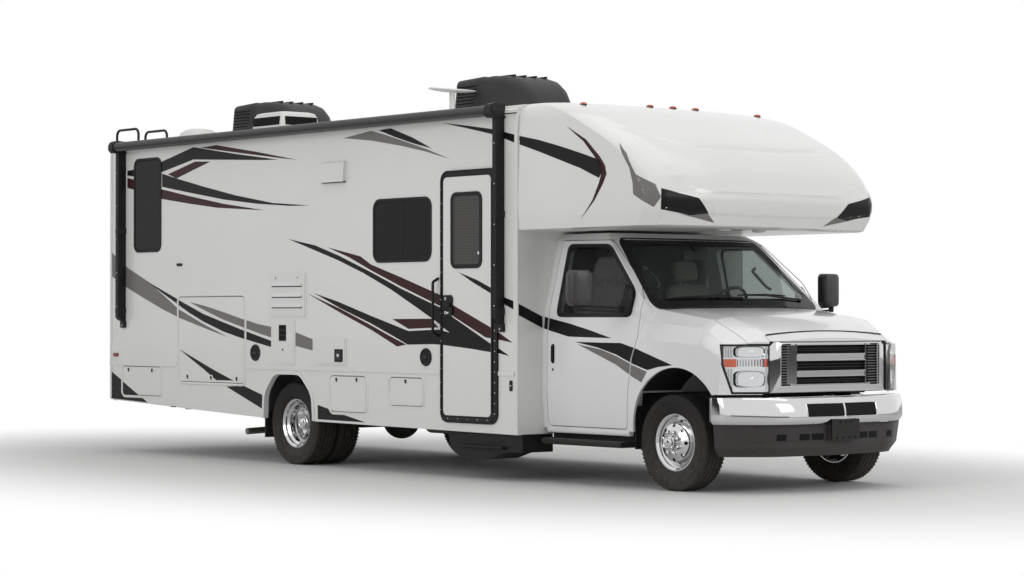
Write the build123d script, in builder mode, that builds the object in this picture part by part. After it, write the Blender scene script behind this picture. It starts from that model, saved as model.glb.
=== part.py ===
from build123d import *

import math
import os

os.makedirs("parts", exist_ok=True)

# Motorhome on a cutaway van chassis with twin rear wheels and a bunk over the cab.
# Millimetres. +X is forward, +Y is the driver's side (left), +Z is up.
# The origin is on the ground under the middle of the whole vehicle.

# ---- driving dimensions ------------------------------------------------------------------------
wheelbase = 4740
front_axle_x = 3550
rear_axle_x = front_axle_x - wheelbase
tyre_radius = 372
tyre_width = 223
bead_radius = 203
rim_width = 168
flange_radius = 220
front_wheel_y = 881
dual_centre_y = 985
dual_spacing = 254
kingpin_y = 781
kingpin_radius = 18

house_half = 1270
house_rear_x = -4320
house_front_x = 2030
wall = 40
floor_under = 870
floor_thickness = 50
roof_under = 3000
roof_top = 3060
skirt_front_z = 382
skirt_arch_z = 408
skirt_rear_z = 513

rail_y = (372, 432)
rail_z = (570, 740)
rail_rear_x = -4300
rail_front_x = 4080
rail_web = 8

cap_under = 2040
cap_wall = 35
cell_wall = 55
door_depth = 90
door_frame_depth = 62
nose_skin = 22

panel_gap = 6
seat_gap = 0.3
lid_thickness = 30
lid_proud = 5
frame_lip = 12

floor_top = floor_under + floor_thickness
wheel_z = tyre_radius
rear_outer_y = dual_centre_y + dual_spacing / 2
rear_inner_y = dual_centre_y - dual_spacing / 2
wall_inside = house_half - wall


# ---- helpers: outlines and slabs ---------------------------------------------------------------
def outline(plane, rows):
    # rows: across, up, corner radius
    with BuildSketch(plane) as shape:
        with BuildLine():
            points = [(across, up) for across, up, corner in rows]
            corners = [corner for across, up, corner in rows]
            FilletPolyline(*points, radius=corners, close=True)
        make_face()
    return shape.sketch


def panel(plane, across, up, corner):
    # a rectangle with rounded corners between two limits each way
    with BuildSketch(plane) as shape:
        with Locations((sum(across) / 2, sum(up) / 2)):
            if corner > 0:
                RectangleRounded(across[1] - across[0], up[1] - up[0], corner)
            else:
                Rectangle(across[1] - across[0], up[1] - up[0])
    return shape.sketch


def side_plane(y):
    return Plane.XZ.offset(-y)


def along_y(rows, y, mode=Mode.ADD):
    low, high = min(y), max(y)
    extrude(outline(side_plane(high), rows), amount=high - low, mode=mode)


def panel_y(x, z, corner, y, mode=Mode.ADD):
    low, high = min(y), max(y)
    extrude(panel(side_plane(high), x, z, corner), amount=high - low, mode=mode)


def along_x(rows, x, mode=Mode.ADD):
    low, high = min(x), max(x)
    extrude(outline(Plane.YZ.offset(low), rows), amount=high - low, mode=mode)


def along_z(rows, z, mode=Mode.ADD):
    low, high = min(z), max(z)
    extrude(outline(Plane.XY.offset(low), rows), amount=high - low, mode=mode)


def block(x, y, z, mode=Mode.ADD):
    with Locations((sum(x) / 2, sum(y) / 2, sum(z) / 2)):
        Box(abs(x[1] - x[0]), abs(y[1] - y[0]), abs(z[1] - z[0]), mode=mode)


def rod_y(x, z, radius, y, mode=Mode.ADD):
    low, high = min(y), max(y)
    with BuildSketch(side_plane(high)) as shape:
        with Locations((x, z)):
            Circle(radius)
    extrude(shape.sketch, amount=high - low, mode=mode)


def rod_x(y, z, radius, x, mode=Mode.ADD):
    low, high = min(x), max(x)
    with BuildSketch(Plane.YZ.offset(low)) as shape:
        with Locations((y, z)):
            Circle(radius)
    extrude(shape.sketch, amount=high - low, mode=mode)


def rod_z(x, y, radius, z, mode=Mode.ADD):
    low, high = min(z), max(z)
    with BuildSketch(Plane.XY.offset(low)) as shape:
        with Locations((x, y)):
            Circle(radius)
    extrude(shape.sketch, amount=high - low, mode=mode)


def tube_path(points, radius, corner):
    # a round bar along straight runs joined by arcs
    with BuildLine() as path:
        FilletPolyline(*points, radius=corner)
    start = path.line @ 0
    heading = path.line % 0
    with BuildSketch(Plane(origin=start, z_dir=heading)) as shape:
        Circle(radius)
    sweep(shape.sketch, path=path.line)


def grow(limits, amount):
    return (limits[0] - amount, limits[1] + amount)


def both(side, near, far):
    # y limits on one side of the middle: side is -1 on the right and 1 on the left
    return (side * near, side * far)


sides = (("right", -1), ("left", 1))

# ---- chassis -----------------------------------------------------------------------------------
# place of each cross beam, which also carries the house floor
beam_places = (-4200, -3210, -1770, -660, 150, 920, 1880)
beam_width = 50
tie_places = (-3700, 3990)
tie_height = 82
hitch_tube = 64
hitch_bore = 51
hitch_z = 420
hitch_tube_x = (-4420, -4150)
hitch_bar_x = (-4260, -4180)
hitch_bar_height = 50
hitch_stop_x = -4200
hitch_pin_x = -4370
hitch_pin_radius = 8.2
bumper_rear_x = (-4395, -4335)

with BuildPart() as chassis_frame:
    for name, side in sides:
        block((rail_rear_x, rail_front_x), both(side, *rail_y), rail_z)
        channel_y = both(side, rail_y[0] - 1, rail_y[1] - rail_web)
        channel_z = grow(rail_z, -rail_web)
        block((rail_rear_x - 1, rail_front_x + 1), channel_y, channel_z, Mode.SUBTRACT)
chassis_frame.part.label = "chassis_frame"
export_step(chassis_frame.part, "parts/chassis_frame.step")

with BuildPart() as cross_beams:
    for place in beam_places:
        beam_x = grow((place, place), beam_width / 2)
        block(beam_x, (-wall_inside, wall_inside), (rail_z[1], floor_under))
    # ties between the rails' webs, standing on the lower flanges
    tie_half = rail_y[1] - rail_web
    tie_low = rail_z[0] + rail_web
    for place in tie_places:
        block(grow((place, place), beam_width / 2), (-tie_half, tie_half), (tie_low, tie_low + tie_height))
cross_beams.part.label = "cross_beams"
export_step(cross_beams.part, "parts/cross_beams.step")

with BuildPart() as hitch_receiver:
    tube_half = hitch_tube / 2
    bore_half = hitch_bore / 2
    bar_z = grow((hitch_z, hitch_z), hitch_bar_height / 2)
    block(hitch_bar_x, (-rail_y[1], rail_y[1]), bar_z)
    for name, side in sides:
        block(hitch_bar_x, both(side, *rail_y), (bar_z[0], rail_z[0]))
    block(hitch_tube_x, (-tube_half, tube_half), (hitch_z - tube_half, hitch_z + tube_half))
    block((hitch_tube_x[0] - 1, hitch_stop_x), (-bore_half, bore_half),
          (hitch_z - bore_half, hitch_z + bore_half), Mode.SUBTRACT)
    rod_y(hitch_pin_x, hitch_z, hitch_pin_radius, (-tube_half - 1, tube_half + 1), Mode.SUBTRACT)
hitch_receiver.part.label = "hitch_receiver"
export_step(hitch_receiver.part, "parts/hitch_receiver.step")

# ---- axles and steering knuckles ---------------------------------------------------------------
axle_tube_radius = 60
spindle_radius = 30
rear_spindle_radius = 42
spring_y = (500, 576)
spring_reach = 720
eye_height = 104
eye_radius = 45

with BuildPart() as rear_axle:
    rod_y(rear_axle_x, wheel_z, axle_tube_radius, (-700, 700))
    with Locations((rear_axle_x, 0, wheel_z)):
        Sphere(175)
    for name, side in sides:
        rod_y(rear_axle_x, wheel_z, rear_spindle_radius, both(side, 700, 1090))
        spring_rows = (
            (rear_axle_x - spring_reach, 575, 0), (rear_axle_x, wheel_z + axle_tube_radius, 900),
            (rear_axle_x + spring_reach, 575, 0), (rear_axle_x + spring_reach, 615, 0),
            (rear_axle_x, wheel_z + axle_tube_radius + 48, 900), (rear_axle_x - spring_reach, 615, 0),
        )
        along_y(spring_rows, both(side, *spring_y))
        block((rear_axle_x - 70, rear_axle_x + 70), both(side, *spring_y), (wheel_z + 40, wheel_z + 86))
        for end in (-1, 1):
            hanger_x = rear_axle_x + end * (spring_reach - 35)
            block((hanger_x - 35, hanger_x + 35), both(side, rail_y[1], spring_y[1]), (575, 680))
rear_axle.part.label = "rear_axle"
export_step(rear_axle.part, "parts/rear_axle.step")

with BuildPart() as front_axle:
    beam_rows = (
        (-kingpin_y, wheel_z - 40, 0), (-kingpin_y, wheel_z + 40, 0), (-620, wheel_z + 20, 60),
        (-480, wheel_z - 10, 60), (480, wheel_z - 10, 60), (620, wheel_z + 20, 60),
        (kingpin_y, wheel_z + 40, 0), (kingpin_y, wheel_z - 40, 0), (480, wheel_z - 90, 200),
        (-480, wheel_z - 90, 200),
    )
    along_x(beam_rows, (front_axle_x - 35, front_axle_x + 35))
    for name, side in sides:
        eye_z = (wheel_z - eye_height / 2, wheel_z + eye_height / 2)
        rod_z(front_axle_x, side * kingpin_y, eye_radius, eye_z)
        rod_z(front_axle_x, side * kingpin_y, kingpin_radius + seat_gap, grow(eye_z, 5), Mode.SUBTRACT)
        rod_z(front_axle_x, side * sum(rail_y) / 2, 58, (wheel_z - 30, rail_z[0]))
front_axle.part.label = "front_axle"
export_step(front_axle.part, "parts/front_axle.step")

knuckle_z = (wheel_z - eye_height / 2 - 34, wheel_z + eye_height / 2 + 34)
knuckle_y = (kingpin_y - 34, kingpin_y + 66)
for name, side in sides:
    with BuildPart() as knuckle:
        block((front_axle_x - 34, front_axle_x + 34), both(side, *knuckle_y), knuckle_z)
        slot_z = grow(knuckle_z, -34 + 1)
        block((front_axle_x - 40, front_axle_x + 40), both(side, knuckle_y[0] - 1, kingpin_y + 46), slot_z,
              Mode.SUBTRACT)
        rod_z(front_axle_x, side * kingpin_y, kingpin_radius, grow(knuckle_z, -5))
        rod_y(front_axle_x, wheel_z, spindle_radius, both(side, knuckle_y[1] - 5, kingpin_y + 215))
    knuckle.part.label = f"steering_knuckle_{name}"
    export_step(knuckle.part, f"parts/steering_knuckle_{name}.step")

# ---- wheels and tyres --------------------------------------------------------------------------
hub_gap = 0.3
# rim barrel: radius, offset from the rim's middle plane towards the outside
half_rim = rim_width / 2
barrel = (
    (212, -half_rim), (flange_radius, -half_rim), (flange_radius, -76), (bead_radius, -70),
    (bead_radius, -42), (182, -22), (182, 30), (bead_radius, 46), (bead_radius, 70),
    (flange_radius, 76), (flange_radius, half_rim), (212, half_rim), (195, 70), (195, 50), (174, 34),
    (174, -26), (195, -46), (195, -70),
)
# disc of the front wheel, crowned outwards to the hub
front_disc = (
    (spindle_radius + hub_gap, 96), (84, 96), (130, 76), (160, 20), (176, 20), (176, 34),
    (146, 88), (92, 110), (spindle_radius + hub_gap, 110),
)
tread_half = 86
shoulder = tyre_width / 2


def turned(plane_y, side, x, rows, mode=Mode.ADD):
    # rows: radius, offset outwards from plane_y; turned about the wheel's axis
    with BuildSketch(Plane.YZ.offset(x)) as shape:
        with BuildLine():
            Polyline(*[(side * (plane_y + off), wheel_z + radius) for radius, off in rows], close=True)
        make_face()
    revolve(shape.sketch, axis=Axis((x, 0, wheel_z), (0, 1, 0)), mode=mode)


def hand_holes(plane_y, side, x, circle_radius, hole_radius, count):
    with BuildSketch(side_plane(max(side * (plane_y - 30), side * (plane_y + 60)))) as shape:
        with Locations((x, wheel_z)):
            with PolarLocations(circle_radius, count):
                Circle(hole_radius)
    extrude(shape.sketch, amount=90, mode=Mode.SUBTRACT)


def tyre_rows():
    outer = (
        (tyre_radius, -tread_half), (tyre_radius, tread_half), (tyre_radius - 12, tread_half + 18),
        (296, shoulder), (236, 100), (flange_radius, half_rim), (flange_radius, 76),
        (bead_radius, 70), (bead_radius, 46), (235, 66), (296, 96), (tyre_radius - 26, tread_half - 4),
    )
    inner = tuple((radius, -off) for radius, off in reversed(outer[1:]))
    return outer[1:] + inner[:-1] + (outer[0],)


for name, side in sides:
    with BuildPart() as front_wheel:
        turned(front_wheel_y, side, front_axle_x, barrel)
        turned(front_wheel_y, side, front_axle_x, front_disc)
        hand_holes(front_wheel_y + 60, side, front_axle_x, 132, 15, 8)
        rod_y(front_axle_x, wheel_z, 62, both(side, front_wheel_y + 115.5, front_wheel_y + 150))
        rod_y(front_axle_x, wheel_z, 70, both(side, front_wheel_y + 105, front_wheel_y + 118))
        rod_y(front_axle_x, wheel_z, spindle_radius + hub_gap,
              both(side, front_wheel_y + 90, front_wheel_y + 116), Mode.SUBTRACT)
    front_wheel.part.label = f"front_wheel_{name}"
    export_step(front_wheel.part, f"parts/front_wheel_{name}.step")

    with BuildPart() as front_tyre:
        turned(front_wheel_y, side, front_axle_x, tyre_rows())
    front_tyre.part.label = f"front_tyre_{name}"
    export_step(front_tyre.part, f"parts/front_tyre_{name}.step")

    with BuildPart() as rear_wheels:
        # two wheels clamped back to back at the hub, with the hub's cap on the outer one
        turned(rear_outer_y, side, rear_axle_x, barrel)
        turned(rear_inner_y, side, rear_axle_x, barrel)
        bore = rear_spindle_radius + hub_gap
        for way in (-1, 1):
            rows = tuple(
                (radius, way * off) for radius, off in (
                    (bore, seat_gap / 2), (bore, 9), (112, 9), (146, 52), (162, 98), (178, 98), (176, 88),
                    (166, 84), (156, 42), (122, seat_gap / 2),
                )
            )
            turned(dual_centre_y, side, rear_axle_x, rows)
        hand_holes(dual_centre_y - 10, side, rear_axle_x, 136, 17, 6)
        rod_y(rear_axle_x, wheel_z, 66, both(side, dual_centre_y + 5, dual_centre_y + 130))
        rod_y(rear_axle_x, wheel_z, bore, both(side, dual_centre_y - 20, dual_centre_y + 110), Mode.SUBTRACT)
    rear_wheels.part.label = f"rear_wheels_{name}"
    export_step(rear_wheels.part, f"parts/rear_wheels_{name}.step")

    with BuildPart() as rear_tyres:
        turned(rear_outer_y, side, rear_axle_x, tyre_rows())
        turned(rear_inner_y, side, rear_axle_x, tyre_rows())
    rear_tyres.part.label = f"rear_tyres_{name}"
    export_step(rear_tyres.part, f"parts/rear_tyres_{name}.step")

# ---- engine, driveline, exhaust, tanks ---------------------------------------------------------
with BuildPart() as drivetrain:
    block((3300, 3960), (-250, 250), (590, 1120))
    block((2500, 3300), (-140, 140), (540, 735))
    # radiator on the rails' ends
    block((4022, 4076), (-600, 600), (rail_z[1], 1085))
    tube_path(((2510, 0, 640), (400, 0, 560), (rear_axle_x + 220, 0, wheel_z)), 38, 60)
drivetrain.part.label = "drivetrain"
export_step(drivetrain.part, "parts/drivetrain.step")

with BuildPart() as exhaust:
    rod_x(-640, 410, 95, (100, 760))
    tube_path(((740, -640, 410), (2300, -640, 470), (2600, -460, 560)), 30, 90)
    tube_path(((120, -640, 410), (-700, -640, 640), (-1700, -640, 640), (-2040, -640, 290),
               (-2060, -1150, 268)), 30, 80)
exhaust.part.label = "exhaust"
export_step(exhaust.part, "parts/exhaust.step")

tank_places = (
    # x limits, y limits, z limits
    ((-3150, -1850), (-340, 340), (480, 730)),
    ((-250, 900), (460, 1160), (470, 700)),
    ((1000, 1850), (460, 1160), (470, 700)),
)
with BuildPart() as tanks:
    for tank_x, tank_y, tank_z in tank_places:
        block(tank_x, tank_y, tank_z)
    for strap_x in (-2950, -2050):
        block((strap_x, strap_x + 40), (-rail_y[0], rail_y[0]), (600, 640))
    for strap_x in (-100, 700, 1150, 1700):
        block((strap_x, strap_x + 40), (rail_y[1], 520), (640, 690))
tanks.part.label = "tanks"
export_step(tanks.part, "parts/tanks.step")

# ---- openings of the house ---------------------------------------------------------------------
# windows: x limits, z limits, corner radius
right_windows = (
    ((-3873, -3370), (1965, 2888), 80),
    ((76, 900), (1802, 2353), 90),
)
left_windows = (
    ((-3873, -3370), (1965, 2888), 80),
    ((-900, 400), (1750, 2353), 90),
)
window_flange = 18
window_proud = 8
pane_depth = 30

# compartment lids of the right side: name, x limits, z limits, corner radius, hinged edge, tub depth
compartments = (
    ("cargo_lid", (-3066, -1902), (703, 1540), 60, "top", 640),
    ("rear_hatch", (-4092, -3352), (551, 862), 50, "bottom", 560),
    ("mid_hatch", (-574, -5), (486, 831), 60, "bottom", 560),
    ("front_hatch", (297, 802), (564, 832), 60, "bottom", 560),
)

door_x = (1073, 1700)
door_z = (517, 2500)
door_frame_x = (1032, 1785)
door_frame_z = (457, 2555)
door_thickness = 40
door_proud = 14
frame_proud = 12
door_window_x = (1176, 1591)
door_window_z = (1737, 2371)
step_well_x = (1068, 1732)

arch_rows = (
    (-1597, 300, 0), (-1580, 640, 200), (-1425, 814, 150), (-1025, 814, 150), (-842, 640, 200),
    (-815, 300, 0),
)
arch_lip = 30
arch_lip_proud = 12
belt_z = (858, 893)
belt_proud = 12

# ---- house floor, cut out for the large compartment and the entry step -------------------------
sheet = 8
step_y = (650, 940)
step_rise_z = (498, 715)

cargo_x = compartments[0][1]
cargo_depth = compartments[0][5]
housing_inside_y = 690
housing_reach = 450
housing_end_low = 470
housing_side_low = 640

with BuildPart() as house_floor:
    block((house_rear_x + wall, house_front_x - wall), (-wall_inside, wall_inside), (floor_under, floor_top))
    # the large compartment rises through the floor
    block(cargo_x, (-wall_inside - 1, -wall_inside + cargo_depth), grow((floor_under, floor_top), 1),
          Mode.SUBTRACT)
    # the step well behind the entry door
    block(grow(step_well_x, sheet), (-wall_inside - 1, -step_y[0] + sheet), grow((floor_under, floor_top), 1),
          Mode.SUBTRACT)
house_floor.part.label = "house_floor"
export_step(house_floor.part, "parts/house_floor.step")

# ---- house walls -------------------------------------------------------------------------------
wall_rows = (
    (house_front_x, skirt_front_z, 0), (-800, skirt_arch_z - 4, 0), (-1600, skirt_arch_z + 2, 0),
    (house_rear_x, skirt_rear_z, 0), (house_rear_x, roof_under, 0), (house_front_x, roof_under, 0),
)
# runs of the belt rail on the right wall, between the lid and the door
right_belt = ((house_rear_x, cargo_x[0] - 14), (cargo_x[1] + 14, door_frame_x[0] - 6),
              (door_frame_x[1] + 6, 1993))
left_belt = ((house_rear_x, 1993),)

for name, side in sides:
    wall_y = both(side, wall_inside, house_half)
    windows = right_windows if side < 0 else left_windows
    belt = right_belt if side < 0 else left_belt
    with BuildPart() as house_wall:
        along_y(wall_rows, wall_y)
        for run in belt:
            block(run, both(side, house_half, house_half + belt_proud), belt_z)
        with BuildSketch(side_plane(max(both(side, house_half, house_half + arch_lip_proud)))) as lip:
            add(offset(outline(Plane.XY, arch_rows), amount=arch_lip, kind=Kind.INTERSECTION))
            with Locations((rear_axle_x, 0)):
                Rectangle(2000, 2 * skirt_arch_z, mode=Mode.SUBTRACT)
        extrude(lip.sketch, amount=arch_lip_proud)
        along_y(arch_rows, both(side, wall_inside - 1, house_half + arch_lip_proud + 1), Mode.SUBTRACT)
        through = both(side, wall_inside - 1, house_half + 1)
        for window_x, window_z, corner in windows:
            panel_y(grow(window_x, -window_flange), grow(window_z, -window_flange), corner - window_flange,
                    through, Mode.SUBTRACT)
        if side < 0:
            for lid_name, lid_x, lid_z, corner, edge, depth in compartments:
                panel_y(grow(lid_x, -frame_lip), grow(lid_z, -frame_lip), corner - frame_lip, through,
                        Mode.SUBTRACT)
            panel_y(grow(door_frame_x, -10), grow(door_frame_z, -10), 60, through, Mode.SUBTRACT)
    house_wall.part.label = f"{name}_wall"
    export_step(house_wall.part, f"parts/{name}_wall.step")

with BuildPart() as rear_wall:
    block((house_rear_x, house_rear_x + wall), (-wall_inside, wall_inside), (skirt_rear_z, roof_under))
    block((house_rear_x, house_rear_x + wall), (-rail_y[1] - 10, rail_y[1] + 10),
          (skirt_rear_z - 1, rail_z[1] + 10), Mode.SUBTRACT)
rear_wall.part.label = "rear_wall"
export_step(rear_wall.part, "parts/rear_wall.step")

cab_half = 1008
passage_half = 840
passage_top = 1940
with BuildPart() as front_wall:
    wall_x = (house_front_x - wall, house_front_x)
    block(wall_x, (-wall_inside, wall_inside), (skirt_front_z + 4, cap_under))
    block(grow(wall_x, 1), (-passage_half, passage_half), (floor_top, passage_top), Mode.SUBTRACT)
    block(grow(wall_x, 1), (-690, 690), (skirt_front_z, floor_under), Mode.SUBTRACT)
front_wall.part.label = "front_wall"
export_step(front_wall.part, "parts/front_wall.step")

roof_rows = (
    (-house_half, roof_under, 0), (house_half, roof_under, 0), (house_half, roof_under + 16, 12),
    (house_half - 80, roof_top, 60), (-house_half + 80, roof_top, 60), (-house_half, roof_under + 16, 12),
)
with BuildPart() as roof:
    along_x(roof_rows, (house_rear_x, house_front_x))
roof.part.label = "roof"
export_step(roof.part, "parts/roof.step")

# ---- cab-over cap, a moulded shell round the bunk ----------------------------------------------
# levels: z, half width, x of the corner arcs' start, x at the nose's sides, x at the nose's middle
cap_levels = (
    (cap_under, 1262, 3440, 3555, 3640),
    (2150, 1268, 3510, 3625, 3705),
    (2250, 1270, 3525, 3648, 3730),
    (2330, 1270, 3500, 3625, 3705),
    (2500, 1266, 3380, 3520, 3610),
    (2680, 1262, 3150, 3310, 3400),
    (2850, 1258, 2820, 2990, 3085),
    (2965, 1246, 2560, 2740, 2850),
    (3030, 1205, 2330, 2520, 2640),
    (roof_top, 1150, 2180, 2360, 2470),
)


def cap_level(height, half, corner_x, side_x, middle_x, inset):
    rear = house_front_x + (0 if inset == 0 else -50)
    half = half - inset
    corner_x = corner_x - inset
    side_x = side_x - inset
    middle_x = middle_x - inset
    bend_x = (corner_x + side_x) / 2 + 12
    with BuildSketch(Plane.XY.offset(height)) as level:
        with BuildLine():
            Polyline((corner_x, half), (rear, half), (rear, -half), (corner_x, -half))
            ThreePointArc((corner_x, -half), (bend_x, -half + 58), (side_x, -half + 175))
            ThreePointArc((side_x, -half + 175), (middle_x, 0), (side_x, half - 175))
            ThreePointArc((side_x, half - 175), (bend_x, half - 58), (corner_x, half))
        make_face()
    return level.sketch


bunk_levels = [row for row in cap_levels if row[0] < 2960]
with BuildPart() as cab_over_cap:
    loft([cap_level(*row, 0) for row in cap_levels], ruled=True)
    inner = [(max(height, cap_under + cap_wall), *rest) for height, *rest in bunk_levels]
    loft([cap_level(*row, cap_wall) for row in inner], ruled=True, mode=Mode.SUBTRACT)
    block((house_front_x - 1, house_front_x + 420), (-wall_inside, wall_inside),
          (cap_under + cap_wall, roof_under - 2), Mode.SUBTRACT)
    block((2100, 2480), (-560, 560), (2014, cap_under))
cab_over_cap.part.label = "cab_over_cap"
export_step(cab_over_cap.part, "parts/cab_over_cap.step")

# ---- house windows: a flange on the skin and a pane through the wall ---------------------------
with BuildPart() as house_windows:
    for side, windows in ((-1, right_windows), (1, left_windows)):
        for window_x, window_z, corner in windows:
            panel_y(window_x, window_z, corner, both(side, house_half, house_half + window_proud))
            panel_y(grow(window_x, -window_flange - 1), grow(window_z, -window_flange - 1),
                    corner - window_flange - 1, both(side, house_half - pane_depth, house_half))
house_windows.part.label = "house_windows"
export_step(house_windows.part, "parts/house_windows.step")

# ---- entry door in its black frame -------------------------------------------------------------
door_out = house_half + door_proud
handle_x = 990
handle_z = (1178, 1659)
handle_stand = 60

with BuildPart() as entry_frame:
    frame_outer = both(-1, house_half, house_half + frame_proud)
    panel_y(door_frame_x, door_frame_z, 90, frame_outer)
    panel_y(grow(door_frame_x, -11), grow(door_frame_z, -11), 60, both(-1, wall_inside, house_half))
    panel_y(grow(door_x, panel_gap), grow(door_z, panel_gap), 50,
            both(-1, wall_inside - 1, house_half + frame_proud + 1), Mode.SUBTRACT)
    handle_path = [
        (handle_x, -house_half, handle_z[0]), (handle_x, -house_half - handle_stand, handle_z[0] + 30),
        (handle_x, -house_half - handle_stand, handle_z[1] - 30), (handle_x, -house_half, handle_z[1]),
    ]
    tube_path(handle_path, 12, 24)
    block((handle_x - 60, handle_x + 60), (-house_half, -house_half + 60), grow(handle_z, 60), Mode.SUBTRACT)
entry_frame.part.label = "entry_frame"
export_step(entry_frame.part, "parts/entry_frame.step")

door_y = (door_out - door_thickness, door_out)
with BuildPart() as entry_door:
    panel_y(door_x, door_z, 44, both(-1, *door_y))
    panel_y(grow(door_window_x, -window_flange), grow(door_window_z, -window_flange), 50,
            both(-1, door_y[0] - 1, door_y[1] + 1), Mode.SUBTRACT)
    panel_y((1080, 1207), (1339, 1518), 12, both(-1, door_out, door_out + 10))
entry_door.part.label = "entry_door"
export_step(entry_door.part, "parts/entry_door.step")

with BuildPart() as entry_door_glass:
    panel_y(door_window_x, door_window_z, 68, both(-1, door_out, door_out + 7))
    panel_y(grow(door_window_x, -window_flange - 1), grow(door_window_z, -window_flange - 1), 49,
            both(-1, door_out - 20, door_out))
entry_door_glass.part.label = "entry_door_glass"
export_step(entry_door_glass.part, "parts/entry_door_glass.step")

# ---- compartment lids and the tubs behind them -------------------------------------------------
lid_inset = frame_lip + panel_gap
lid_y = (house_half + lid_proud - lid_thickness, house_half + lid_proud)
tub_sheet = 6

with BuildPart() as storage_tubs:
    for lid_name, lid_x, lid_z, corner, edge, depth in compartments:
        tub_x = grow(lid_x, -2)
        tub_z = (lid_z[0], lid_z[1] if edge == "top" else floor_under)
        tub_y = both(-1, wall_inside - depth + 2, wall_inside)
        block(tub_x, tub_y, tub_z)
        inside_z = (tub_z[0] + tub_sheet, tub_z[1] - tub_sheet)
        inside_y = both(-1, wall_inside - depth + 2 + tub_sheet, wall_inside + 1)
        block(grow(tub_x, -tub_sheet), inside_y, inside_z, Mode.SUBTRACT)
    # well of the entry step: two ends, tread, riser, upper tread and upper riser
    for end_x in (step_well_x[0] - sheet, step_well_x[1]):
        block((end_x, end_x + sheet), (-wall_inside, -step_y[0] + sheet), (step_rise_z[0], floor_top))
    well_x = grow(step_well_x, 1)
    block(well_x, (-wall_inside, -step_y[1]), (step_rise_z[0], step_rise_z[0] + sheet))
    block(well_x, (-step_y[1] - sheet, -step_y[1]), step_rise_z)
    block(well_x, (-step_y[1] - sheet, -step_y[0]), (step_rise_z[1] - sheet, step_rise_z[1]))
    block(well_x, (-step_y[0], -step_y[0] + sheet), (step_rise_z[1] - sheet, floor_top))
    # housings round the twin wheels
    for name, side in sides:
        housing_y = both(side, housing_inside_y, wall_inside)
        for end_x in (rear_axle_x - housing_reach, rear_axle_x + housing_reach - sheet):
            block((end_x, end_x + sheet), housing_y, (housing_end_low, floor_under))
        block(grow((rear_axle_x, rear_axle_x), housing_reach),
              both(side, housing_inside_y, housing_inside_y + sheet), (housing_side_low, floor_under))
storage_tubs.part.label = "storage_tubs"
export_step(storage_tubs.part, "parts/storage_tubs.step")

for lid_name, lid_x, lid_z, corner, edge, depth in compartments:
    with BuildPart() as lid:
        panel_y(grow(lid_x, -lid_inset), grow(lid_z, -lid_inset), corner - lid_inset, both(-1, *lid_y))
    lid.part.label = lid_name
    export_step(lid.part, f"parts/{lid_name}.step")

# ---- vents and service doors on the side walls -------------------------------------------------
# covers: side, x limits, z limits, corner radius, how far it stands proud
covers = (
    (-1, (-1515, -925), (1330, 1742), 12, 14),
    (-1, (-1479, -1096), (905, 1317), 12, 10),
    (-1, (-807, -314), (911, 1152), 14, 14),
    (-1, (-679, -309), (2514, 2717), 16, 45),
    (1, (-2700, -2290), (930, 1340), 12, 12),
    (1, (1480, 1680), (560, 760), 14, 12),
    (1, (-3400, -3150), (560, 800), 14, 12),
)
round_covers = ((-1739, 1006), (823, 997))
round_cover_radius = 76
with BuildPart() as side_vents:
    for side, cover_x, cover_z, corner, proud in covers:
        panel_y(cover_x, cover_z, corner, both(side, house_half, house_half + proud))
    # three long louvre slots of the refrigerator vent
    vent_x, vent_z = covers[0][1:3]
    for row in range(3):
        slot_low = vent_z[0] + 60 + row * 90
        block(grow(vent_x, -60), both(-1, house_half + 4, house_half + 30), (slot_low, slot_low + 46),
              Mode.SUBTRACT)
    for place_x, place_z in round_covers:
        rod_y(place_x, place_z, round_cover_radius, both(-1, house_half, house_half + 18))
side_vents.part.label = "side_vents"
export_step(side_vents.part, "parts/side_vents.step")

# ---- awning: fabric roller in its end heads, and the folded arms -------------------------------
roller_y = 1380
roller_z = 3012
roller_radius = 45
# heads and arms: x limits of the head, x limits of the arm, lowest z of the arm
awning_ends = (
    ((1795, 1875), (1804, 1866), 1227),
    ((-4095, -4015), (-4088, -4022), 1239),
)
arm_y = (house_half, 1360)
with BuildPart() as awning:
    rod_x(-roller_y, roller_z, roller_radius, (-4016, 1796))
    for head_x, arm_x, arm_low in awning_ends:
        head_rows = (
            (-house_half - belt_proud, 2844, 0), (-arm_y[1], 2844, 10), (-1432, 2950, 20), (-1432, 3055, 30),
            (-1320, 3062, 20), (-house_half - belt_proud, 3000, 0),
        )
        along_x(head_rows, head_x)
        block(arm_x, both(-1, *arm_y), (arm_low, 2850))
        groove_x = ((arm_x[0] + arm_x[1]) / 2 - 6, (arm_x[0] + arm_x[1]) / 2 + 6)
        block(groove_x, both(-1, arm_y[1] - 30, arm_y[1] + 1), (arm_low + 120, 2800), Mode.SUBTRACT)
awning.part.label = "awning"
export_step(awning.part, "parts/awning.step")

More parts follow.
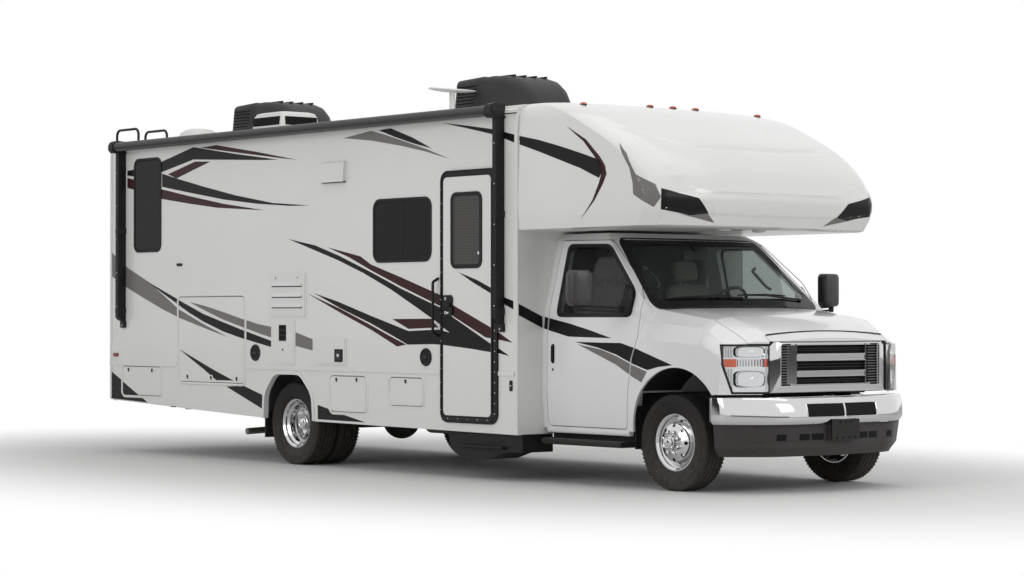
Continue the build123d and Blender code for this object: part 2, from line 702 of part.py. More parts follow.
# ---- roof equipment ----------------------------------------------------------------------------
conditioner_rear_x = (0, -3579)
conditioner_half = 345
conditioner_rows = (
    (0, 0, 0), (-6, 330, 40), (60, 385, 60), (560, 400, 300), (850, 345, 300), (1030, 130, 90), (1030, 0, 0),
)
base_height = 55
with BuildPart() as air_conditioners:
    for start_x in conditioner_rear_x:
        rows = tuple((start_x + across, roof_top + up, corner) for across, up, corner in conditioner_rows)
        along_y(rows, (-conditioner_half, conditioner_half))
    # rounded corners in plan, tighter at the rear
    with BuildSketch(Plane.XY.offset(roof_top)) as plan:
        for start_x in conditioner_rear_x:
            with BuildLine():
                FilletPolyline((start_x - 6, -conditioner_half), (start_x + 1030, -conditioner_half + 40),
                               (start_x + 1030, conditioner_half - 40), (start_x - 6, conditioner_half),
                               radius=(60, 190, 190, 60), close=True)
            make_face()
    extrude(plan.sketch, amount=500, mode=Mode.INTERSECT)
    for start_x in conditioner_rear_x:
        # louvres on both flanks at the rear, and across the rear end
        for row in range(6):
            slot_z = roof_top + base_height + 30 + row * 38
            for name, side in sides:
                block((start_x + 90, start_x + 380), both(side, conditioner_half - 14, conditioner_half + 1),
                      (slot_z, slot_z + 20), Mode.SUBTRACT)
            block((start_x - 10, start_x + 12), (-255, 255), (slot_z, slot_z + 20), Mode.SUBTRACT)
air_conditioners.part.label = "air_conditioners"
export_step(air_conditioners.part, "parts/air_conditioners.step")

# roof vents: x limits, y limits, height, wall taper
vent_places = (
    ((-2480, -1960), (-830, -380), 215, 10),
    ((-3960, -3560), (-800, -380), 150, 30),
    ((-600, -240), (-180, 180), 120, 10),
)
with BuildPart() as roof_vents:
    for place_x, place_y, height, taper in vent_places:
        with BuildSketch(Plane.XY.offset(roof_top)) as foot:
            with Locations((sum(place_x) / 2, sum(place_y) / 2)):
                RectangleRounded(place_x[1] - place_x[0], place_y[1] - place_y[0], 60)
        extrude(foot.sketch, amount=height, taper=taper)
    # post and cross bar of the television aerial
    rod_z(330, -600, 22, (roof_top, roof_top + 260))
    block((250, 410), (-840, -360), (roof_top + 250, roof_top + 285))
roof_vents.part.label = "roof_vents"
export_step(roof_vents.part, "parts/roof_vents.step")

# ---- ladder, rear bumper, lamps ----------------------------------------------------------------
ladder_y = (-1140, -810)
ladder_x = -4418
ladder_radius = 12.7
rung_step = 290
with BuildPart() as ladder:
    for rail_place in ladder_y:
        ladder_path = [
            (ladder_x, rail_place, 900), (ladder_x, rail_place, 3205), (-4010, rail_place, 3205),
            (-4010, rail_place, roof_top - 14),
        ]
        tube_path(ladder_path, ladder_radius, 60)
        for stand_z in (1000, 1900, 2800):
            rod_x(rail_place, stand_z, 9, (ladder_x, house_rear_x))
    for rung in range(7):
        rod_y(ladder_x, 1000 + rung * rung_step, 11, ladder_y)
    for rail_place in ladder_y:
        rod_z(-4010, rail_place, 40, (roof_top, roof_top + 8))
        block((-4080, -3940), grow((rail_place, rail_place), 60), (roof_top - 60, roof_top), Mode.SUBTRACT)
ladder.part.label = "ladder"
export_step(ladder.part, "parts/ladder.step")

with BuildPart() as rear_bumper:
    block(bumper_rear_x, (-1190, 1190), (500, 600))
    for name, side in sides:
        block((bumper_rear_x[1] - 10, rail_rear_x), both(side, rail_y[0], rail_y[1]), (575, 600 + 60))
rear_bumper.part.label = "rear_bumper"
export_step(rear_bumper.part, "parts/rear_bumper.step")

clearance_x = 2500
clearance_y = (-982, -257, 0, 257, 982)
with BuildPart() as body_lamps:
    for place_y in clearance_y:
        block((clearance_x - 45, clearance_x + 45), grow((place_y, place_y), 24), (3000, 3084))
    add(cab_over_cap.part, mode=Mode.SUBTRACT)
    block((2400, 2600), (-1100, 1100), (2900, 3020), Mode.SUBTRACT)
    for name, side in sides:
        block((house_rear_x - 22, house_rear_x), both(side, 1162, 1250), (960, 1300))
        panel_y((-4262, -4168), (940, 976), 10, both(side, house_half, house_half + 14))
        block((house_rear_x - 16, house_rear_x), both(side, 1040, 1170), (2900, 2945))
    block((house_rear_x - 16, house_rear_x), (-160, 160), (2900, 2945))
body_lamps.part.label = "body_lamps"
export_step(body_lamps.part, "parts/body_lamps.step")

# ---- entry step folded under the door ----------------------------------------------------------
with BuildPart() as entry_step:
    pod_rows = (
        (1040, 386, 0), (1075, 250, 60), (1210, 172, 60), (1560, 165, 60), (1790, 232, 60), (2010, 236, 0),
        (2010, 386, 0),
    )
    along_y(pod_rows, both(-1, 880, 1205))
    for bracket_x in (1100, 1640):
        block((bracket_x, bracket_x + 60), both(-1, 980, 1100), (380, step_rise_z[0]))
        rod_y(bracket_x + (110 if bracket_x < 1300 else 150), 268, 10, both(-1, 1200, 1250))
    rod_x(-1240, 268, 11, (1195, 1805))
entry_step.part.label = "entry_step"
export_step(entry_step.part, "parts/entry_step.step")

# ---- cab cell: a steel shell with a sloping screen ---------------------------------------------
# levels: z, half width, x at the front corners, x at the front's middle
cell_levels = (
    (440, 985, 3056, 3070),
    (640, 1004, 3056, 3075),
    (752, 1008, 3066, 3090),
    (1155, 1005, 3165, 3230),
    (1400, 978, 3262, 3345),
    (1959, 838, 2660, 2748),
    (2012, 775, 2570, 2655),
)
cab_floor_z = (rail_z[1], rail_z[1] + 40)
sill_inside = 860
cavity_top = 1964
door_waist = 1200


def cell_level(height, half, corner_x, middle_x, rear_x=house_front_x):
    with BuildSketch(Plane.XY.offset(height)) as level:
        with BuildLine():
            Polyline((corner_x, half), (rear_x, half), (rear_x, -half), (corner_x, -half))
            ThreePointArc((corner_x, -half), (middle_x, 0), (corner_x, half))
        make_face()
    return level.sketch


def level_at(height, inset_side, inset_front):
    # the cell's level at any height, inset from its skin
    for low, high in zip(cell_levels, cell_levels[1:]):
        if low[0] <= height <= high[0]:
            share = (height - low[0]) / (high[0] - low[0])
            half, corner_x, middle_x = [a + (b - a) * share for a, b in zip(low[1:], high[1:])]
            return (height, half - inset_side, corner_x - inset_front, middle_x - inset_front)


cell_skin = loft([cell_level(*row) for row in cell_levels], ruled=True, mode=Mode.PRIVATE)
cavity_heights = (cab_floor_z[1], 1155, 1400, cavity_top)
cavity = loft(
    [cell_level(*level_at(height, cell_wall, cell_wall + 12), rear_x=house_front_x - 10)
     for height in cavity_heights], ruled=True, mode=Mode.PRIVATE)
# what the doors leave free in the middle; their upper frames are thinner than their lower panels
core = loft(
    [cell_level(height, half - (door_depth if height < door_waist else door_frame_depth), corner_x + 400,
                middle_x + 400, rear_x=house_front_x - 10)
     for height, half, corner_x, middle_x in cell_levels], ruled=True, mode=Mode.PRIVATE)

# seam of the cab door and outline of its window: x, z, corner radius
door_seam = (
    (2078, 453, 60), (3032, 453, 40), (3056, 720, 60), (3096, 1012, 60), (3166, 1170, 60), (3190, 1470, 70),
    (3108, 1617, 90), (2695, 1955, 60), (2074, 1962, 50),
)
door_window = ((2197, 1352, 40), (3062, 1352, 60), (3078, 1530, 60), (2680, 1904, 60), (2190, 1912, 60))
screen_rows = ((-900, 1432, 60), (900, 1432, 60), (735, 1935, 70), (-735, 1935, 70))
screen_x = (2560, 3500)
glass = 7

# upright hinges outside the skin, ahead of the whole leaf; the shut edges are curved about them
door_hinge_x = 3195
door_hinge_y = cab_half + 4
shut_ease = 3
shut_radius = door_hinge_x - door_seam[0][0] - shut_ease
cab_z = (400, 2000)


def door_opening(side):
    with BuildPart() as opening:
        along_y(door_seam, both(side, 400, cab_half + 20))
        rod_z(door_hinge_x, side * door_hinge_y, shut_radius, cab_z, Mode.INTERSECT)
        add(core, mode=Mode.SUBTRACT)
    return opening.part


with BuildPart() as door_openings:
    for name, side in sides:
        add(door_opening(side))

with BuildPart() as cab_shell:
    add(cell_skin)
    add(cavity, mode=Mode.SUBTRACT)
    block((house_front_x - 1, 3200), (-sill_inside, sill_inside), (400, cab_floor_z[0]), Mode.SUBTRACT)
    add(door_openings.part, mode=Mode.SUBTRACT)
    along_x(screen_rows, screen_x, Mode.SUBTRACT)
cab_shell.part.label = "cab_shell"
export_step(cab_shell.part, "parts/cab_shell.step")

with BuildPart() as windshield:
    add(cell_skin)
    add(cell_skin.moved(Location((-glass * 1.5, 0, 0))), mode=Mode.SUBTRACT)
    with BuildSketch(Plane.YZ.offset(screen_x[0])) as pane:
        add(offset(outline(Plane.XY, screen_rows), amount=-3))
    extrude(pane.sketch, amount=screen_x[1] - screen_x[0], mode=Mode.INTERSECT)
windshield.part.label = "windshield"
export_step(windshield.part, "parts/windshield.step")

for name, side in sides:
    half_space = both(side, 0, cab_half + 30)
    seam_plane = side_plane(max(half_space))
    with BuildPart() as cab_door:
        with BuildSketch(seam_plane) as leaf:
            add(offset(outline(Plane.XY, door_seam), amount=-panel_gap))
        extrude(leaf.sketch, amount=cab_half + 30)
        rod_z(door_hinge_x, side * door_hinge_y, shut_radius - panel_gap, cab_z, Mode.INTERSECT)
        add(cell_skin, mode=Mode.INTERSECT)
        add(cavity, mode=Mode.SUBTRACT)
        add(core, mode=Mode.SUBTRACT)
        along_y(door_window, half_space, Mode.SUBTRACT)
    cab_door.part.label = f"cab_door_{name}"
    export_step(cab_door.part, f"parts/cab_door_{name}.step")

    with BuildPart() as door_glass:
        with BuildSketch(seam_plane) as pane:
            add(offset(outline(Plane.XY, door_window), amount=-1))
        extrude(pane.sketch, amount=cab_half + 30)
        add(cell_skin.moved(Location((0, -side * 6, 0))), mode=Mode.INTERSECT)
        add(cell_skin.moved(Location((0, -side * (6 + glass), 0))), mode=Mode.SUBTRACT)
    door_glass.part.label = f"door_glass_{name}"
    export_step(door_glass.part, f"parts/door_glass_{name}.step")

    with BuildPart() as mirror:
        # foot on the door, arm and head
        foot_rows = ((2960, 1358, 10), (3052, 1358, 20), (3060, 1500, 20), (3010, 1590, 10), (2985, 1480, 40))
        along_y(foot_rows, both(side, 940, 1035))
        add(cell_skin.moved(Location((0, side * 0.5, 0))), mode=Mode.SUBTRACT)
        tube_path([(3010, side * 1000, 1385), (2990, side * 1120, 1372), (2950, side * 1400, 1372),
                   (2950, side * 1400, 1440)], 15, 40)
        head_rows = (
            (-1290 * -side, 1440, 50), (-1290 * -side, 1715, 50), (-1515 * -side, 1700, 60),
            (-1520 * -side, 1428, 50),
        )
        along_x(head_rows, (2890, 2985))
    mirror.part.label = f"mirror_{name}"
    export_step(mirror.part, f"parts/mirror_{name}.step")

# ---- nose: fenders and hood cut from one lofted form -------------------------------------------
# stations: x, half width at the base, half width at the crease, waist (y, z), shoulder (y, z),
# hood edge (y, z), hood crease (y, z), crown z
nose_stations = (
    (3040, 985, 1008, (1005, 1155), (985, 1330), (895, 1425), (700, 1440), 1450),
    (3262, 985, 1008, (1004, 1155), (982, 1305), (892, 1400), (690, 1418), 1432),
    (3860, 985, 1006, (994, 1120), (958, 1245), (845, 1312), (670, 1342), 1356),
    (4066, 980, 992, (974, 1030), (938, 1130), (806, 1205), (655, 1272), 1302),
    (4180, 975, 984, (964, 1000), (926, 1080), (798, 1134), (650, 1224), 1246),
    (4330, 965, 970, (950, 950), (900, 1000), (785, 1040), (650, 1080), 1155),
)
nose_bottom = 440
arch_centre = (3587, 458)
arch_radius = 491
# slanted lamp corners and the bowed front in plan
lamp_outer = (4067, 973)
lamp_inner = (4260, 650)
front_middle_x = 4292
lamp_z = (757, 1128)
hood_seam = ((3268, 888), (3860, 842), (4066, 806), (4180, 798))
hood_front_x = 4204
header_gap = 10
header_half = 642
hood_nose_half = header_half + 9
grille_z = (758, 1152)


def nose_section(x, base, low, waist, shoulder, edge, crease, crown, inset=0, drop=0):
    with BuildSketch(Plane.YZ.offset(x)) as section:
        with BuildLine():
            right = [
                (base - inset, nose_bottom - drop), (low - inset, 752),
                (waist[0] - inset, waist[1] - drop / 2), (shoulder[0] - inset, shoulder[1] - drop),
                (edge[0] - inset * 0.6, edge[1] - drop), (crease[0] - inset * 0.3, crease[1] - drop),
            ]
            left = [(-across, up) for across, up in reversed(right)]
            Polyline(*right)
            ThreePointArc(right[-1], (0, crown - drop), left[0])
            Polyline(*left, right[0])
        make_face()
    return section.sketch


nose_form = loft([nose_section(*row) for row in nose_stations], ruled=True, mode=Mode.PRIVATE)
nose_inside = loft([nose_section(*row, inset=nose_skin, drop=nose_skin) for row in nose_stations], ruled=True,
                   mode=Mode.PRIVATE)


def front_mask(inset):
    # plan of the nose: slanted corners at the lamps and a bowed front, moved back by inset
    outer = (lamp_outer[0] - inset, lamp_outer[1])
    inner = (lamp_inner[0] - inset, lamp_inner[1])
    with BuildSketch(Plane.XY.offset(400)) as mask:
        with BuildLine():
            Polyline((inner[0], inner[1]), (outer[0], outer[1]), (outer[0] - 60, 1100), (3000, 1100),
                     (3000, -1100), (outer[0] - 60, -1100), (outer[0], -outer[1]), (inner[0], -inner[1]))
            ThreePointArc((inner[0], -inner[1]), (front_middle_x - inset, 0), (inner[0], inner[1]))
        make_face()
    return mask.sketch


with BuildPart() as nose_hollow:
    add(nose_inside)
    extrude(front_mask(nose_skin), amount=1200, mode=Mode.INTERSECT)

with BuildPart() as nose_shell:
    add(nose_form)
    extrude(front_mask(0), amount=1200, mode=Mode.INTERSECT)
    add(nose_hollow.part, mode=Mode.SUBTRACT)


def hood_region(growth, front_x, low_z):
    # plan of the hood, whose front edge steps back round the header panel
    rows = [(x, half + growth) for x, half in hood_seam]
    last_half = rows[-1][1]
    right = [*rows, (4320, last_half), (4320, hood_nose_half - growth), (front_x, hood_nose_half - growth)]
    if growth > 0:
        right.insert(0, (3000, rows[0][1]))
    left = [(x, -half) for x, half in reversed(right)]
    with BuildSketch(Plane.XY.offset(low_z)) as region:
        with BuildLine():
            Polyline(*right, *left, close=True)
        make_face()
    return region.sketch


with BuildPart() as hood:
    add(nose_shell.part)
    extrude(hood_region(-panel_gap / 2, hood_front_x, lamp_z[1] + panel_gap), amount=400, mode=Mode.INTERSECT)
    add(cell_skin.moved(Location((panel_gap, 0, 0))), mode=Mode.SUBTRACT)
hood.part.label = "hood"
export_step(hood.part, "parts/hood.step")

lamp_run = (lamp_inner[0] - lamp_outer[0], lamp_inner[1] - lamp_outer[1])
lamp_length = math.hypot(*lamp_run)
lamp_along = (lamp_run[0] / lamp_length, lamp_run[1] / lamp_length)
lamp_out = (-lamp_along[1], lamp_along[0])
lamp_depth = 100
lamp_chamfer_z = 985
lamp_chamfer_y = 905


def lamp_block(side, growth):
    def corner(end, along, out):
        x = end[0] + lamp_along[0] * along + lamp_out[0] * out
        y = end[1] + lamp_along[1] * along + lamp_out[1] * out
        return (x, side * y, 0)

    plan = (
        corner(lamp_outer, -growth, 30), corner(lamp_inner, growth, 30),
        corner(lamp_inner, growth, -lamp_depth - growth), corner(lamp_outer, -growth, -lamp_depth - growth),
    )
    low, high = lamp_z[0] - growth, lamp_z[1] + growth
    outer_y = lamp_outer[1] + 2 * growth
    face = (
        (side * outer_y, high, 0), (side * outer_y, lamp_chamfer_z, 0),
        (side * (lamp_chamfer_y + growth), low, 0), (side * 500, low, 0), (side * 500, high, 0),
    )
    with BuildPart() as lamp:
        along_z(plan, (low, high))
        extrude(outline(Plane.YZ.offset(3900), face), amount=500, mode=Mode.INTERSECT)
    return lamp.part


bumper_z = (523, 732)
with BuildPart() as front_fenders:
    add(nose_shell.part)
    extrude(hood_region(panel_gap / 2, hood_front_x + header_gap, lamp_z[1]), amount=400, mode=Mode.SUBTRACT)
    block((4080, 4400), (-700, 700), (400, grille_z[1]), Mode.SUBTRACT)
    block((3985, 4400), (-1100, 1100), (400, bumper_z[1] + 18), Mode.SUBTRACT)
    add(cell_skin, mode=Mode.SUBTRACT)
    add(door_openings.part, mode=Mode.SUBTRACT)
    block((3000, 3175), (-1100, 1100), (1411, 1600), Mode.SUBTRACT)
    for name, side in sides:
        rod_y(*arch_centre, arch_radius, both(side, 600, 1100), Mode.SUBTRACT)
        add(lamp_block(side, 3), mode=Mode.SUBTRACT)
front_fenders.part.label = "front_fenders"
export_step(front_fenders.part, "parts/front_fenders.step")

with BuildPart() as headlamps:
    for name, side in sides:
        add(lamp_block(side, 0))
    add(nose_form, mode=Mode.INTERSECT)
    extrude(front_mask(0), amount=1200, mode=Mode.INTERSECT)
headlamps.part.label = "headlamps"
export_step(headlamps.part, "parts/headlamps.step")

grille_rear_x = hood_front_x + header_gap
grille_proud = 8
insert_z = (806, 1122)
insert_half = 378
column_y = (420, 566)
bar_count = 5
bar_height = 26
with BuildPart() as grille:
    block((grille_rear_x, 4330), (-header_half, header_half), grille_z)
    extrude(front_mask(-grille_proud), amount=1200, mode=Mode.INTERSECT)
    block((grille_rear_x - 1, 4400), (-insert_half, insert_half), insert_z, Mode.SUBTRACT)
    for name, side in sides:
        block((grille_rear_x - 1, 4400), both(side, *column_y), insert_z, Mode.SUBTRACT)
    pitch = (insert_z[1] - insert_z[0]) / (bar_count + 1)
    for bar in range(bar_count):
        bar_z = insert_z[0] + pitch * (bar + 1)
        block((grille_rear_x + 20, 4290), (-insert_half, insert_half), grow((bar_z, bar_z), bar_height / 2))
    slat_pitch = (column_y[1] - column_y[0]) / 5
    for name, side in sides:
        for slat in range(4):
            slat_y = column_y[0] + slat_pitch * (slat + 1)
            block((grille_rear_x + 20, 4255), both(side, slat_y - 5, slat_y + 5), insert_z)
        add(lamp_block(side, 1), mode=Mode.SUBTRACT)
grille.part.label = "grille"
export_step(grille.part, "parts/grille.step")

# plan of the bumper: x, half width, corner radius; lower edge leads the upper one
bumper_low = ((3975, 1012, 0), (4125, 1012, 110), (4386, 640, 400), (4441, 0, 3000))
bumper_high = ((3975, 1010, 0), (4098, 1010, 110), (4322, 640, 400), (4362, 0, 3000))
valance_high = ((3990, 985, 0), (4100, 985, 90), (4344, 640, 400), (4398, 0, 3000))
valance_mid = ((3990, 972, 0), (4078, 972, 90), (4326, 640, 400), (4394, 0, 3000))
valance_low = ((3990, 930, 0), (4042, 930, 80), (4290, 640, 400), (4372, 0, 3000))
valance_z = (279, 346, 520)


def wrap_level(rows, height, inset):
    half = [(x - (inset if index else 300), y - inset, corner)
            for index, (x, y, corner) in enumerate(rows[:-1])]
    middle = rows[-1]
    mirrored = [(x, -y, corner) for x, y, corner in reversed(half)]
    return outline(Plane.XY.offset(height), [*half, (middle[0] - inset, 0, middle[2]), *mirrored])


bumper_skin = 20
with BuildPart() as bumper_horns:
    for name, side in sides:
        block((rail_front_x, 4400), both(side, *rail_y), (590, 700))
    loft([wrap_level(bumper_low, bumper_z[0], bumper_skin - 2),
          wrap_level(bumper_high, bumper_z[1], bumper_skin - 2)], ruled=True, mode=Mode.INTERSECT)

with BuildPart() as front_bumper:
    loft([wrap_level(bumper_low, bumper_z[0], 0), wrap_level(bumper_high, bumper_z[1], 0)], ruled=True)
    loft([wrap_level(bumper_low, bumper_z[0] - 1, bumper_skin),
          wrap_level(bumper_high, bumper_z[1] - bumper_skin, bumper_skin)], ruled=True, mode=Mode.SUBTRACT)
    block((3600, bumper_low[0][0]), (-1100, 1100), (500, 760), Mode.SUBTRACT)
    block((3900, 4270), (-900, 900), (700, 760), Mode.SUBTRACT)
    for name, side in sides:
        block((4300, 4450), both(side, 8, 378), (581, 675), Mode.SUBTRACT)
    add(bumper_horns.part)
front_bumper.part.label = "front_bumper"
export_step(front_bumper.part, "parts/front_bumper.step")

valance_skin = 14
plate_hole_y = 89
plate_hole_z = 480
plate_hole_radius = 3.5
with BuildPart() as front_valance:
    levels = zip((valance_low, valance_mid, valance_high), valance_z)
    loft([wrap_level(rows, height, 0) for rows, height in levels], ruled=True)
    levels = zip((valance_low, valance_mid, valance_high), (valance_z[0] - 1, valance_z[1], valance_z[2] + 1))
    loft([wrap_level(rows, height, valance_skin) for rows, height in levels], ruled=True, mode=Mode.SUBTRACT)
    block((3600, valance_low[0][0]), (-1100, 1100), (200, 560), Mode.SUBTRACT)
    # bracket for a number plate, with its two screw holes
    block((4380, 4412), (-150, 150), (400, 520))
    for name, side in sides:
        rod_x(side * plate_hole_y, plate_hole_z, plate_hole_radius, (4300, 4450), Mode.SUBTRACT)
front_valance.part.label = "front_valance"
export_step(front_valance.part, "parts/front_valance.step")

# ---- inside the cab ----------------------------------------------------------------------------
steering_place = (2730, 400, 1300)
steering_radius = 190
with BuildPart() as dashboard:
    dash_rows = (
        (3240, 960, 0), (3240, 1365, 20), (3120, 1378, 60), (2890, 1330, 50), (2860, 1180, 50),
        (2960, 960, 40),
    )
    along_y(dash_rows, (-830, 830))
    # engine cover between the seats, standing on the cab floor
    cover_rows = ((2840, cab_floor_z[1], 0), (2850, 990, 60), (3090, 990, 0), (3040, cab_floor_z[1], 0))
    along_y(cover_rows, (-250, 250))
    add(cavity.moved(Location((-5, 0, 0))), mode=Mode.INTERSECT)
    wheel_plane = Plane(origin=steering_place, x_dir=(0, 1, 0), z_dir=(-0.86, 0, 0.5))
    with BuildSketch(wheel_plane) as hub:
        Circle(60)
    extrude(hub.sketch, amount=-60)
    with BuildSketch(wheel_plane) as column:
        Circle(28)
    extrude(column.sketch, amount=-230)
    # rim of the steering wheel and its spokes
    ring_plane = Plane(origin=steering_place, x_dir=(0, 1, 0), z_dir=(0.5, 0, 0.86))
    with BuildSketch(ring_plane) as rim:
        with Locations((steering_radius, 0)):
            Circle(15)
    revolve(rim.sketch, axis=Axis(steering_place, (-0.86, 0, 0.5)))
    with BuildSketch(wheel_plane) as spokes:
        Rectangle(2 * steering_radius, 34)
    extrude(spokes.sketch, amount=-18)
dashboard.part.label = "dashboard"
export_step(dashboard.part, "parts/dashboard.step")

seat_y = 430
seat_half = 260
with BuildPart() as cab_seats:
    for name, side in sides:
        seat_span = both(side, seat_y - seat_half, seat_y + seat_half)
        block((2330, 2680), both(side, seat_y - 200, seat_y + 200), (cab_floor_z[1], 900))
        cushion_rows = ((2260, 895, 30), (2260, 1030, 30), (2790, 1060, 60), (2800, 900, 60))
        along_y(cushion_rows, seat_span)
        back_rows = ((2230, 940, 40), (2360, 940, 40), (2250, 1610, 50), (2120, 1590, 50))
        along_y(back_rows, seat_span)
        rest_rows = ((2120, 1640, 30), (2215, 1650, 30), (2190, 1800, 30), (2105, 1795, 30))
        along_y(rest_rows, both(side, seat_y - 120, seat_y + 120))
        block((2140, 2175), both(side, seat_y - 30, seat_y + 30), (1580, 1660))
cab_seats.part.label = "cab_seats"
export_step(cab_seats.part, "parts/cab_seats.step")

# ---- running boards and front wheel liners -----------------------------------------------------
board_x = (2110, 3070)
board_y = (900, 1095)
board_z = (309, 363)
with BuildPart() as running_boards:
    for name, side in sides:
        board_rows = (
            (side * board_y[0], board_z[0], 0), (side * board_y[0], board_z[1], 0),
            (side * board_y[1], board_z[1], 18), (side * board_y[1], board_z[0], 18),
        )
        along_x(board_rows, board_x)
        for bracket_x in (2250, 2900):
            block((bracket_x, bracket_x + 60), both(side, 905, 950), (board_z[1], 440))
        block((2900, 2960), both(side, 960, 1020), (215, board_z[0]))
        block((2850, 3010), both(side, 930, 1050), (205, 217))
running_boards.part.label = "running_boards"
export_step(running_boards.part, "parts/running_boards.step")

liner_radius = arch_radius + 6
with BuildPart() as wheel_liners:
    for name, side in sides:
        with BuildSketch(side_plane(max(both(side, 560, 985)))) as ring:
            with Locations(arch_centre):
                Circle(liner_radius + 6)
                Circle(liner_radius, mode=Mode.SUBTRACT)
            with Locations((arch_centre[0], 200)):
                Rectangle(1200, 1120, mode=Mode.SUBTRACT)
        extrude(ring.sketch, amount=985 - 560)
        add(lamp_block(side, 3), mode=Mode.SUBTRACT)
    add(front_fenders.part, mode=Mode.SUBTRACT)
    # flaps behind the rear and the front wheels
    for name, side in sides:
        block((rear_axle_x - 464, rear_axle_x - 450), both(side, 740, 1225), (230, 560))
        block((3078, 3088), both(side, 790, 950), (300, 640))
        block((2990, 3088), both(side, 800, 860), (600, 640))
wheel_liners.part.label = "wheel_liners"
export_step(wheel_liners.part, "parts/wheel_liners.step")
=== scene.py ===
import math

import bmesh
import bpy
from mathutils import Matrix, Vector
from mathutils.bvhtree import BVHTree
from mathutils.geometry import tessellate_polygon


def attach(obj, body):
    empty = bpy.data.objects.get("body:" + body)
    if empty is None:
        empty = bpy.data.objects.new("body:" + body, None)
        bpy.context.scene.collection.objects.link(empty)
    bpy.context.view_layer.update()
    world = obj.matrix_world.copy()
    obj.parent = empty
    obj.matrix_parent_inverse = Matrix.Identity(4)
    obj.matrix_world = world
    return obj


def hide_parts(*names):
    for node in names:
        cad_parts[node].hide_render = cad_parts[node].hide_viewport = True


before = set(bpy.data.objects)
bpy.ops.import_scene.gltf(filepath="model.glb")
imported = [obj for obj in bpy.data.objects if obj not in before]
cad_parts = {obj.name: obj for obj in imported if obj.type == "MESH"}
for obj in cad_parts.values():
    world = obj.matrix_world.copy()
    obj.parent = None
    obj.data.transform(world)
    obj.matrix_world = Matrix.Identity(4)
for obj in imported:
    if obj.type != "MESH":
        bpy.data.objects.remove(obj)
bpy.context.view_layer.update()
scene = bpy.context.scene
print("frame loaded:", len(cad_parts), "nodes")

sides = (("right", -1), ("left", 1))


def feedNode(tree, node, feeds):
    # each feed is a plain value, or a socket to link from
    for key, value in feeds.items():
        if isinstance(value, bpy.types.NodeSocket):
            tree.links.new(value, node.inputs[key])
        else:
            node.inputs[key].default_value = value
    return node


def shaderNode(tree, kind, feeds=None, **settings):
    made = tree.nodes.new("ShaderNode" + kind)
    for key, value in settings.items():
        setattr(made, key, value)
    return feedNode(tree, made, feeds or {})


def mathNode(tree, operation, *values, clamp=False):
    return shaderNode(tree, "Math", dict(enumerate(values)), operation=operation, use_clamp=clamp).outputs[0]


def effectGroup(name, inputs, outputs):
    # a shader group with named inputs and outputs, and its two ends
    tree = bpy.data.node_groups.new(name, "ShaderNodeTree")
    for label, kind, value in inputs:
        socket = tree.interface.new_socket(label, in_out="INPUT", socket_type="NodeSocket" + kind)
        socket.default_value = value
    for label, kind in outputs:
        tree.interface.new_socket(label, in_out="OUTPUT", socket_type="NodeSocket" + kind)
    return tree, tree.nodes.new("NodeGroupInput").outputs, tree.nodes.new("NodeGroupOutput")


def weatherEffect():
    # faint cloudiness over the colour, and road dust that fades out with height
    tree, given, end = effectGroup("weather", (
        ("Paint", "Color", (0.8, 0.8, 0.8, 1)), ("Dust", "Color", (0.30, 0.27, 0.23, 1)),
        ("Cloud", "Float", 0.05), ("Dusty", "Float", 0.1), ("Dust Top", "Float", 0.9),
        ("Roughness", "Float", 0.3)), (("Color", "Color"), ("Roughness", "Float")))
    place = shaderNode(tree, "TexCoord").outputs["Object"]
    wide = shaderNode(tree, "TexNoise", {"Scale": 1.7, "Detail": 5.0, "Vector": place}).outputs["Fac"]
    fine = shaderNode(tree, "TexNoise", {"Scale": 23.0, "Detail": 6.0, "Vector": place}).outputs["Fac"]
    split = shaderNode(tree, "SeparateXYZ", {0: place})
    height = shaderNode(tree, "MapRange", {"To Min": 1.0, "To Max": 0.0, "Value": split.outputs["Z"],
                                           "From Max": given["Dust Top"]}).outputs[0]
    dust = mathNode(tree, "MULTIPLY", mathNode(tree, "MULTIPLY", height, fine), given["Dusty"], clamp=True)
    cloud = mathNode(tree, "MULTIPLY", wide, given["Cloud"], clamp=True)
    darker = shaderNode(tree, "Mix", {"Factor": cloud, "A": given["Paint"], "B": (0, 0, 0, 1)}, data_type="RGBA")
    dusted = shaderNode(tree, "Mix", {"Factor": dust, "A": darker.outputs["Result"], "B": given["Dust"]},
                        data_type="RGBA")
    rougher = mathNode(tree, "MULTIPLY_ADD", cloud, 0.8, given["Roughness"], clamp=True)
    dull = mathNode(tree, "MULTIPLY_ADD", dust, 0.5, rougher, clamp=True)
    feedNode(tree, end, {"Color": dusted.outputs["Result"], "Roughness": dull})
    return tree


def grainEffect():
    # fine pimples over a slow ripple
    tree, given, end = effectGroup("grain", (
        ("Scale", "Float", 300.0), ("Ripple", "Float", 0.3)), (("Height", "Float"),))
    place = shaderNode(tree, "TexCoord").outputs["Object"]
    fine = shaderNode(tree, "TexNoise", {"Detail": 3.0, "Vector": place, "Scale": given["Scale"]})
    slow = shaderNode(tree, "TexNoise", {"Scale": 2.4, "Vector": place})
    total = mathNode(tree, "MULTIPLY_ADD", slow.outputs["Fac"], given["Ripple"], fine.outputs["Fac"])
    feedNode(tree, end, {"Height": total})
    return tree


def weaveEffect():
    # two crossing sets of threads
    tree, given, end = effectGroup("weave", (("Threads", "Float", 160.0),), (("Height", "Float"),))
    place = shaderNode(tree, "TexCoord").outputs["Object"]
    waves = [shaderNode(tree, "TexWave", {"Vector": place, "Scale": given["Threads"], "Distortion": 0.6},
                        bands_direction=direction).outputs["Fac"] for direction in ("X", "Z")]
    feedNode(tree, end, {"Height": mathNode(tree, "MULTIPLY", *waves)})
    return tree


weather = weatherEffect()
grain = grainEffect()
weave = weaveEffect()

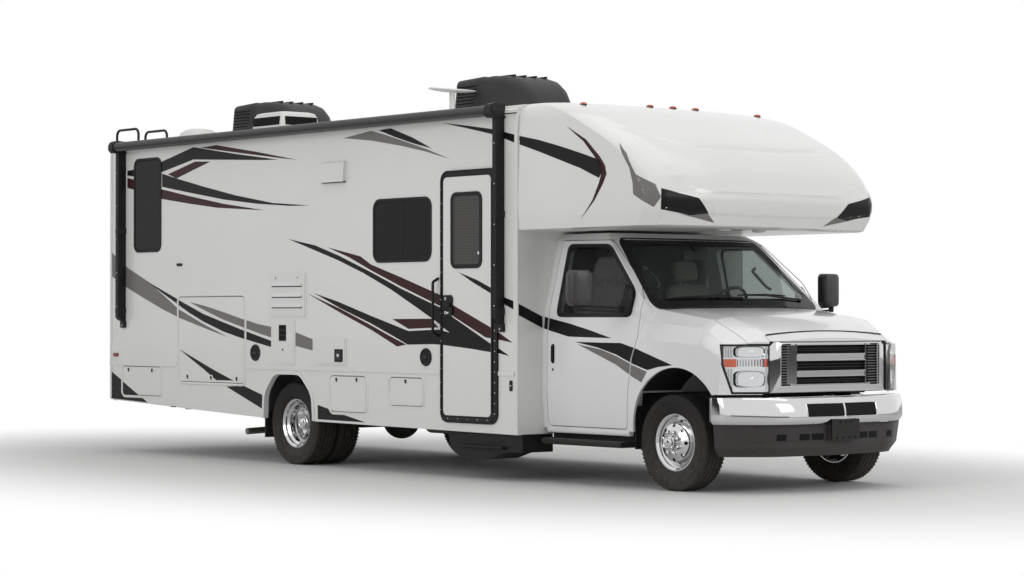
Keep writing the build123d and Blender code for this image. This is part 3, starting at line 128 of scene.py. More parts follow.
# colour, roughness, metallic, coat, dust, dust top, grain scale, bump height in mm
finishTable = {
    "gelcoat": ((0.80, 0.80, 0.79), 0.30, 0.0, 0.35, 0.10, 1.0, 240.0, 0.10),
    "capGelcoat": ((0.80, 0.80, 0.79), 0.26, 0.0, 0.45, 0.0, 1.0, 200.0, 0.10),
    "cabPaint": ((0.83, 0.83, 0.83), 0.22, 0.0, 0.70, 0.12, 0.9, 300.0, 0.03),
    "whitePlastic": ((0.79, 0.79, 0.78), 0.38, 0.0, 0.10, 0.08, 1.0, 700.0, 0.10),
    "stripeBlack": ((0.010, 0.009, 0.009), 0.34, 0.0, 0.0, 0.05, 0.9, 200.0, 0.02),
    "stripeMaroon": ((0.045, 0.015, 0.016), 0.34, 0.0, 0.0, 0.05, 0.9, 200.0, 0.02),
    "stripeGrey": ((0.19, 0.185, 0.18), 0.34, 0.0, 0.0, 0.05, 0.9, 200.0, 0.02),
    "frameBlack": ((0.014, 0.013, 0.013), 0.40, 0.0, 0.0, 0.03, 0.8, 500.0, 0.06),
    "fritBlack": ((0.008, 0.008, 0.008), 0.10, 0.0, 0.0, 0.0, 0.8, 40.0, 0.01),
    "houseGlass": ((0.006, 0.006, 0.006), 0.05, 0.0, 0.0, 0.0, 1.0, 3.0, 0.2),
    "blindGrey": ((0.060, 0.058, 0.056), 0.55, 0.0, 0.0, 0.0, 1.0, 300.0, 0.10),
    "chrome": ((0.66, 0.66, 0.67), 0.06, 1.0, 0.0, 0.10, 0.7, 90.0, 0.02),
    "polished": ((0.72, 0.72, 0.72), 0.16, 1.0, 0.0, 0.12, 0.6, 140.0, 0.05),
    "rubber": ((0.016, 0.015, 0.015), 0.62, 0.0, 0.0, 0.30, 0.7, 420.0, 0.12),
    "frameSteel": ((0.020, 0.020, 0.021), 0.50, 0.0, 0.0, 0.35, 0.9, 220.0, 0.25),
    "axleIron": ((0.045, 0.044, 0.043), 0.62, 0.4, 0.0, 0.50, 0.8, 160.0, 0.50),
    "blackPlastic": ((0.017, 0.016, 0.016), 0.48, 0.0, 0.0, 0.12, 0.7, 800.0, 0.15),
    "mirrorShell": ((0.030, 0.028, 0.027), 0.36, 0.0, 0.0, 0.12, 0.7, 800.0, 0.12),
    "charcoal": ((0.040, 0.038, 0.038), 0.50, 0.0, 0.0, 0.05, 4.0, 600.0, 0.20),
    "greyPlastic": ((0.046, 0.042, 0.042), 0.42, 0.0, 0.0, 0.15, 0.6, 600.0, 0.10),
    "roofSheet": ((0.72, 0.72, 0.70), 0.66, 0.0, 0.0, 0.15, 6.0, 120.0, 0.40),
    "galvanised": ((0.40, 0.41, 0.42), 0.42, 1.0, 0.0, 0.20, 0.9, 60.0, 0.20),
    "brightTube": ((0.70, 0.70, 0.71), 0.22, 1.0, 0.0, 0.05, 0.9, 200.0, 0.04),
    "exhaustSteel": ((0.24, 0.22, 0.20), 0.48, 1.0, 0.0, 0.40, 0.7, 90.0, 0.30),
    "redLens": ((0.36, 0.012, 0.010), 0.16, 0.0, 0.60, 0.05, 0.9, 260.0, 0.15),
    "amberLens": ((0.62, 0.10, 0.035), 0.16, 0.0, 0.50, 0.0, 0.9, 260.0, 0.15),
    "clearLens": ((0.70, 0.70, 0.68), 0.14, 0.0, 0.60, 0.0, 0.9, 260.0, 0.15),
    "cabTrim": ((0.055, 0.053, 0.052), 0.55, 0.0, 0.0, 0.0, 0.9, 900.0, 0.20),
    "mirrorGlass": ((0.60, 0.62, 0.63), 0.03, 1.0, 0.0, 0.0, 0.9, 40.0, 0.01),
    "meshBlack": ((0.008, 0.008, 0.008), 0.60, 0.0, 0.0, 0.0, 0.9, 500.0, 0.10),
}


def wornPaint(tree, color, roughness, cloud, dusty, dustTop=0.9):
    # colour and roughness out of the weather group, ready for a shader
    worn = shaderNode(tree, "Group", node_tree=weather)
    feedNode(tree, worn, {"Paint": (*color, 1), "Cloud": cloud, "Dusty": dusty, "Dust Top": dustTop,
                          "Roughness": roughness})
    return {"Base Color": worn.outputs["Color"], "Roughness": worn.outputs["Roughness"]}


def bumpOf(tree, height, distance):
    return shaderNode(tree, "Bump", {"Distance": distance, "Strength": 1.0, "Height": height}).outputs[0]


def makeFinish(name, color, roughness, metallic, coat, dusty, dustTop, scale, height):
    made = bpy.data.materials.new(name)
    made.use_nodes = True
    made.diffuse_color = (*color, 1)
    tree = made.node_tree
    pimples = feedNode(tree, shaderNode(tree, "Group", node_tree=grain), {"Scale": scale})
    feedNode(tree, tree.nodes["Principled BSDF"], {
        "Metallic": metallic, "Coat Weight": coat, "Coat Roughness": 0.06,
        **wornPaint(tree, color, roughness, 0.05, dusty, dustTop),
        "Normal": bumpOf(tree, pimples.outputs["Height"], height / 1000)})
    return made


finishes = {name: makeFinish(name, *row) for name, row in finishTable.items()}
# blacks that mirror less of the pale surroundings
dullLevels = {"stripeBlack": 0.16, "stripeMaroon": 0.16, "stripeGrey": 0.25, "frameBlack": 0.20, "houseGlass": 0.12,
              "rubber": 0.16, "frameSteel": 0.22, "axleIron": 0.25, "blackPlastic": 0.20, "charcoal": 0.22,
              "greyPlastic": 0.22, "meshBlack": 0.10, "cabTrim": 0.20, "fritBlack": 0.26}
for name, level in dullLevels.items():
    finishes[name].node_tree.nodes["Principled BSDF"].inputs["Specular IOR Level"].default_value = level


def glassFinish(name, color, bending):
    made = bpy.data.materials.new(name)
    made.use_nodes = True
    tree = made.node_tree
    feedNode(tree, tree.nodes["Principled BSDF"], {
        "Metallic": 0.0, "Transmission Weight": 1.0, "IOR": bending, **wornPaint(tree, color, 0.0, 0.02, 0.0)})
    return made


finishes["cabGlass"] = glassFinish("cabGlass", (0.80, 0.90, 0.87), 1.3)
finishes["tintGlass"] = glassFinish("tintGlass", (0.28, 0.29, 0.28), 1.3)
finishes["lampGlass"] = glassFinish("lampGlass", (0.97, 0.98, 0.98), 1.2)


def fabricFinish(name, color, threads):
    made = makeFinish(name, color, 0.85, 0.0, 0.0, 0.0, 1.0, 300.0, 0.1)
    tree = made.node_tree
    cloth = feedNode(tree, shaderNode(tree, "Group", node_tree=weave), {"Threads": threads})
    feedNode(tree, tree.nodes["Principled BSDF"], {
        "Sheen Weight": 0.3, "Normal": bumpOf(tree, cloth.outputs["Height"], 0.0006)})
    return made


finishes["awningCloth"] = fabricFinish("awningCloth", (0.045, 0.043, 0.042), 120.0)
finishes["seatCloth"] = fabricFinish("seatCloth", (0.20, 0.19, 0.175), 150.0)
print("finishes made:", len(finishes))


def startPiece():
    return {"mesh": bmesh.new(), "finishes": []}


def addFaces(piece, points, faces, finish):
    work = piece["mesh"]
    if finish not in piece["finishes"]:
        piece["finishes"].append(finish)
    index = piece["finishes"].index(finish)
    corners = [work.verts.new(point) for point in points]
    for face in faces:
        made = work.faces.new([corners[i] for i in face])
        made.material_index = index
        made.smooth = True


def addLoft(piece, rings, finish, ends=True, loop=False):
    # rings of the same count joined one after another
    count = len(rings[0])
    points = [point for ring in rings for point in ring]
    last = len(rings) if loop else len(rings) - 1
    faces = []
    for row in range(last):
        ahead = (row + 1) % len(rings)
        for i in range(count):
            j = (i + 1) % count
            faces.append((row * count + i, row * count + j, ahead * count + j, ahead * count + i))
    if ends and not loop:
        faces.append(tuple(reversed(range(count))))
        faces.append(tuple(range((len(rings) - 1) * count, len(rings) * count)))
    addFaces(piece, points, faces, finish)


def addPrism(piece, ring, move, finish):
    move = Vector(move)
    addLoft(piece, [[Vector(p) for p in ring], [Vector(p) + move for p in ring]], finish)


def addBox(piece, low, high, finish):
    ring = [(low[0], low[1], low[2]), (high[0], low[1], low[2]), (high[0], high[1], low[2]),
            (low[0], high[1], low[2])]
    addPrism(piece, ring, (0, 0, high[2] - low[2]), finish)


def addPlate(piece, levels, low, high, radius, steps, finish):
    # a rectangle with round corners, facing along x, from level to level
    addLoft(piece, [[Vector((x, y, z)) for y, z in roundRect(low, high, radius, steps)] for x in levels], finish)


def addRing(piece, outer, inner, move, finish):
    # a flat frame between two outlines of the same count
    move = Vector(move)
    outer = [Vector(p) for p in outer]
    inner = [Vector(p) for p in inner]
    rings = [outer, [p + move for p in outer], [p + move for p in inner], inner]
    addLoft(piece, rings, finish, loop=True)


def roundRect(low, high, radius, steps=6):
    # corners of a rectangle with round corners, in its own two directions
    points = []
    centres = ((high[0] - radius, high[1] - radius, 0), (low[0] + radius, high[1] - radius, 90),
               (low[0] + radius, low[1] + radius, 180), (high[0] - radius, low[1] + radius, 270))
    for across, up, angle in centres:
        for step in range(steps + 1):
            turn = math.radians(angle + 90 * step / steps)
            points.append((across + radius * math.cos(turn), up + radius * math.sin(turn)))
    return points


def onSide(points, y):
    return [Vector((x, y, z)) for x, z in points]


def sideRect(x, z, radius, y, grow=0.0, steps=6):
    rect = roundRect((x[0] - grow, z[0] - grow), (x[1] + grow, z[1] + grow), max(radius + grow, 0.001), steps)
    return onSide(rect, y)


def addBead(piece, x, z, radius, y, out, width, proud, finish):
    # a half-round moulding round a rectangle on a side wall; out is -1 on the right
    rings = []
    for angle in (0, 35, 70, 110, 145, 180):
        turn = math.radians(angle)
        rings.append(sideRect(x, z, radius, y + out * proud * math.sin(turn), -width / 2 * math.cos(turn)))
    addLoft(piece, rings, finish, loop=True)


def roundedPath(points, radius, steps=5):
    points = [Vector(p) for p in points]
    path = [points[0]]
    for before, corner, after in zip(points, points[1:], points[2:]):
        back = (before - corner).normalized()
        ahead = (after - corner).normalized()
        reach = min(radius, (before - corner).length / 2, (after - corner).length / 2)
        start, end = corner + back * reach, corner + ahead * reach
        for step in range(steps + 1):
            t = step / steps
            path.append(start * (1 - t) ** 2 + corner * 2 * t * (1 - t) + end * t ** 2)
    path.append(points[-1])
    return path


def addTube(piece, path, radius, finish, count=10, flat=1.0):
    path = [Vector(p) for p in path]
    rings, side = [], None
    for i, point in enumerate(path):
        ahead = (path[min(i + 1, len(path) - 1)] - path[max(i - 1, 0)]).normalized()
        side = ahead.orthogonal() if side is None else side - ahead * side.dot(ahead)
        side.normalize()
        up = ahead.cross(side)
        turns = [2 * math.pi * k / count for k in range(count)]
        rings.append([point + side * radius * math.cos(t) + up * radius * flat * math.sin(t) for t in turns])
    addLoft(piece, rings, finish)


def addTurned(piece, centre, axis, profile, finish, count=48, loop=False):
    # profile: radius and offset along the axis
    centre, axis = Vector(centre), Vector(axis).normalized()
    side = axis.orthogonal().normalized()
    up = axis.cross(side)
    rings = []
    for radius, off in profile:
        reach = max(radius, 0.0002)
        turns = [2 * math.pi * k / count for k in range(count)]
        rings.append([centre + axis * off + (side * math.cos(t) + up * math.sin(t)) * reach for t in turns])
    addLoft(piece, rings, finish, loop=loop)


def placePiece(name, mesh, body, replaced=()):
    made = bpy.data.objects.new(name, mesh)
    scene.collection.objects.link(made)
    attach(made, body)
    if replaced:
        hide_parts(*replaced)
    return made


def addBevel(made, width):
    edge = made.modifiers.new("edges", "BEVEL")
    edge.width = width
    edge.segments = 2
    edge.limit_method = "ANGLE"
    edge.angle_limit = math.radians(35)
    edge.harden_normals = True


def meshPiece(work, name, finish, body, replaced=()):
    # one piece out of a working mesh, in a single finish
    mesh = bpy.data.meshes.new(name)
    work.to_mesh(mesh)
    work.free()
    mesh.materials.append(finishes[finish])
    return placePiece(name, mesh, body, replaced)


def sharpenEdges(work, angle):
    for edge in work.edges:
        if len(edge.link_faces) == 2 and edge.calc_face_angle(0.0) > math.radians(angle):
            edge.smooth = False


def finishPiece(piece, name, body, replaced=(), bevel=0.0, sharp=38, outwards=True):
    work = piece["mesh"]
    if outwards:
        bmesh.ops.recalc_face_normals(work, faces=work.faces)
    if bevel == 0:
        sharpenEdges(work, sharp)
    mesh = bpy.data.meshes.new(name)
    work.to_mesh(mesh)
    work.free()
    for finish in piece["finishes"]:
        mesh.materials.append(finishes[finish])
    made = placePiece(name, mesh, body, replaced)
    if bevel > 0:
        addBevel(made, bevel)
    return made


def paintNode(name, finish):
    # gives a CAD node its finish
    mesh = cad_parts[name].data
    if not mesh.materials:
        mesh.materials.append(finishes[finish])
    for index in range(len(mesh.materials)):
        mesh.materials[index] = finishes[finish]


def geometryTree(name, inputs):
    # a Geometry Nodes tree that makes its own geometry from named inputs
    tree = bpy.data.node_groups.new(name, "GeometryNodeTree")
    tree.interface.new_socket("Geometry", in_out="OUTPUT", socket_type="NodeSocketGeometry")
    for label, kind, value in inputs:
        socket = tree.interface.new_socket(label, in_out="INPUT", socket_type="NodeSocket" + kind)
        if value is not None:
            socket.default_value = value
    tree.interface.new_socket("Finish", in_out="INPUT", socket_type="NodeSocketMaterial")
    return tree, tree.nodes.new("NodeGroupInput").outputs, tree.nodes.new("NodeGroupOutput")


def growNode(tree, kind, feeds=None):
    return feedNode(tree, tree.nodes.new("GeometryNode" + kind), feeds or {})


def growMesh(tree, finish, **values):
    # runs a tree once and gives back its plain mesh; underscores stand for spaces in the inputs' names
    host = bpy.data.objects.new("grown", bpy.data.meshes.new("grown"))
    scene.collection.objects.link(host)
    grower = host.modifiers.new("grow", "NODES")
    grower.node_group = tree
    wanted = {key.replace("_", " "): value for key, value in values.items()}
    wanted["Finish"] = finishes[finish]
    for socket in tree.interface.items_tree:
        if socket.in_out == "INPUT" and socket.name in wanted:
            grower[socket.identifier] = wanted[socket.name]
    bpy.context.view_layer.update()
    seen = host.evaluated_get(bpy.context.evaluated_depsgraph_get())
    mesh = bpy.data.meshes.new_from_object(seen)
    bpy.data.objects.remove(host)
    return mesh


def closeTree(tree, end, source, given, flat=True):
    # Realize Instances and Set Material, which every tree ends in
    real = growNode(tree, "RealizeInstances", {0: source})
    shade = growNode(tree, "SetShadeSmooth", {"Geometry": real.outputs[0], "Shade Smooth": not flat})
    paint = growNode(tree, "SetMaterial", {"Geometry": shade.outputs[0], "Material": given["Finish"]})
    feedNode(tree, end, {0: paint.outputs[0]})
    return tree


def rowTree(name, size, shape, flat):
    # copies of one shape along a straight row
    tree, given, end = geometryTree(name, (
        ("Count", "Int", 5), ("Start", "Vector", (0, 0, 0)), ("Step", "Vector", (0, 0, 0.1)), size,
        ("Turn", "Vector", (0, 0, 0))))
    line = growNode(tree, "MeshLine", {"Count": given["Count"], "Start Location": given["Start"],
                                       "Offset": given["Step"]})
    row = growNode(tree, "InstanceOnPoints", {"Points": line.outputs[0], "Instance": shape(tree, given),
                                              "Rotation": given["Turn"]})
    return closeTree(tree, end, row.outputs[0], given, flat)


def blockShape(tree, given):
    return growNode(tree, "MeshCube", {"Size": given["Block"]}).outputs["Mesh"]


def screwShape(tree, given):
    # a domed head with its back on the row's line
    ball = growNode(tree, "MeshUVSphere", {"Segments": 10, "Rings": 6, "Radius": given["Head"]})
    return growNode(tree, "Transform", {"Geometry": ball.outputs["Mesh"], "Scale": (1, 1, 0.5)}).outputs[0]


def treadTree():
    # one ring of tread blocks about the Z axis
    tree, given, end = geometryTree("treadRing", (
        ("Count", "Int", 60), ("Radius", "Float", 0.36), ("Offset", "Float", 0.0),
        ("Block", "Vector", (0.012, 0.02, 0.03)), ("Skew", "Float", 0.2), ("Phase", "Float", 0.0)))
    circle = growNode(tree, "MeshCircle", {"Vertices": given["Count"], "Radius": given["Radius"]})
    lift, spin, tilt = (shaderNode(tree, "CombineXYZ", {axis: given[label]}).outputs[0]
                        for axis, label in (("Z", "Offset"), ("Z", "Phase"), ("X", "Skew")))
    ring = growNode(tree, "Transform", {"Geometry": circle.outputs[0], "Translation": lift, "Rotation": spin})
    slant = growNode(tree, "Transform", {"Geometry": blockShape(tree, given), "Rotation": tilt})
    where = growNode(tree, "InputPosition").outputs[0]
    flatten = shaderNode(tree, "VectorMath", {0: where, 1: (1, 1, 0)}, operation="MULTIPLY")
    align = tree.nodes.new("FunctionNodeAlignRotationToVector")
    align.axis = "X"
    align.pivot_axis = "Z"
    feedNode(tree, align, {"Vector": flatten.outputs[0]})
    blocks = growNode(tree, "InstanceOnPoints", {"Points": ring.outputs[0], "Instance": slant.outputs[0],
                                                 "Rotation": align.outputs[0]})
    return closeTree(tree, end, blocks.outputs[0], given)


rowOfBlocks = rowTree("rowOfBlocks", ("Block", "Vector", (0.1, 0.1, 0.01)), blockShape, True)
rowOfScrews = rowTree("rowOfScrews", ("Head", "Float", 0.005), screwShape, False)
treadRing = treadTree()


def joinMeshes(name, meshes):
    # several grown meshes of one body as one
    work = bmesh.new()
    slots = []
    for mesh in meshes:
        before = len(work.faces)
        work.from_mesh(mesh)
        work.faces.ensure_lookup_table()
        for face in work.faces[before:]:
            finish = mesh.materials[face.material_index] if mesh.materials else None
            if finish not in slots:
                slots.append(finish)
            face.material_index = slots.index(finish)
        bpy.data.meshes.remove(mesh)
    joined = bpy.data.meshes.new(name)
    work.to_mesh(joined)
    work.free()
    for finish in slots:
        joined.materials.append(finish)
    return joined


toAxisY = Matrix.Rotation(math.radians(90), 4, "X")

# camera, floor and lights
stageLook = {
    "cameraPlace": (17.809, -14.430, 1.348), "cameraAim": (-0.7694, 0.6387, 0.0108), "lens": 89.51,
    "floorColor": (0.74, 0.735, 0.73), "skyLight": 0.42,
    # place, aim, size, watts
    "lamps": (
        ("topLamp", (3.0, 0.0, 13.0), (0.0, 0.0, 1.0), 14.0, 520),
        ("frontLamp", (19.0, 5.0, 8.0), (3.0, 0.0, 1.4), 7.0, 700),
        ("sideLamp", (2.0, -17.0, 6.5), (-0.5, 0.0, 1.5), 9.0, 600),
    ),
}

camera = bpy.data.objects.new("camera", bpy.data.cameras.new("camera"))
scene.collection.objects.link(camera)
camera.location = stageLook["cameraPlace"]
camera.rotation_euler = Vector(stageLook["cameraAim"]).to_track_quat("-Z", "Y").to_euler()
camera.data.lens = stageLook["lens"]
camera.data.sensor_width = 36.0
scene.camera = camera

for lampName, place, aim, size, watts in stageLook["lamps"]:
    lamp = bpy.data.objects.new(lampName, bpy.data.lights.new(lampName, "AREA"))
    lamp.data.size = size
    lamp.data.energy = watts
    lamp.location = place
    lamp.rotation_euler = (Vector(aim) - Vector(place)).to_track_quat("-Z", "Y").to_euler()
    scene.collection.objects.link(lamp)


def clearRays(tree, *labels):
    # 1 for the named kinds of ray, which see the plain white background
    rays = tree.nodes.new("ShaderNodeLightPath").outputs
    seen = rays[labels[0]]
    for label in labels[1:]:
        seen = mathNode(tree, "MAXIMUM", seen, rays[label])
    return seen


def makeSky():
    world = bpy.data.worlds.new("studio")
    scene.world = world
    world.use_nodes = True
    tree = world.node_tree
    clear = clearRays(tree, "Is Camera Ray", "Is Transmission Ray", "Is Glossy Ray")
    level = shaderNode(tree, "MapRange", {"To Min": stageLook["skyLight"], "To Max": 1.0, "Value": clear})
    feedNode(tree, tree.nodes["Background"], {"Strength": level.outputs[0], "Color": (1, 1, 1, 1)})


def flatBoard(name, corners):
    mesh = bpy.data.meshes.new(name)
    mesh.from_pydata(corners, [], [(0, 1, 2, 3)])
    made = bpy.data.objects.new(name, mesh)
    scene.collection.objects.link(made)
    return made


def makeFloor():
    # pale floor that fades into the white background away from the vehicle
    reach = 80.0
    floor = flatBoard("floor", [(-reach, -reach, 0), (reach, -reach, 0), (reach, reach, 0), (-reach, reach, 0)])
    floor.location = (0, 0, -0.001)
    paint = bpy.data.materials.new("floorPaint")
    paint.use_nodes = True
    tree = paint.node_tree
    shader = feedNode(tree, tree.nodes["Principled BSDF"], {"Base Color": (*stageLook["floorColor"], 1),
                                                           "Roughness": 0.75})
    place = shaderNode(tree, "TexCoord").outputs["Object"]
    squeeze = shaderNode(tree, "VectorMath", {0: place, 1: (0.60, 1.0, 1.0)}, operation="MULTIPLY")
    away = shaderNode(tree, "VectorMath", {0: squeeze.outputs[0]}, operation="LENGTH")
    fade = shaderNode(tree, "MapRange", {"From Min": 2.6, "From Max": 6.0, "Value": away.outputs["Value"]},
                      interpolation_type="SMOOTHSTEP")
    share = mathNode(tree, "MULTIPLY", fade.outputs[0], clearRays(tree, "Is Camera Ray", "Is Transmission Ray"))
    blend = shaderNode(tree, "MixShader", {0: share, 1: shader.outputs[0], 2: shaderNode(tree, "Emission").outputs[0]})
    feedNode(tree, tree.nodes["Material Output"], {"Surface": blend.outputs[0]})
    floor.data.materials.append(paint)


def makeFlags():
    # dark boards that only mirrors and glass see
    paint = bpy.data.materials.new("boardPaint")
    paint.use_nodes = True
    feedNode(paint.node_tree, paint.node_tree.nodes["Principled BSDF"], {"Base Color": (0.05, 0.055, 0.05, 1),
                                                                         "Roughness": 0.9})
    for name, low, high in (("sideBoard", (-30, -34, 0), (-6, -40, 9)), ("frontBoard", (31, -30, 0), (34, 12, 1.6))):
        made = flatBoard(name, [low, (high[0], high[1], low[2]), high, (low[0], low[1], high[2])])
        made.data.materials.append(paint)
        made.visible_camera = made.visible_diffuse = made.visible_transmission = made.visible_shadow = False


makeSky()
makeFloor()
makeFlags()
scene.view_settings.view_transform = "Standard"
print("stage set")

# what each carried-over node is finished in
nodeFinishes = {
    "right_wall": "gelcoat", "left_wall": "gelcoat", "rear_wall": "gelcoat", "front_wall": "gelcoat",
    "roof": "roofSheet", "chassis_frame": "frameSteel", "rear_axle": "axleIron", "front_axle": "axleIron",
    "steering_knuckle_right": "axleIron", "steering_knuckle_left": "axleIron", "drivetrain": "axleIron",
    "exhaust": "exhaustSteel", "tanks": "blackPlastic", "house_floor": "galvanised",
    "storage_tubs": "galvanised", "cross_beams": "frameSteel",
    "hitch_receiver": "frameSteel", "entry_frame": "frameBlack", "entry_door": "gelcoat",
    "cargo_lid": "gelcoat", "rear_hatch": "gelcoat", "mid_hatch": "gelcoat", "front_hatch": "gelcoat",
    "ladder": "frameBlack", "rear_bumper": "frameSteel",
    "entry_step": "frameBlack", "dashboard": "cabTrim", "wheel_liners": "blackPlastic",
    "windshield": "cabGlass", "door_glass_right": "tintGlass",
    "door_glass_left": "tintGlass", "front_valance": "greyPlastic",
}
for nodeName, finishName in nodeFinishes.items():
    paintNode(nodeName, finishName)
print("nodes finished:", len(nodeFinishes))

# openings of the right wall that the stripes stop at: x limits, z limits, corner radius
wallOpenings = {
    "cargo_lid": ((-3.066, -1.902), (0.703, 1.540), 0.060),
    "rear_hatch": ((-4.092, -3.352), (0.551, 0.862), 0.050),
    "mid_hatch": ((-0.574, -0.005), (0.486, 0.831), 0.060),
    "front_hatch": ((0.297, 0.802), (0.564, 0.832), 0.060),
}
lidEdge, lidFace = 0.018, 1.2750
entryDoor = {"x": (1.073, 1.700), "z": (0.517, 2.500), "radius": 0.044, "face": 1.284,
             "frameX": (1.032, 1.785), "frameZ": (0.457, 2.555), "frameFace": 1.282}
wallFace = 1.270

stripes = (
    ("rearBlackTop", "stripeBlack", ((-4.002, 2.780), (-3.868, 2.786), (-3.359, 2.842), (-2.800, 2.953),
     (-2.074, 2.853), (-1.381, 2.768), (-1.599, 2.774), (-2.799, 2.835), (-3.359, 2.740), (-3.868, 2.716),
     (-4.002, 2.733))),
    ("rearMaroonTop", "stripeMaroon", ((-2.681, 2.942), (-2.404, 2.952), (-1.737, 2.857), (-1.072, 2.751),
     (-1.381, 2.784), (-2.017, 2.861))),
    ("rearMaroonBlock", "stripeMaroon", ((-3.251, 2.714), (-2.770, 2.814), (-2.505, 2.802), (-3.099, 2.667))),
    ("rearBlackMid", "stripeBlack", ((-3.358, 2.724), (-3.099, 2.667), (-2.622, 2.570), (-2.073, 2.467),
     (-1.461, 2.375), (-0.874, 2.333), (-1.191, 2.340), (-1.709, 2.376), (-2.273, 2.435), (-2.858, 2.520),
     (-3.358, 2.596))),
    ("rearMaroonLow", "stripeMaroon", ((-4.002, 2.709), (-3.868, 2.686), (-3.358, 2.571), (-2.858, 2.487),
     (-2.273, 2.395), (-1.598, 2.313), (-2.388, 2.362), (-2.858, 2.415), (-3.358, 2.478), (-3.868, 2.586),
     (-4.002, 2.612))),
    ("tailGrey", "stripeGrey", ((-4.290, 1.972), (-3.999, 1.821), (-3.588, 1.670), (-3.065, 1.413),
     (-2.618, 1.268), (-2.198, 1.148), (-2.443, 1.197), (-2.736, 1.260), (-3.065, 1.332), (-3.339, 1.406),
     (-3.650, 1.505), (-3.999, 1.621), (-4.289, 1.736))),
    ("tailBlack", "stripeBlack", ((-3.635, 1.682), (-3.066, 1.502), (-2.619, 1.364), (-2.270, 1.285),
     (-1.957, 1.215), (-1.706, 1.162), (-1.486, 1.117), (-1.486, 1.060), (-1.706, 1.095), (-1.957, 1.137),
     (-2.270, 1.198), (-2.618, 1.292), (-2.855, 1.372), (-3.065, 1.454), (-3.340, 1.561))),
    ("tailGreyUpper", "stripeGrey", ((-2.856, 1.477), (-2.619, 1.444), (-2.270, 1.380), (-1.958, 1.317),
     (-1.706, 1.270), (-1.487, 1.245), (-1.486, 1.148), (-1.706, 1.188), (-1.957, 1.243), (-2.270, 1.309),
     (-2.619, 1.404))),
    ("tailGreyBehind", "stripeGrey", ((-1.096, 1.196), (-0.833, 1.137), (-0.833, 1.036), (-1.096, 1.074))),
    ("cargoWedge", "stripeBlack", ((-3.040, 1.027), (-2.735, 0.930), (-2.442, 0.839), (-2.098, 0.742),
     (-2.390, 0.740), (-2.617, 0.844), (-2.854, 0.945))),
    ("cargoWedgeLow", "stripeBlack", ((-2.226, 0.684), (-1.928, 0.695), (-1.630, 0.620), (-1.630, 0.492))),
    ("tailCorner", "stripeBlack", ((-4.303, 0.792), (-3.616, 0.498), (-4.302, 0.522))),
    ("archWedge", "stripeBlack", ((-0.755, 0.552), (-0.546, 0.514), (-0.335, 0.471), (-0.034, 0.419),
     (-0.749, 0.424))),
    ("bandTop", "stripeMaroon", ((-0.614, 1.955), (-0.113, 1.864), (0.043, 1.790), (0.481, 1.672),
     (0.907, 1.551), (1.021, 1.518), (1.207, 1.434), (1.700, 1.251), (1.964, 1.128), (1.759, 1.155),
     (1.631, 1.170), (1.207, 1.342), (1.021, 1.426), (0.481, 1.593), (0.043, 1.740), (-0.283, 1.859))),
    ("bandMain", "stripeBlack", ((-1.218, 2.041), (-0.795, 1.974), (-0.435, 1.876), (0.043, 1.723),
     (0.481, 1.574), (1.021, 1.412), (1.207, 1.332), (1.700, 1.118), (1.926, 1.020), (1.799, 1.039),
     (1.700, 1.049), (1.441, 1.074), (1.073, 1.102), (0.907, 1.107), (0.568, 1.100), (0.395, 1.161),
     (0.043, 1.279), (-0.409, 1.412), (-0.807, 1.547), (-0.434, 1.467), (0.043, 1.345), (0.578, 1.216),
     (0.990, 1.230), (1.160, 1.207), (0.907, 1.322), (0.632, 1.442), (0.329, 1.572), (-0.069, 1.718),
     (-0.434, 1.832), (-0.795, 1.929))),
    ("bandLow", "stripeMaroon", ((-0.912, 1.545), (-0.409, 1.406), (0.043, 1.263), (0.308, 1.174),
     (0.546, 1.100), (0.417, 1.083), (0.043, 1.225), (-0.409, 1.372))),
    ("insert", "stripeMaroon", ((0.351, 1.318), (0.886, 1.321), (0.990, 1.248), (0.578, 1.234))),
    ("frontBandLow", "stripeBlack", ((1.279, 1.707), (1.521, 1.641), (1.700, 1.576), (1.867, 1.494),
     (1.974, 1.465), (1.974, 1.397), (1.867, 1.436), (1.700, 1.530), (1.481, 1.616))),
    ("frontBlackTip", "stripeBlack", ((0.152, 2.949), (0.328, 2.956), (0.631, 2.861), (0.906, 2.753),
     (0.652, 2.808), (0.372, 2.882))),
    ("frontGrey", "stripeGrey", ((-0.365, 2.908), (0.041, 2.950), (0.263, 2.901), (0.523, 2.834),
     (0.822, 2.754), (1.145, 2.654), (0.822, 2.731), (0.480, 2.797), (0.041, 2.866))),
    ("frontBand", "stripeBlack", ((1.041, 2.961), (1.420, 2.913), (1.720, 2.869), (1.867, 2.838),
     (1.984, 2.812), (1.984, 2.747), (1.877, 2.781), (1.720, 2.827), (1.420, 2.888))),
)
stripeThickness = 0.0009


def splitByLine(part, start, end):
    # cuts a convex outline along a line: what is left of it and what is right of it
    def height(point):
        return (end[0] - start[0]) * (point[1] - start[1]) - (end[1] - start[1]) * (point[0] - start[0])

    left, right = [], []
    for here, there in zip(part, part[1:] + part[:1]):
        a, b = height(here), height(there)
        (left if a >= 0 else right).append(here)
        if a == 0:
            right.append(here)
        if a * b < 0:
            share = a / (a - b)
            cross = (here[0] + (there[0] - here[0]) * share, here[1] + (there[1] - here[1]) * share)
            left.append(cross)
            right.append(cross)
    return left, right


def splitByOutline(part, outline):
    # outline runs anticlockwise: the part inside it, and the parts outside
    outside = []
    for start, end in zip(outline, outline[1:] + outline[:1]):
        part, rest = splitByLine(part, start, end)
        if len(rest) > 2:
            outside.append(rest)
        if len(part) < 3:
            return None, outside
    return part, outside


def grownRect(x, z, radius, grow):
    return roundRect((x[0] - grow, z[0] - grow), (x[1] + grow, z[1] + grow), max(radius + grow, 0.004), 5)


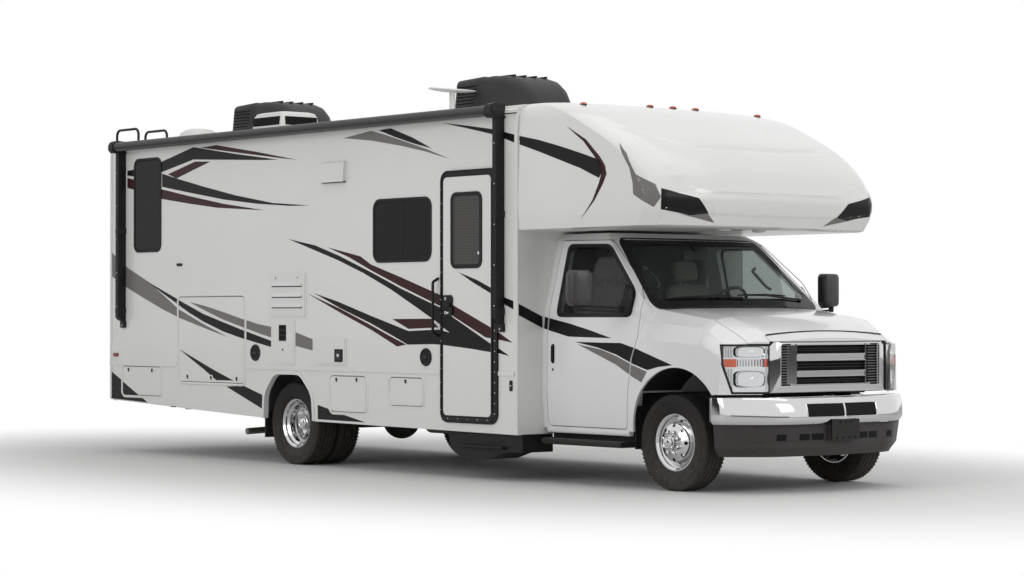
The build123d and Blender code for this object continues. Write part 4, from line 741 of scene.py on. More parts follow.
def outlineArea(part):
    # above zero for a part that runs anticlockwise
    part = list(part)
    return sum(a[0] * b[1] - b[0] * a[1] for a, b in zip(part, part[1:] + part[:1])) / 2


def stripeRegions(side):
    # outline, body it rides on, or None where nothing is stuck, and its face
    regions = []
    if side < 0:
        for lid, (x, z, radius) in wallOpenings.items():
            regions.append((grownRect(x, z, radius, -lidEdge), lid, lidFace))
            regions.append((grownRect(x, z, radius, 0.012), None, 0))
        door = entryDoor
        regions.append((grownRect(door["x"], door["z"], door["radius"], 0), "entry_door", door["face"]))
        regions.append((grownRect(door["frameX"], door["frameZ"], 0.09, 0), None, 0))
    return regions


def flatSheet(name, parts, plane, finish, body):
    # plane gives the place of a point of a part; the sheet gets its thickness outwards
    work = bmesh.new()
    for part in parts:
        work.faces.new([work.verts.new(plane(point)) for point in part])
    bmesh.ops.remove_doubles(work, verts=work.verts, dist=0.00005)
    made = meshPiece(work, name, finish, body)
    thick = made.modifiers.new("thick", "SOLIDIFY")
    thick.thickness = stripeThickness
    thick.offset = 1.0
    return made


def sideStripes():
    made = 0
    for sideName, side in sides:
        buckets = {}
        for _, finish, points in stripes:
            triangles = tessellate_polygon([[Vector((x, z, 0)) for x, z in points]])
            parts = [[points[i] for i in corner] for corner in triangles]
            parts = [part if outlineArea(part) > 0 else part[::-1] for part in parts]
            for outline, body, face in stripeRegions(side):
                left = []
                for part in parts:
                    inside, outside = splitByOutline(part, outline)
                    left += outside
                    if inside and body:
                        buckets.setdefault((finish, body, face), []).append(inside)
                parts = left
            buckets.setdefault((finish, "root", wallFace), []).extend(parts)
        for (finish, body, face), parts in buckets.items():
            parts = [part for part in parts if abs(outlineArea(part)) > 0.0000005]
            y = side * (face + 0.0003)
            order = [part if side < 0 else part[::-1] for part in parts]
            flatSheet(f"{finish}_{sideName}_{body}", order, lambda p: (p[0], y, p[1]), finish, body)
            made += 1
    return made


print("side stripes:", sideStripes())


# x and z limits, corner radius and the height of a crossbar
rearWindow = ((-3.873, -3.370), (1.965, 2.888), 0.080, 2.469)
houseWindow = {"proud": 0.008, "frame": 0.020, "bead": 0.010, "glassBack": 0.004,
               "right": (rearWindow, ((0.076, 0.900), (1.802, 2.353), 0.090, None)),
               "left": (rearWindow, ((-0.900, 0.400), (1.750, 2.353), 0.090, None))}


def houseWindows():
    look = houseWindow
    piece = startPiece()
    for sideName, side in sides:
        for x, z, radius, seam in look[sideName]:
            y = side * wallFace
            out = side * look["proud"]
            frameIn = -look["frame"]
            addRing(piece, sideRect(x, z, radius, y), sideRect(x, z, radius, y, frameIn), (0, out, 0), "frameBlack")
            rubber = sideRect(x, z, radius, y, frameIn)
            rubberIn = sideRect(x, z, radius, y, frameIn - look["bead"])
            addRing(piece, rubber, rubberIn, (0, out * 0.75, 0), "rubber")
            pane = sideRect(x, z, radius, y - side * 0.004, frameIn - look["bead"] + 0.001)
            addPrism(piece, pane, (0, out - side * look["glassBack"] + side * 0.004, 0), "houseGlass")
            if seam:
                bar = sideRect((x[0] + 0.021, x[1] - 0.021), (seam - 0.007, seam + 0.007), 0.001, y)
                addPrism(piece, bar, (0, out * 0.9, 0), "frameBlack")
                vent = sideRect((x[0] + 0.022, x[1] - 0.022), (seam - 0.0015, seam + 0.0015), 0.0005, y)
                addPrism(piece, vent, (0, out, 0), "greyPlastic")
            else:
                middle = (x[0] + x[1]) / 2
                bar = sideRect((middle - 0.006, middle + 0.006), (z[0] + 0.021, z[1] - 0.021), 0.001, y)
                addPrism(piece, bar, (0, out * 0.7, 0), "frameBlack")
    finishPiece(piece, "houseWindows", "root", ("house_windows",), bevel=0.0015)


houseWindows()

doorLook = {"windowX": (1.176, 1.591), "windowZ": (1.737, 2.371), "radius": 0.068, "frame": 0.034,
            "lockX": (1.080, 1.207), "lockZ": (1.339, 1.518), "screwPitch": 0.085}


def entryDoorPieces():
    look = doorLook
    face = -entryDoor["face"]
    piece = startPiece()
    x, z, radius = look["windowX"], look["windowZ"], look["radius"]
    addRing(piece, sideRect(x, z, radius, face), sideRect(x, z, radius, face, -look["frame"]), (0, -0.007, 0),
            "frameBlack")
    inner = -look["frame"]
    addRing(piece, sideRect(x, z, radius, face, inner), sideRect(x, z, radius, face, inner - 0.014),
            (0, -0.0035, 0), "blindGrey")
    addPrism(piece, sideRect(x, z, radius, face + 0.02, inner - 0.013), (0, -0.018, 0), "blindGrey")
    addPrism(piece, sideRect(x, z, radius, face, inner - 0.0135), (0, -0.0012, 0), "blindGrey")
    slatRow = growMesh(rowOfBlocks, "greyPlastic", Count=22, Start=(1.3835, face - 0.0013, z[0] + 0.072),
                       Step=(0, 0, 0.0235), Block=(0.31, 0.0012, 0.003))
    placePiece("doorBlindFolds", slatRow, "entry_door")
    addTurned(piece, (1.545, face - 0.001, 1.862), (0, -1, 0), ((0, 0), (0.014, 0), (0.013, 0.004), (0, 0.006)),
              "whitePlastic", 16)
    finishPiece(piece, "doorWindow", "entry_door", ("entry_door_glass",), bevel=0.0015)

    lock = startPiece()
    addPrism(lock, sideRect(look["lockX"], look["lockZ"], 0.014, face), (0, -0.012, 0), "frameBlack")
    addPrism(lock, sideRect((1.095, 1.192), (1.405, 1.462), 0.008, face - 0.012), (0, -0.004, 0), "blackPlastic")
    addPrism(lock, sideRect((1.105, 1.190), (1.420, 1.452), 0.012, face - 0.016), (0, -0.014, 0), "frameBlack")
    for height in (1.487, 1.370):
        addTurned(lock, (1.118, face - 0.012, height), (0, -1, 0),
                  ((0, 0), (0.014, 0), (0.014, 0.003), (0.010, 0.004), (0, 0.004)), "chrome", 20)
        addBox(lock, (1.117, face - 0.0175, height - 0.006), (1.119, face - 0.0155, height + 0.006), "meshBlack")
    addPrism(lock, sideRect((1.128, 1.160), (1.362, 1.378), 0.006, face - 0.012), (0, -0.003, 0), "polished")
    finishPiece(lock, "doorLock", "entry_door", bevel=0.0015)

    # raised rails of the frame: a lip all round, the hinge strip and the threshold
    frameFace = -entryDoor["frameFace"]
    trim = startPiece()
    outer = sideRect(entryDoor["frameX"], entryDoor["frameZ"], 0.09, frameFace, -0.001)
    inner = sideRect(entryDoor["frameX"], entryDoor["frameZ"], 0.09, frameFace, -0.012)
    addRing(trim, outer, inner, (0, -0.005, 0), "frameBlack")
    addBox(trim, (1.7085, frameFace - 0.004, 0.56), (1.724, frameFace, 2.44), "frameBlack")
    addBox(trim, (1.730, frameFace - 0.003, 0.52), (1.772, frameFace, 2.49), "frameBlack")
    addBox(trim, (1.060, frameFace - 0.006, 0.474), (1.715, frameFace, 0.506), "blackPlastic")
    addTube(trim, [(1.7165, frameFace - 0.006, 0.56), (1.7165, frameFace - 0.006, 2.44)], 0.0055, "frameBlack", 8)
    finishPiece(trim, "doorFrameTrim", "root", bevel=0.001)
    screws = [growMesh(rowOfScrews, "polished", Count=23, Start=(1.751, frameFace - 0.003, 0.545),
                       Step=(0, 0, look["screwPitch"]), Head=0.0055, Turn=(math.pi / 2, 0, 0)),
              growMesh(rowOfScrews, "polished", Count=17, Start=(1.045, frameFace - 0.005, 0.560),
                       Step=(0, 0, 0.115), Head=0.0045, Turn=(math.pi / 2, 0, 0)),
              growMesh(rowOfScrews, "polished", Count=5, Start=(1.14, frameFace - 0.006, 0.490),
                       Step=(0.13, 0, 0), Head=0.0045, Turn=(math.pi / 2, 0, 0))]
    placePiece("doorFrameScrews", joinMeshes("doorFrameScrews", screws), "root")


entryDoorPieces()

lidLook = {"bead": 0.026, "beadProud": 0.012,
           # x, z of each latch and the body it rides on
           "latches": (("cargo_lid", -2.88, 0.770), ("cargo_lid", -2.47, 0.765), ("cargo_lid", -2.035, 0.762),
                       ("rear_hatch", -3.955, 0.818), ("rear_hatch", -3.520, 0.818),
                       ("mid_hatch", -0.452, 0.786), ("mid_hatch", -0.152, 0.790), ("front_hatch", 0.552, 0.790))}


def compartmentTrim():
    beads = startPiece()
    for lid, (x, z, radius) in wallOpenings.items():
        before = len(beads["mesh"].verts)
        addBead(beads, x, z, radius, -wallFace, -1, lidLook["bead"], lidLook["beadProud"], "gelcoat")
        beads["mesh"].verts.ensure_lookup_table()
        for corner in beads["mesh"].verts[before:] if "hatch" in lid else ():
            # nearly flat along the hinge, so the open hatch hangs clear
            share = min(1.0, max(0.1, (corner.co.z - z[0] + 0.004) / 0.034))
            corner.co.y = -wallFace + (corner.co.y + wallFace) * share
        addRing(beads, sideRect(x, z, radius, -wallFace + 0.004, -0.0125),
                sideRect(x, z, radius, -wallFace + 0.004, -0.0155), (0, -0.003, 0), "rubber")
    finishPiece(beads, "lidFrames", "root")
    latches = {}
    for lid, x, z in lidLook["latches"]:
        piece = latches.setdefault(lid, startPiece())
        addTurned(piece, (x, -lidFace, z), (0, -1, 0),
                  ((0, 0), (0.024, 0), (0.024, 0.003), (0.019, 0.006), (0, 0.006)), "whitePlastic", 24)
        paddle = [(x - 0.009, z + 0.013), (x - 0.012, z - 0.004), (x, z - 0.024), (x + 0.012, z - 0.004),
                  (x + 0.009, z + 0.013)]
        addPrism(piece, onSide(paddle, -lidFace - 0.006), (0, -0.007, 0), "blackPlastic")
    for lid, piece in latches.items():
        x, z, radius = wallOpenings[lid]
        addRing(piece, sideRect(x, z, radius, -lidFace, -0.030), sideRect(x, z, radius, -lidFace, -0.034),
                (0, -0.0012, 0), "gelcoat")
        finishPiece(piece, f"latches_{lid}", lid, bevel=0.001)


compartmentTrim()


ventLook = {
    "fridge": ((-1.515, -0.925), (1.330, 1.742)), "slots": (1.618, 1.520, 1.425),
    "furnace": ((-1.479, -1.096), (0.905, 1.317)), "outlet": ((-0.807, -0.314), (0.911, 1.152)),
    "hood": ((-0.679, -0.309), (2.514, 2.717)), "speakers": ((-1.739, 1.006), (0.823, 0.997)),
}


def sideVents():
    look = ventLook
    piece = startPiece()
    y = -wallFace
    # refrigerator vent: frame, door and three hooded slots
    x, z = look["fridge"]
    addPrism(piece, sideRect(x, z, 0.030, y), (0, -0.006, 0), "whitePlastic")
    addPrism(piece, sideRect(x, z, 0.024, y - 0.006, -0.018), (0, -0.008, 0), "whitePlastic")
    for slot in look["slots"]:
        left, right = x[0] + 0.055, x[1] - 0.055
        addPrism(piece, sideRect((left, right), (slot - 0.012, slot + 0.002), 0.004, y - 0.0142), (0, -0.0006, 0),
                 "meshBlack")
        hood = [Vector((left, y - 0.014, slot + 0.030)), Vector((left, y - 0.014, slot - 0.001)),
                Vector((left, y - 0.029, slot - 0.003)), Vector((left, y - 0.026, slot + 0.006))]
        addPrism(piece, hood, (right - left, 0, 0), "whitePlastic")
    for knob in (-1.392, -1.047):
        addTurned(piece, (knob, y - 0.014, 1.690), (0, -1, 0), ((0, 0), (0.012, 0), (0.011, 0.004), (0, 0.005)),
                  "whitePlastic", 16)
        addBox(piece, (knob - 0.003, y - 0.0200, 1.680), (knob + 0.003, y - 0.0185, 1.700), "meshBlack")
    # heater door with its small grille and lock
    x, z = look["furnace"]
    addPrism(piece, sideRect(x, z, 0.014, y), (0, -0.006, 0), "whitePlastic")
    addPrism(piece, sideRect((x[0] + 0.02, x[1] - 0.02), (z[0] + 0.02, z[1] - 0.006), 0.012, y - 0.006),
             (0, -0.005, 0), "whitePlastic")
    addPrism(piece, sideRect((-1.345, -1.232), (1.118, 1.262), 0.006, y - 0.011), (0, -0.003, 0), "blackPlastic")
    for bar in range(3):
        low = 1.130 + bar * 0.047
        addPrism(piece, sideRect((-1.338, -1.240), (low, low + 0.030), 0.004, y - 0.014), (0, -0.003, 0), "meshBlack")
    addTurned(piece, (-1.287, y - 0.011, 1.040), (0, -1, 0), ((0, 0), (0.010, 0), (0.009, 0.003), (0, 0.003)),
              "frameBlack", 14)
    # outside outlet panel with its latch
    x, z = look["outlet"]
    addPrism(piece, sideRect(x, z, 0.018, y), (0, -0.010, 0), "whitePlastic")
    addPrism(piece, sideRect(x, z, 0.012, y - 0.010, -0.016), (0, -0.006, 0), "whitePlastic")
    addPrism(piece, sideRect((-0.475, -0.352), (0.938, 1.052), 0.010, y - 0.016), (0, -0.004, 0), "frameBlack")
    addPrism(piece, sideRect((-0.452, -0.375), (0.958, 1.032), 0.008, y - 0.020), (0, -0.004, 0), "greyPlastic")
    addTurned(piece, (-0.413, y - 0.024, 0.995), (0, -1, 0), ((0, 0), (0.016, 0), (0.014, 0.006), (0, 0.007)),
              "polished", 18)
    # cooker hood outlet: a sloping cover, open at the bottom
    x, z = look["hood"]
    addPrism(piece, sideRect(x, z, 0.012, y), (0, -0.005, 0), "whitePlastic")
    cover = [Vector((x[0] + 0.012, y - 0.005, z[1] - 0.012)), Vector((x[0] + 0.012, y - 0.005, z[0] + 0.020)),
             Vector((x[0] + 0.012, y - 0.044, z[0] + 0.010)), Vector((x[0] + 0.012, y - 0.030, z[1] - 0.020))]
    addPrism(piece, cover, (x[1] - x[0] - 0.024, 0, 0), "whitePlastic")
    addPrism(piece, sideRect((x[0] + 0.02, x[1] - 0.02), (z[0] + 0.006, z[0] + 0.0175), 0.002, y - 0.005),
             (0, -0.032, 0), "meshBlack")
    # round speakers
    for centreX, centreZ in look["speakers"]:
        addTurned(piece, (centreX, y, centreZ), (0, -1, 0),
                  ((0, 0), (0.076, 0), (0.076, 0.008), (0.068, 0.016), (0.060, 0.012), (0.030, 0.015), (0, 0.017)),
                  "blackPlastic", 40)
        addPrism(piece, sideRect((centreX - 0.028, centreX + 0.028), (centreZ - 0.009, centreZ + 0.009), 0.006,
                                 y - 0.016), (0, -0.003, 0), "greyPlastic")
    # covers of the other side: filler flap, lamp socket and water inlet
    for x, z, radius in (((-2.700, -2.290), (0.930, 1.340), 0.012), ((1.480, 1.680), (0.560, 0.760), 0.014),
                         ((-3.400, -3.150), (0.560, 0.800), 0.014)):
        addPrism(piece, sideRect(x, z, radius, wallFace), (0, 0.006, 0), "whitePlastic")
        addPrism(piece, sideRect(x, z, radius, wallFace + 0.006, -0.018), (0, 0.005, 0), "whitePlastic")
        addTurned(piece, ((x[0] + x[1]) / 2, wallFace + 0.011, z[0] + 0.055), (0, 1, 0),
                  ((0, 0), (0.013, 0), (0.012, 0.004), (0, 0.005)), "polished", 16)
    finishPiece(piece, "sideVents", "root", ("side_vents",), bevel=0.0015)
    ribs = []
    for centreX, centreZ in look["speakers"]:
        ribs.append(growMesh(rowOfBlocks, "meshBlack", Count=7, Start=(centreX, y - 0.0155, centreZ - 0.045),
                             Step=(0, 0, 0.015), Block=(0.085, 0.002, 0.004)))
    ribs.append(growMesh(rowOfBlocks, "meshBlack", Count=13, Start=(-2.64, wallFace + 0.0112, 1.04),
                         Step=(0, 0, 0.022), Block=(0.25, 0.0012, 0.009)))
    placePiece("ventRibs", joinMeshes("ventRibs", ribs), "root")
    small = startPiece()
    addPrism(small, sideRect((-3.078, -2.994), (1.822, 1.848), 0.010, y), (0, -0.014, 0), "frameBlack")
    addPrism(small, sideRect((1.930, 1.965), (0.735, 0.822), 0.012, y), (0, -0.008, 0), "frameBlack")
    addTurned(small, (1.9475, y - 0.008, 0.778), (0, -1, 0), ((0, 0), (0.010, 0), (0.009, 0.003), (0, 0.003)),
              "chrome", 14)
    addPrism(small, sideRect((-3.19, -3.10), (0.466, 0.474), 0.003, y), (0, -0.006, 0), "frameBlack")
    finishPiece(small, "sidePorts", "root", bevel=0.001)


sideVents()
print("house sides dressed")

# the moulded cap over the cab
capLevels = (
    # height, half width, x of the corner arcs, of the sides and of the middle
    (2.040, 1.262, 3.440, 3.555, 3.640), (2.150, 1.268, 3.510, 3.625, 3.705),
    (2.250, 1.270, 3.525, 3.648, 3.730), (2.330, 1.270, 3.500, 3.625, 3.705),
    (2.500, 1.266, 3.380, 3.520, 3.610), (2.680, 1.262, 3.150, 3.310, 3.400),
    (2.850, 1.258, 2.820, 2.990, 3.085), (2.965, 1.246, 2.560, 2.740, 2.850),
    (3.030, 1.205, 2.330, 2.520, 2.640), (3.060, 1.150, 2.180, 2.360, 2.470),
)
capLook = {"rear": 2.030, "cornerInset": 0.175, "panelLift": 0.009, "browLift": 0.014}


def smoothValue(rows, place):
    # a smooth curve through rows of (place, value ...)
    places = [row[0] for row in rows]
    last = len(rows) - 1
    at = max(i for i in range(last) if places[i] <= place or i == 0)
    low, high = rows[at], rows[at + 1]
    share = min(max((place - low[0]) / (high[0] - low[0]), 0), 1)
    values = []
    for column in range(1, len(rows[0])):
        rise = (high[column] - low[column]) / (high[0] - low[0])
        before = rows[at - 1] if at else low
        after = rows[at + 2] if at + 2 <= last else high
        startSlope = (high[column] - before[column]) / (high[0] - before[0]) if at else rise
        endSlope = (after[column] - low[column]) / (after[0] - low[0]) if at + 2 <= last else rise
        width = high[0] - low[0]
        s2, s3 = share * share, share ** 3
        values.append((2 * s3 - 3 * s2 + 1) * low[column] + (s3 - 2 * s2 + share) * width * startSlope
                      + (3 * s2 - 2 * s3) * high[column] + (s3 - s2) * width * endSlope)
    return values


def arcThrough(start, middle, end, count):
    # points of the circle through three places of a plan, the last left out
    ax, ay = start
    bx, by = middle
    cx, cy = end
    d = 2 * (ax * (by - cy) + bx * (cy - ay) + cx * (ay - by))
    ux = ((ax ** 2 + ay ** 2) * (by - cy) + (bx ** 2 + by ** 2) * (cy - ay) + (cx ** 2 + cy ** 2) * (ay - by)) / d
    uy = ((ax ** 2 + ay ** 2) * (cx - bx) + (bx ** 2 + by ** 2) * (ax - cx) + (cx ** 2 + cy ** 2) * (bx - ax)) / d
    radius = math.hypot(ax - ux, ay - uy)
    a0 = math.atan2(ay - uy, ax - ux)
    a1 = math.atan2(by - uy, bx - ux)
    a2 = math.atan2(cy - uy, cx - ux)
    while a1 - a0 > math.pi:
        a1 -= 2 * math.pi
    while a0 - a1 > math.pi:
        a1 += 2 * math.pi
    while a2 - a1 > math.pi:
        a2 -= 2 * math.pi
    while a1 - a2 > math.pi:
        a2 += 2 * math.pi
    return [(ux + radius * math.cos(a0 + (a2 - a0) * i / count), uy + radius * math.sin(a0 + (a2 - a0) * i / count))
            for i in range(count)]


def capOutline(height, inset=0.0):
    # plan of the cap at a height, from the rear right corner round to the rear left one
    half, corner, side, middle = smoothValue(capLevels, height)
    half, corner, side, middle = half - inset, corner - inset, side - inset, middle - inset
    bend = (corner + side) / 2 + 0.012
    edge = half - capLook["cornerInset"]
    rear = capLook["rear"]
    straight = [(rear + (corner - rear) * i / 28, -half) for i in range(28)]
    turn = arcThrough((corner, -half), (bend, -half + 0.058), (side, -edge), 10)
    front = arcThrough((side, -edge), (middle, 0), (side, edge), 40)
    back = [(x, -y) for x, y in reversed(turn[1:])]
    left = [(x, -y) for x, y in reversed(straight)]
    return straight + turn + front + [(side, edge)] + back + [(corner, half)] + left


def insideLoop(point, loop):
    # even-odd test of a point in a closed outline
    x, y = point
    inside = False
    for (ax, ay), (bx, by) in zip(loop, loop[1:] + loop[:1]):
        if (ay > y) != (by > y) and x < (bx - ax) * (y - ay) / (by - ay) + ax:
            inside = not inside
    return inside


def loopDistance(point, loop):
    # distance of a point to the nearest edge of a closed outline
    best = 9.0
    x, y = point
    for (ax, ay), (bx, by) in zip(loop, loop[1:] + loop[:1]):
        dx, dy = bx - ax, by - ay
        share = max(0.0, min(1.0, ((x - ax) * dx + (y - ay) * dy) / max(dx * dx + dy * dy, 1e-12)))
        best = min(best, math.hypot(x - ax - dx * share, y - ay - dy * share))
    return best


# raised panel and lower lip of the front: y, z
panelLoop = ((-1.075, 2.530), (-0.970, 2.368), (-0.803, 2.303), (-0.702, 2.289), (0.0, 2.287), (0.702, 2.289),
             (0.803, 2.303), (0.970, 2.368), (1.075, 2.530), (1.120, 2.800), (0.960, 2.738), (0.850, 2.672),
             (0.640, 2.658), (0.0, 2.650), (-0.640, 2.658), (-0.850, 2.672), (-0.960, 2.738), (-1.120, 2.800))
lipLoop = ((-1.130, 2.172), (-0.892, 2.142), (-0.462, 2.132), (0.0, 2.128), (0.462, 2.132), (0.892, 2.142),
           (1.130, 2.172), (1.150, 2.02), (-1.150, 2.02))


def capRelief(point, normal):
    # how far the moulding stands out of the plain form at a place
    y, z = point.y, point.z
    out = 0.0
    if normal.x > 0.25:
        inside = insideLoop((y, z), panelLoop)
        reach = loopDistance((y, z), panelLoop)
        out += capLook["panelLift"] * (min(reach / 0.012, 1.0) if inside else 0.0)
        if insideLoop((y, z), lipLoop):
            out -= 0.010 * min(loopDistance((y, z), lipLoop) / 0.012, 1.0)
    # brow: a soft step across the top of the front
    if point.x > 2.6:
        brow = 2.662 + 0.16 * min(abs(y) / 1.05, 1.0) ** 6
        rise = max(0.0, min(1.0, (z - brow) / 0.016))
        fade = max(0.0, min(1.0, (3.02 - z) / 0.30))
        side = max(0.0, min(1.0, (1.13 - abs(y)) / 0.05))
        out += capLook["browLift"] * rise * fade * side
    return out


def capSkin():
    heights = []
    for low, high in zip(capLevels, capLevels[1:]):
        count = max(2, round((high[0] - low[0]) / 0.0125))
        heights += [low[0] + (high[0] - low[0]) * i / count for i in range(count)]
    heights.append(capLevels[-1][0])
    rings = [[Vector((x, y, height)) for x, y in capOutline(height)] for height in heights]
    count = len(rings[0])
    work = bmesh.new()
    grid = [[work.verts.new(p) for p in ring] for ring in rings]
    for low, high in zip(grid, grid[1:]):
        for i in range(count - 1):
            work.faces.new((low[i], low[i + 1], high[i + 1], high[i]))
    work.normal_update()
    for corner in list(work.verts):
        corner.co += corner.normal * capRelief(corner.co, corner.normal)
    # the lower edge turns in under the floor; the bottom, top and rear are closed
    tuck, shrink, floorLine = 0.030, 0.024, 2.032
    under = [work.verts.new((v.co.x - (tuck if v.co.x > 3.0 else 0.0), v.co.y * (1 - shrink), floorLine))
             for v in grid[0]]
    for i in range(count - 1):
        work.faces.new((under[i], under[i + 1], grid[0][i + 1], grid[0][i]))
    rear = under[:1] + [ring[0] for ring in grid] + [ring[-1] for ring in reversed(grid)] + under[-1:]
    for outline in (under[::-1], grid[-1], rear[::-1]):
        work.faces.new(outline)
    bmesh.ops.recalc_face_normals(work, faces=work.faces)
    for face in work.faces:
        face.smooth = True
    sharpenEdges(work, 28)
    return meshPiece(work, "capSkin", "capGelcoat", "root", ("cab_over_cap",))


capPiece = capSkin()


def surfaceOf(*objects):
    # one search tree over the outer faces of pieces and nodes
    points, faces = [], []
    for item in objects:
        start = len(points)
        points += [item.matrix_world @ v.co for v in item.data.vertices]
        faces += [[start + i for i in face.vertices] for face in item.data.polygons]
    return BVHTree.FromPolygons(points, faces)


def cutTriangles(parts, step):
    # splits triangles until no edge is longer than step
    done, stack = [], [tuple(part) for part in parts]
    while stack:
        a, b, c = stack.pop()
        lengths = (math.dist(a, b), math.dist(b, c), math.dist(c, a))
        longest = max(lengths)
        if longest <= step:
            done.append((a, b, c))
            continue
        at = lengths.index(longest)
        a, b, c = (a, b, c) if at == 0 else (b, c, a) if at == 1 else (c, a, b)
        middle = ((a[0] + b[0]) / 2, (a[1] + b[1]) / 2)
        stack += [(a, middle, c), (middle, b, c)]
    return done


def drapedSheet(name, loops, surface, finish, body, axis, side=-1, lift=0.0016, step=0.020, limit=None):
    # loops are given as (x, z) seen along y, or as (y, z) seen along x
    work = bmesh.new()
    corners = {}

    def dropped(point):
        key = (round(point[0], 5), round(point[1], 5))
        if key not in corners:
            start, way = {"y": (Vector((point[0], side * 2.0, point[1])), Vector((0, -side, 0))),
                          "x": (Vector((6.0, point[0], point[1])), Vector((-1, 0, 0))),
                          "z": (Vector((point[0], point[1], 5.0)), Vector((0, 0, -1)))}[axis]
            hit = surface.ray_cast(start, way)
            if hit[0] is None:
                corners[key] = None
            else:
                normal = hit[1] if hit[1].dot(way) < 0 else -hit[1]
                corners[key] = work.verts.new(hit[0] + normal * lift)
        return corners[key]

    for loop in loops:
        triangles = tessellate_polygon([[Vector((p[0], p[1], 0)) for p in loop]])
        parts = [[loop[i] for i in corner] for corner in triangles]
        for part in cutTriangles(parts, step):
            if limit and not limit((sum(p[0] for p in part) / 3, sum(p[1] for p in part) / 3)):
                continue
            if outlineArea(part) < 0:
                part = part[::-1]
            if axis == "y" and side > 0:
                part = part[::-1]
            verts = [dropped(p) for p in part]
            if None in verts or len(set(verts)) < 3:
                continue
            spread = max((a.co - b.co).length for a in verts for b in verts)
            if spread > step * 6:
                continue
            if not work.faces.get(verts):
                face = work.faces.new(verts)
                face.smooth = True
    return meshPiece(work, name, finish, body)


capStripesAndShade = {
    "band": ("stripeBlack", ((1.990, 2.808), (2.282, 2.753), (2.528, 2.694), (2.784, 2.626), (3.010, 2.561),
             (3.060, 2.480), (3.013, 2.418), (2.787, 2.506), (2.531, 2.584), (2.285, 2.660), (1.990, 2.744))),
    # the crescent is painted shade: a dark sheet where the moulded recess on the cap's side lies in shade
    "crescentShade": ("stripeMaroon", ((2.616, 2.846), (2.852, 2.727), (3.022, 2.583), (3.082, 2.512), (3.101, 2.444),
                 (3.065, 2.378), (2.965, 2.247), (2.793, 2.100), (2.939, 2.248), (3.014, 2.380), (3.038, 2.447),
                 (3.018, 2.515), (2.958, 2.586), (2.827, 2.711))),
}
# wedge across the front corner, given in the cap's own plan turn: x, y, z
capWedges = {
    "grey": ("stripeGrey", ((3.207, 1.227, 2.684), (3.307, 1.239, 2.595), (3.435, 1.262, 2.427),
             (3.576, 1.193, 2.349), (3.608, 1.165, 2.250), (3.581, 1.214, 2.174), (3.410, 1.270, 2.278),
             (3.402, 1.269, 2.365), (3.362, 1.266, 2.483))),
    "black": ("stripeBlack", ((3.609, 1.163, 2.319), (3.650, 1.020, 2.285), (3.682, 0.838, 2.251),
              (3.663, 0.720, 2.138), (3.633, 0.883, 2.118), (3.607, 1.166, 2.157))),
    "tip": ("stripeGrey", ((3.624, 1.001, 2.129), (3.633, 0.883, 2.118), (3.663, 0.720, 2.138),
            (3.630, 0.606, 2.066))),
}


def capDecals():
    surface = surfaceOf(capPiece)
    for sideName, side in sides:
        for name, (finish, loop) in capStripesAndShade.items():
            drapedSheet(f"cap_{name}_{sideName}", [loop], surface, finish, "root", "y", side)
        for name, (finish, loop) in capWedges.items():
            # cast from ahead of the corner towards a line inside the cap
            centre = Vector((3.15, side * 0.72, 0))
            flat = []
            for x, y, z in loop:
                spoke = Vector((x, side * y, 0)) - centre
                flat.append((math.atan2(spoke.y * side, spoke.x), z))
            wedgeSheet(f"cap_wedge_{name}_{sideName}", flat, surface, finish, centre, side)


def wedgeSheet(name, flat, surface, finish, centre, side):
    # the outline is in angle about an upright line and height
    work = bmesh.new()
    corners = {}
    scale = 0.6
    loop = [(angle * scale, z) for angle, z in flat]
    triangles = tessellate_polygon([[Vector((p[0], p[1], 0)) for p in loop]])
    parts = [[loop[i] for i in corner] for corner in triangles]
    for part in cutTriangles(parts, 0.018):
        if outlineArea(part) < 0:
            part = part[::-1]
        if side < 0:
            part = part[::-1]
        verts = []
        for point in part:
            key = (round(point[0], 5), round(point[1], 5))
            if key not in corners:
                angle = point[0] / scale
                way = Vector((math.cos(angle), side * math.sin(angle), 0))
                start = Vector((centre.x, centre.y, point[1])) + way * 1.2
                hit = surface.ray_cast(start, -way)
                corners[key] = work.verts.new(hit[0] + hit[1] * (0.0016 if hit[1].dot(way) > 0 else -0.0016)) \
                    if hit[0] is not None else None
            verts.append(corners[key])
        if None in verts or len(set(verts)) < 3 or work.faces.get(verts):
            continue
        work.faces.new(verts).smooth = True
    bmesh.ops.recalc_face_normals(work, faces=work.faces)
    meshPiece(work, name, finish, "root")


capDecals()


def capTrim():
    # seam strip between the cap and the house with its thin insert, the rear corner strips and the lamps under the
    # bunk
    piece = startPiece()
    for side in (-1, 1):
        addPrism(piece, sideRect((2.000, 2.034), (0.40, 3.018), 0.004, side * wallFace), (0, side * 0.008, 0),
                 "capGelcoat")
        addPrism(piece, sideRect((2.014, 2.020), (0.41, 3.01), 0.002, side * (wallFace + 0.008)),
                 (0, side * 0.0014, 0), "whitePlastic")
        addPrism(piece, sideRect((-4.322, -4.292), (0.53, 3.018), 0.004, side * wallFace), (0, side * 0.007, 0),
                 "capGelcoat")
    for y in (-0.20, 0.20):
        addTurned(piece, (3.30, y, 2.032), (0, 0, -1),
                  ((0, 0), (0.055, 0), (0.052, 0.010), (0.03, 0.016), (0, 0.017)), "clearLens", 24)
    finishPiece(piece, "cornerTrims", "root", bevel=0.001)


capTrim()
print("cap and its stripes made")


# awning
awningLook = {"y": -1.380, "z": 3.012, "radius": 0.045, "rear": -4.016, "front": 1.796,
              "heads": ((1.795, 1.875), (-4.095, -4.015)), "arms": ((1.804, 1.866, 1.227), (-4.088, -4.022, 1.239)),
              "armNear": -1.270, "armFar": -1.360}


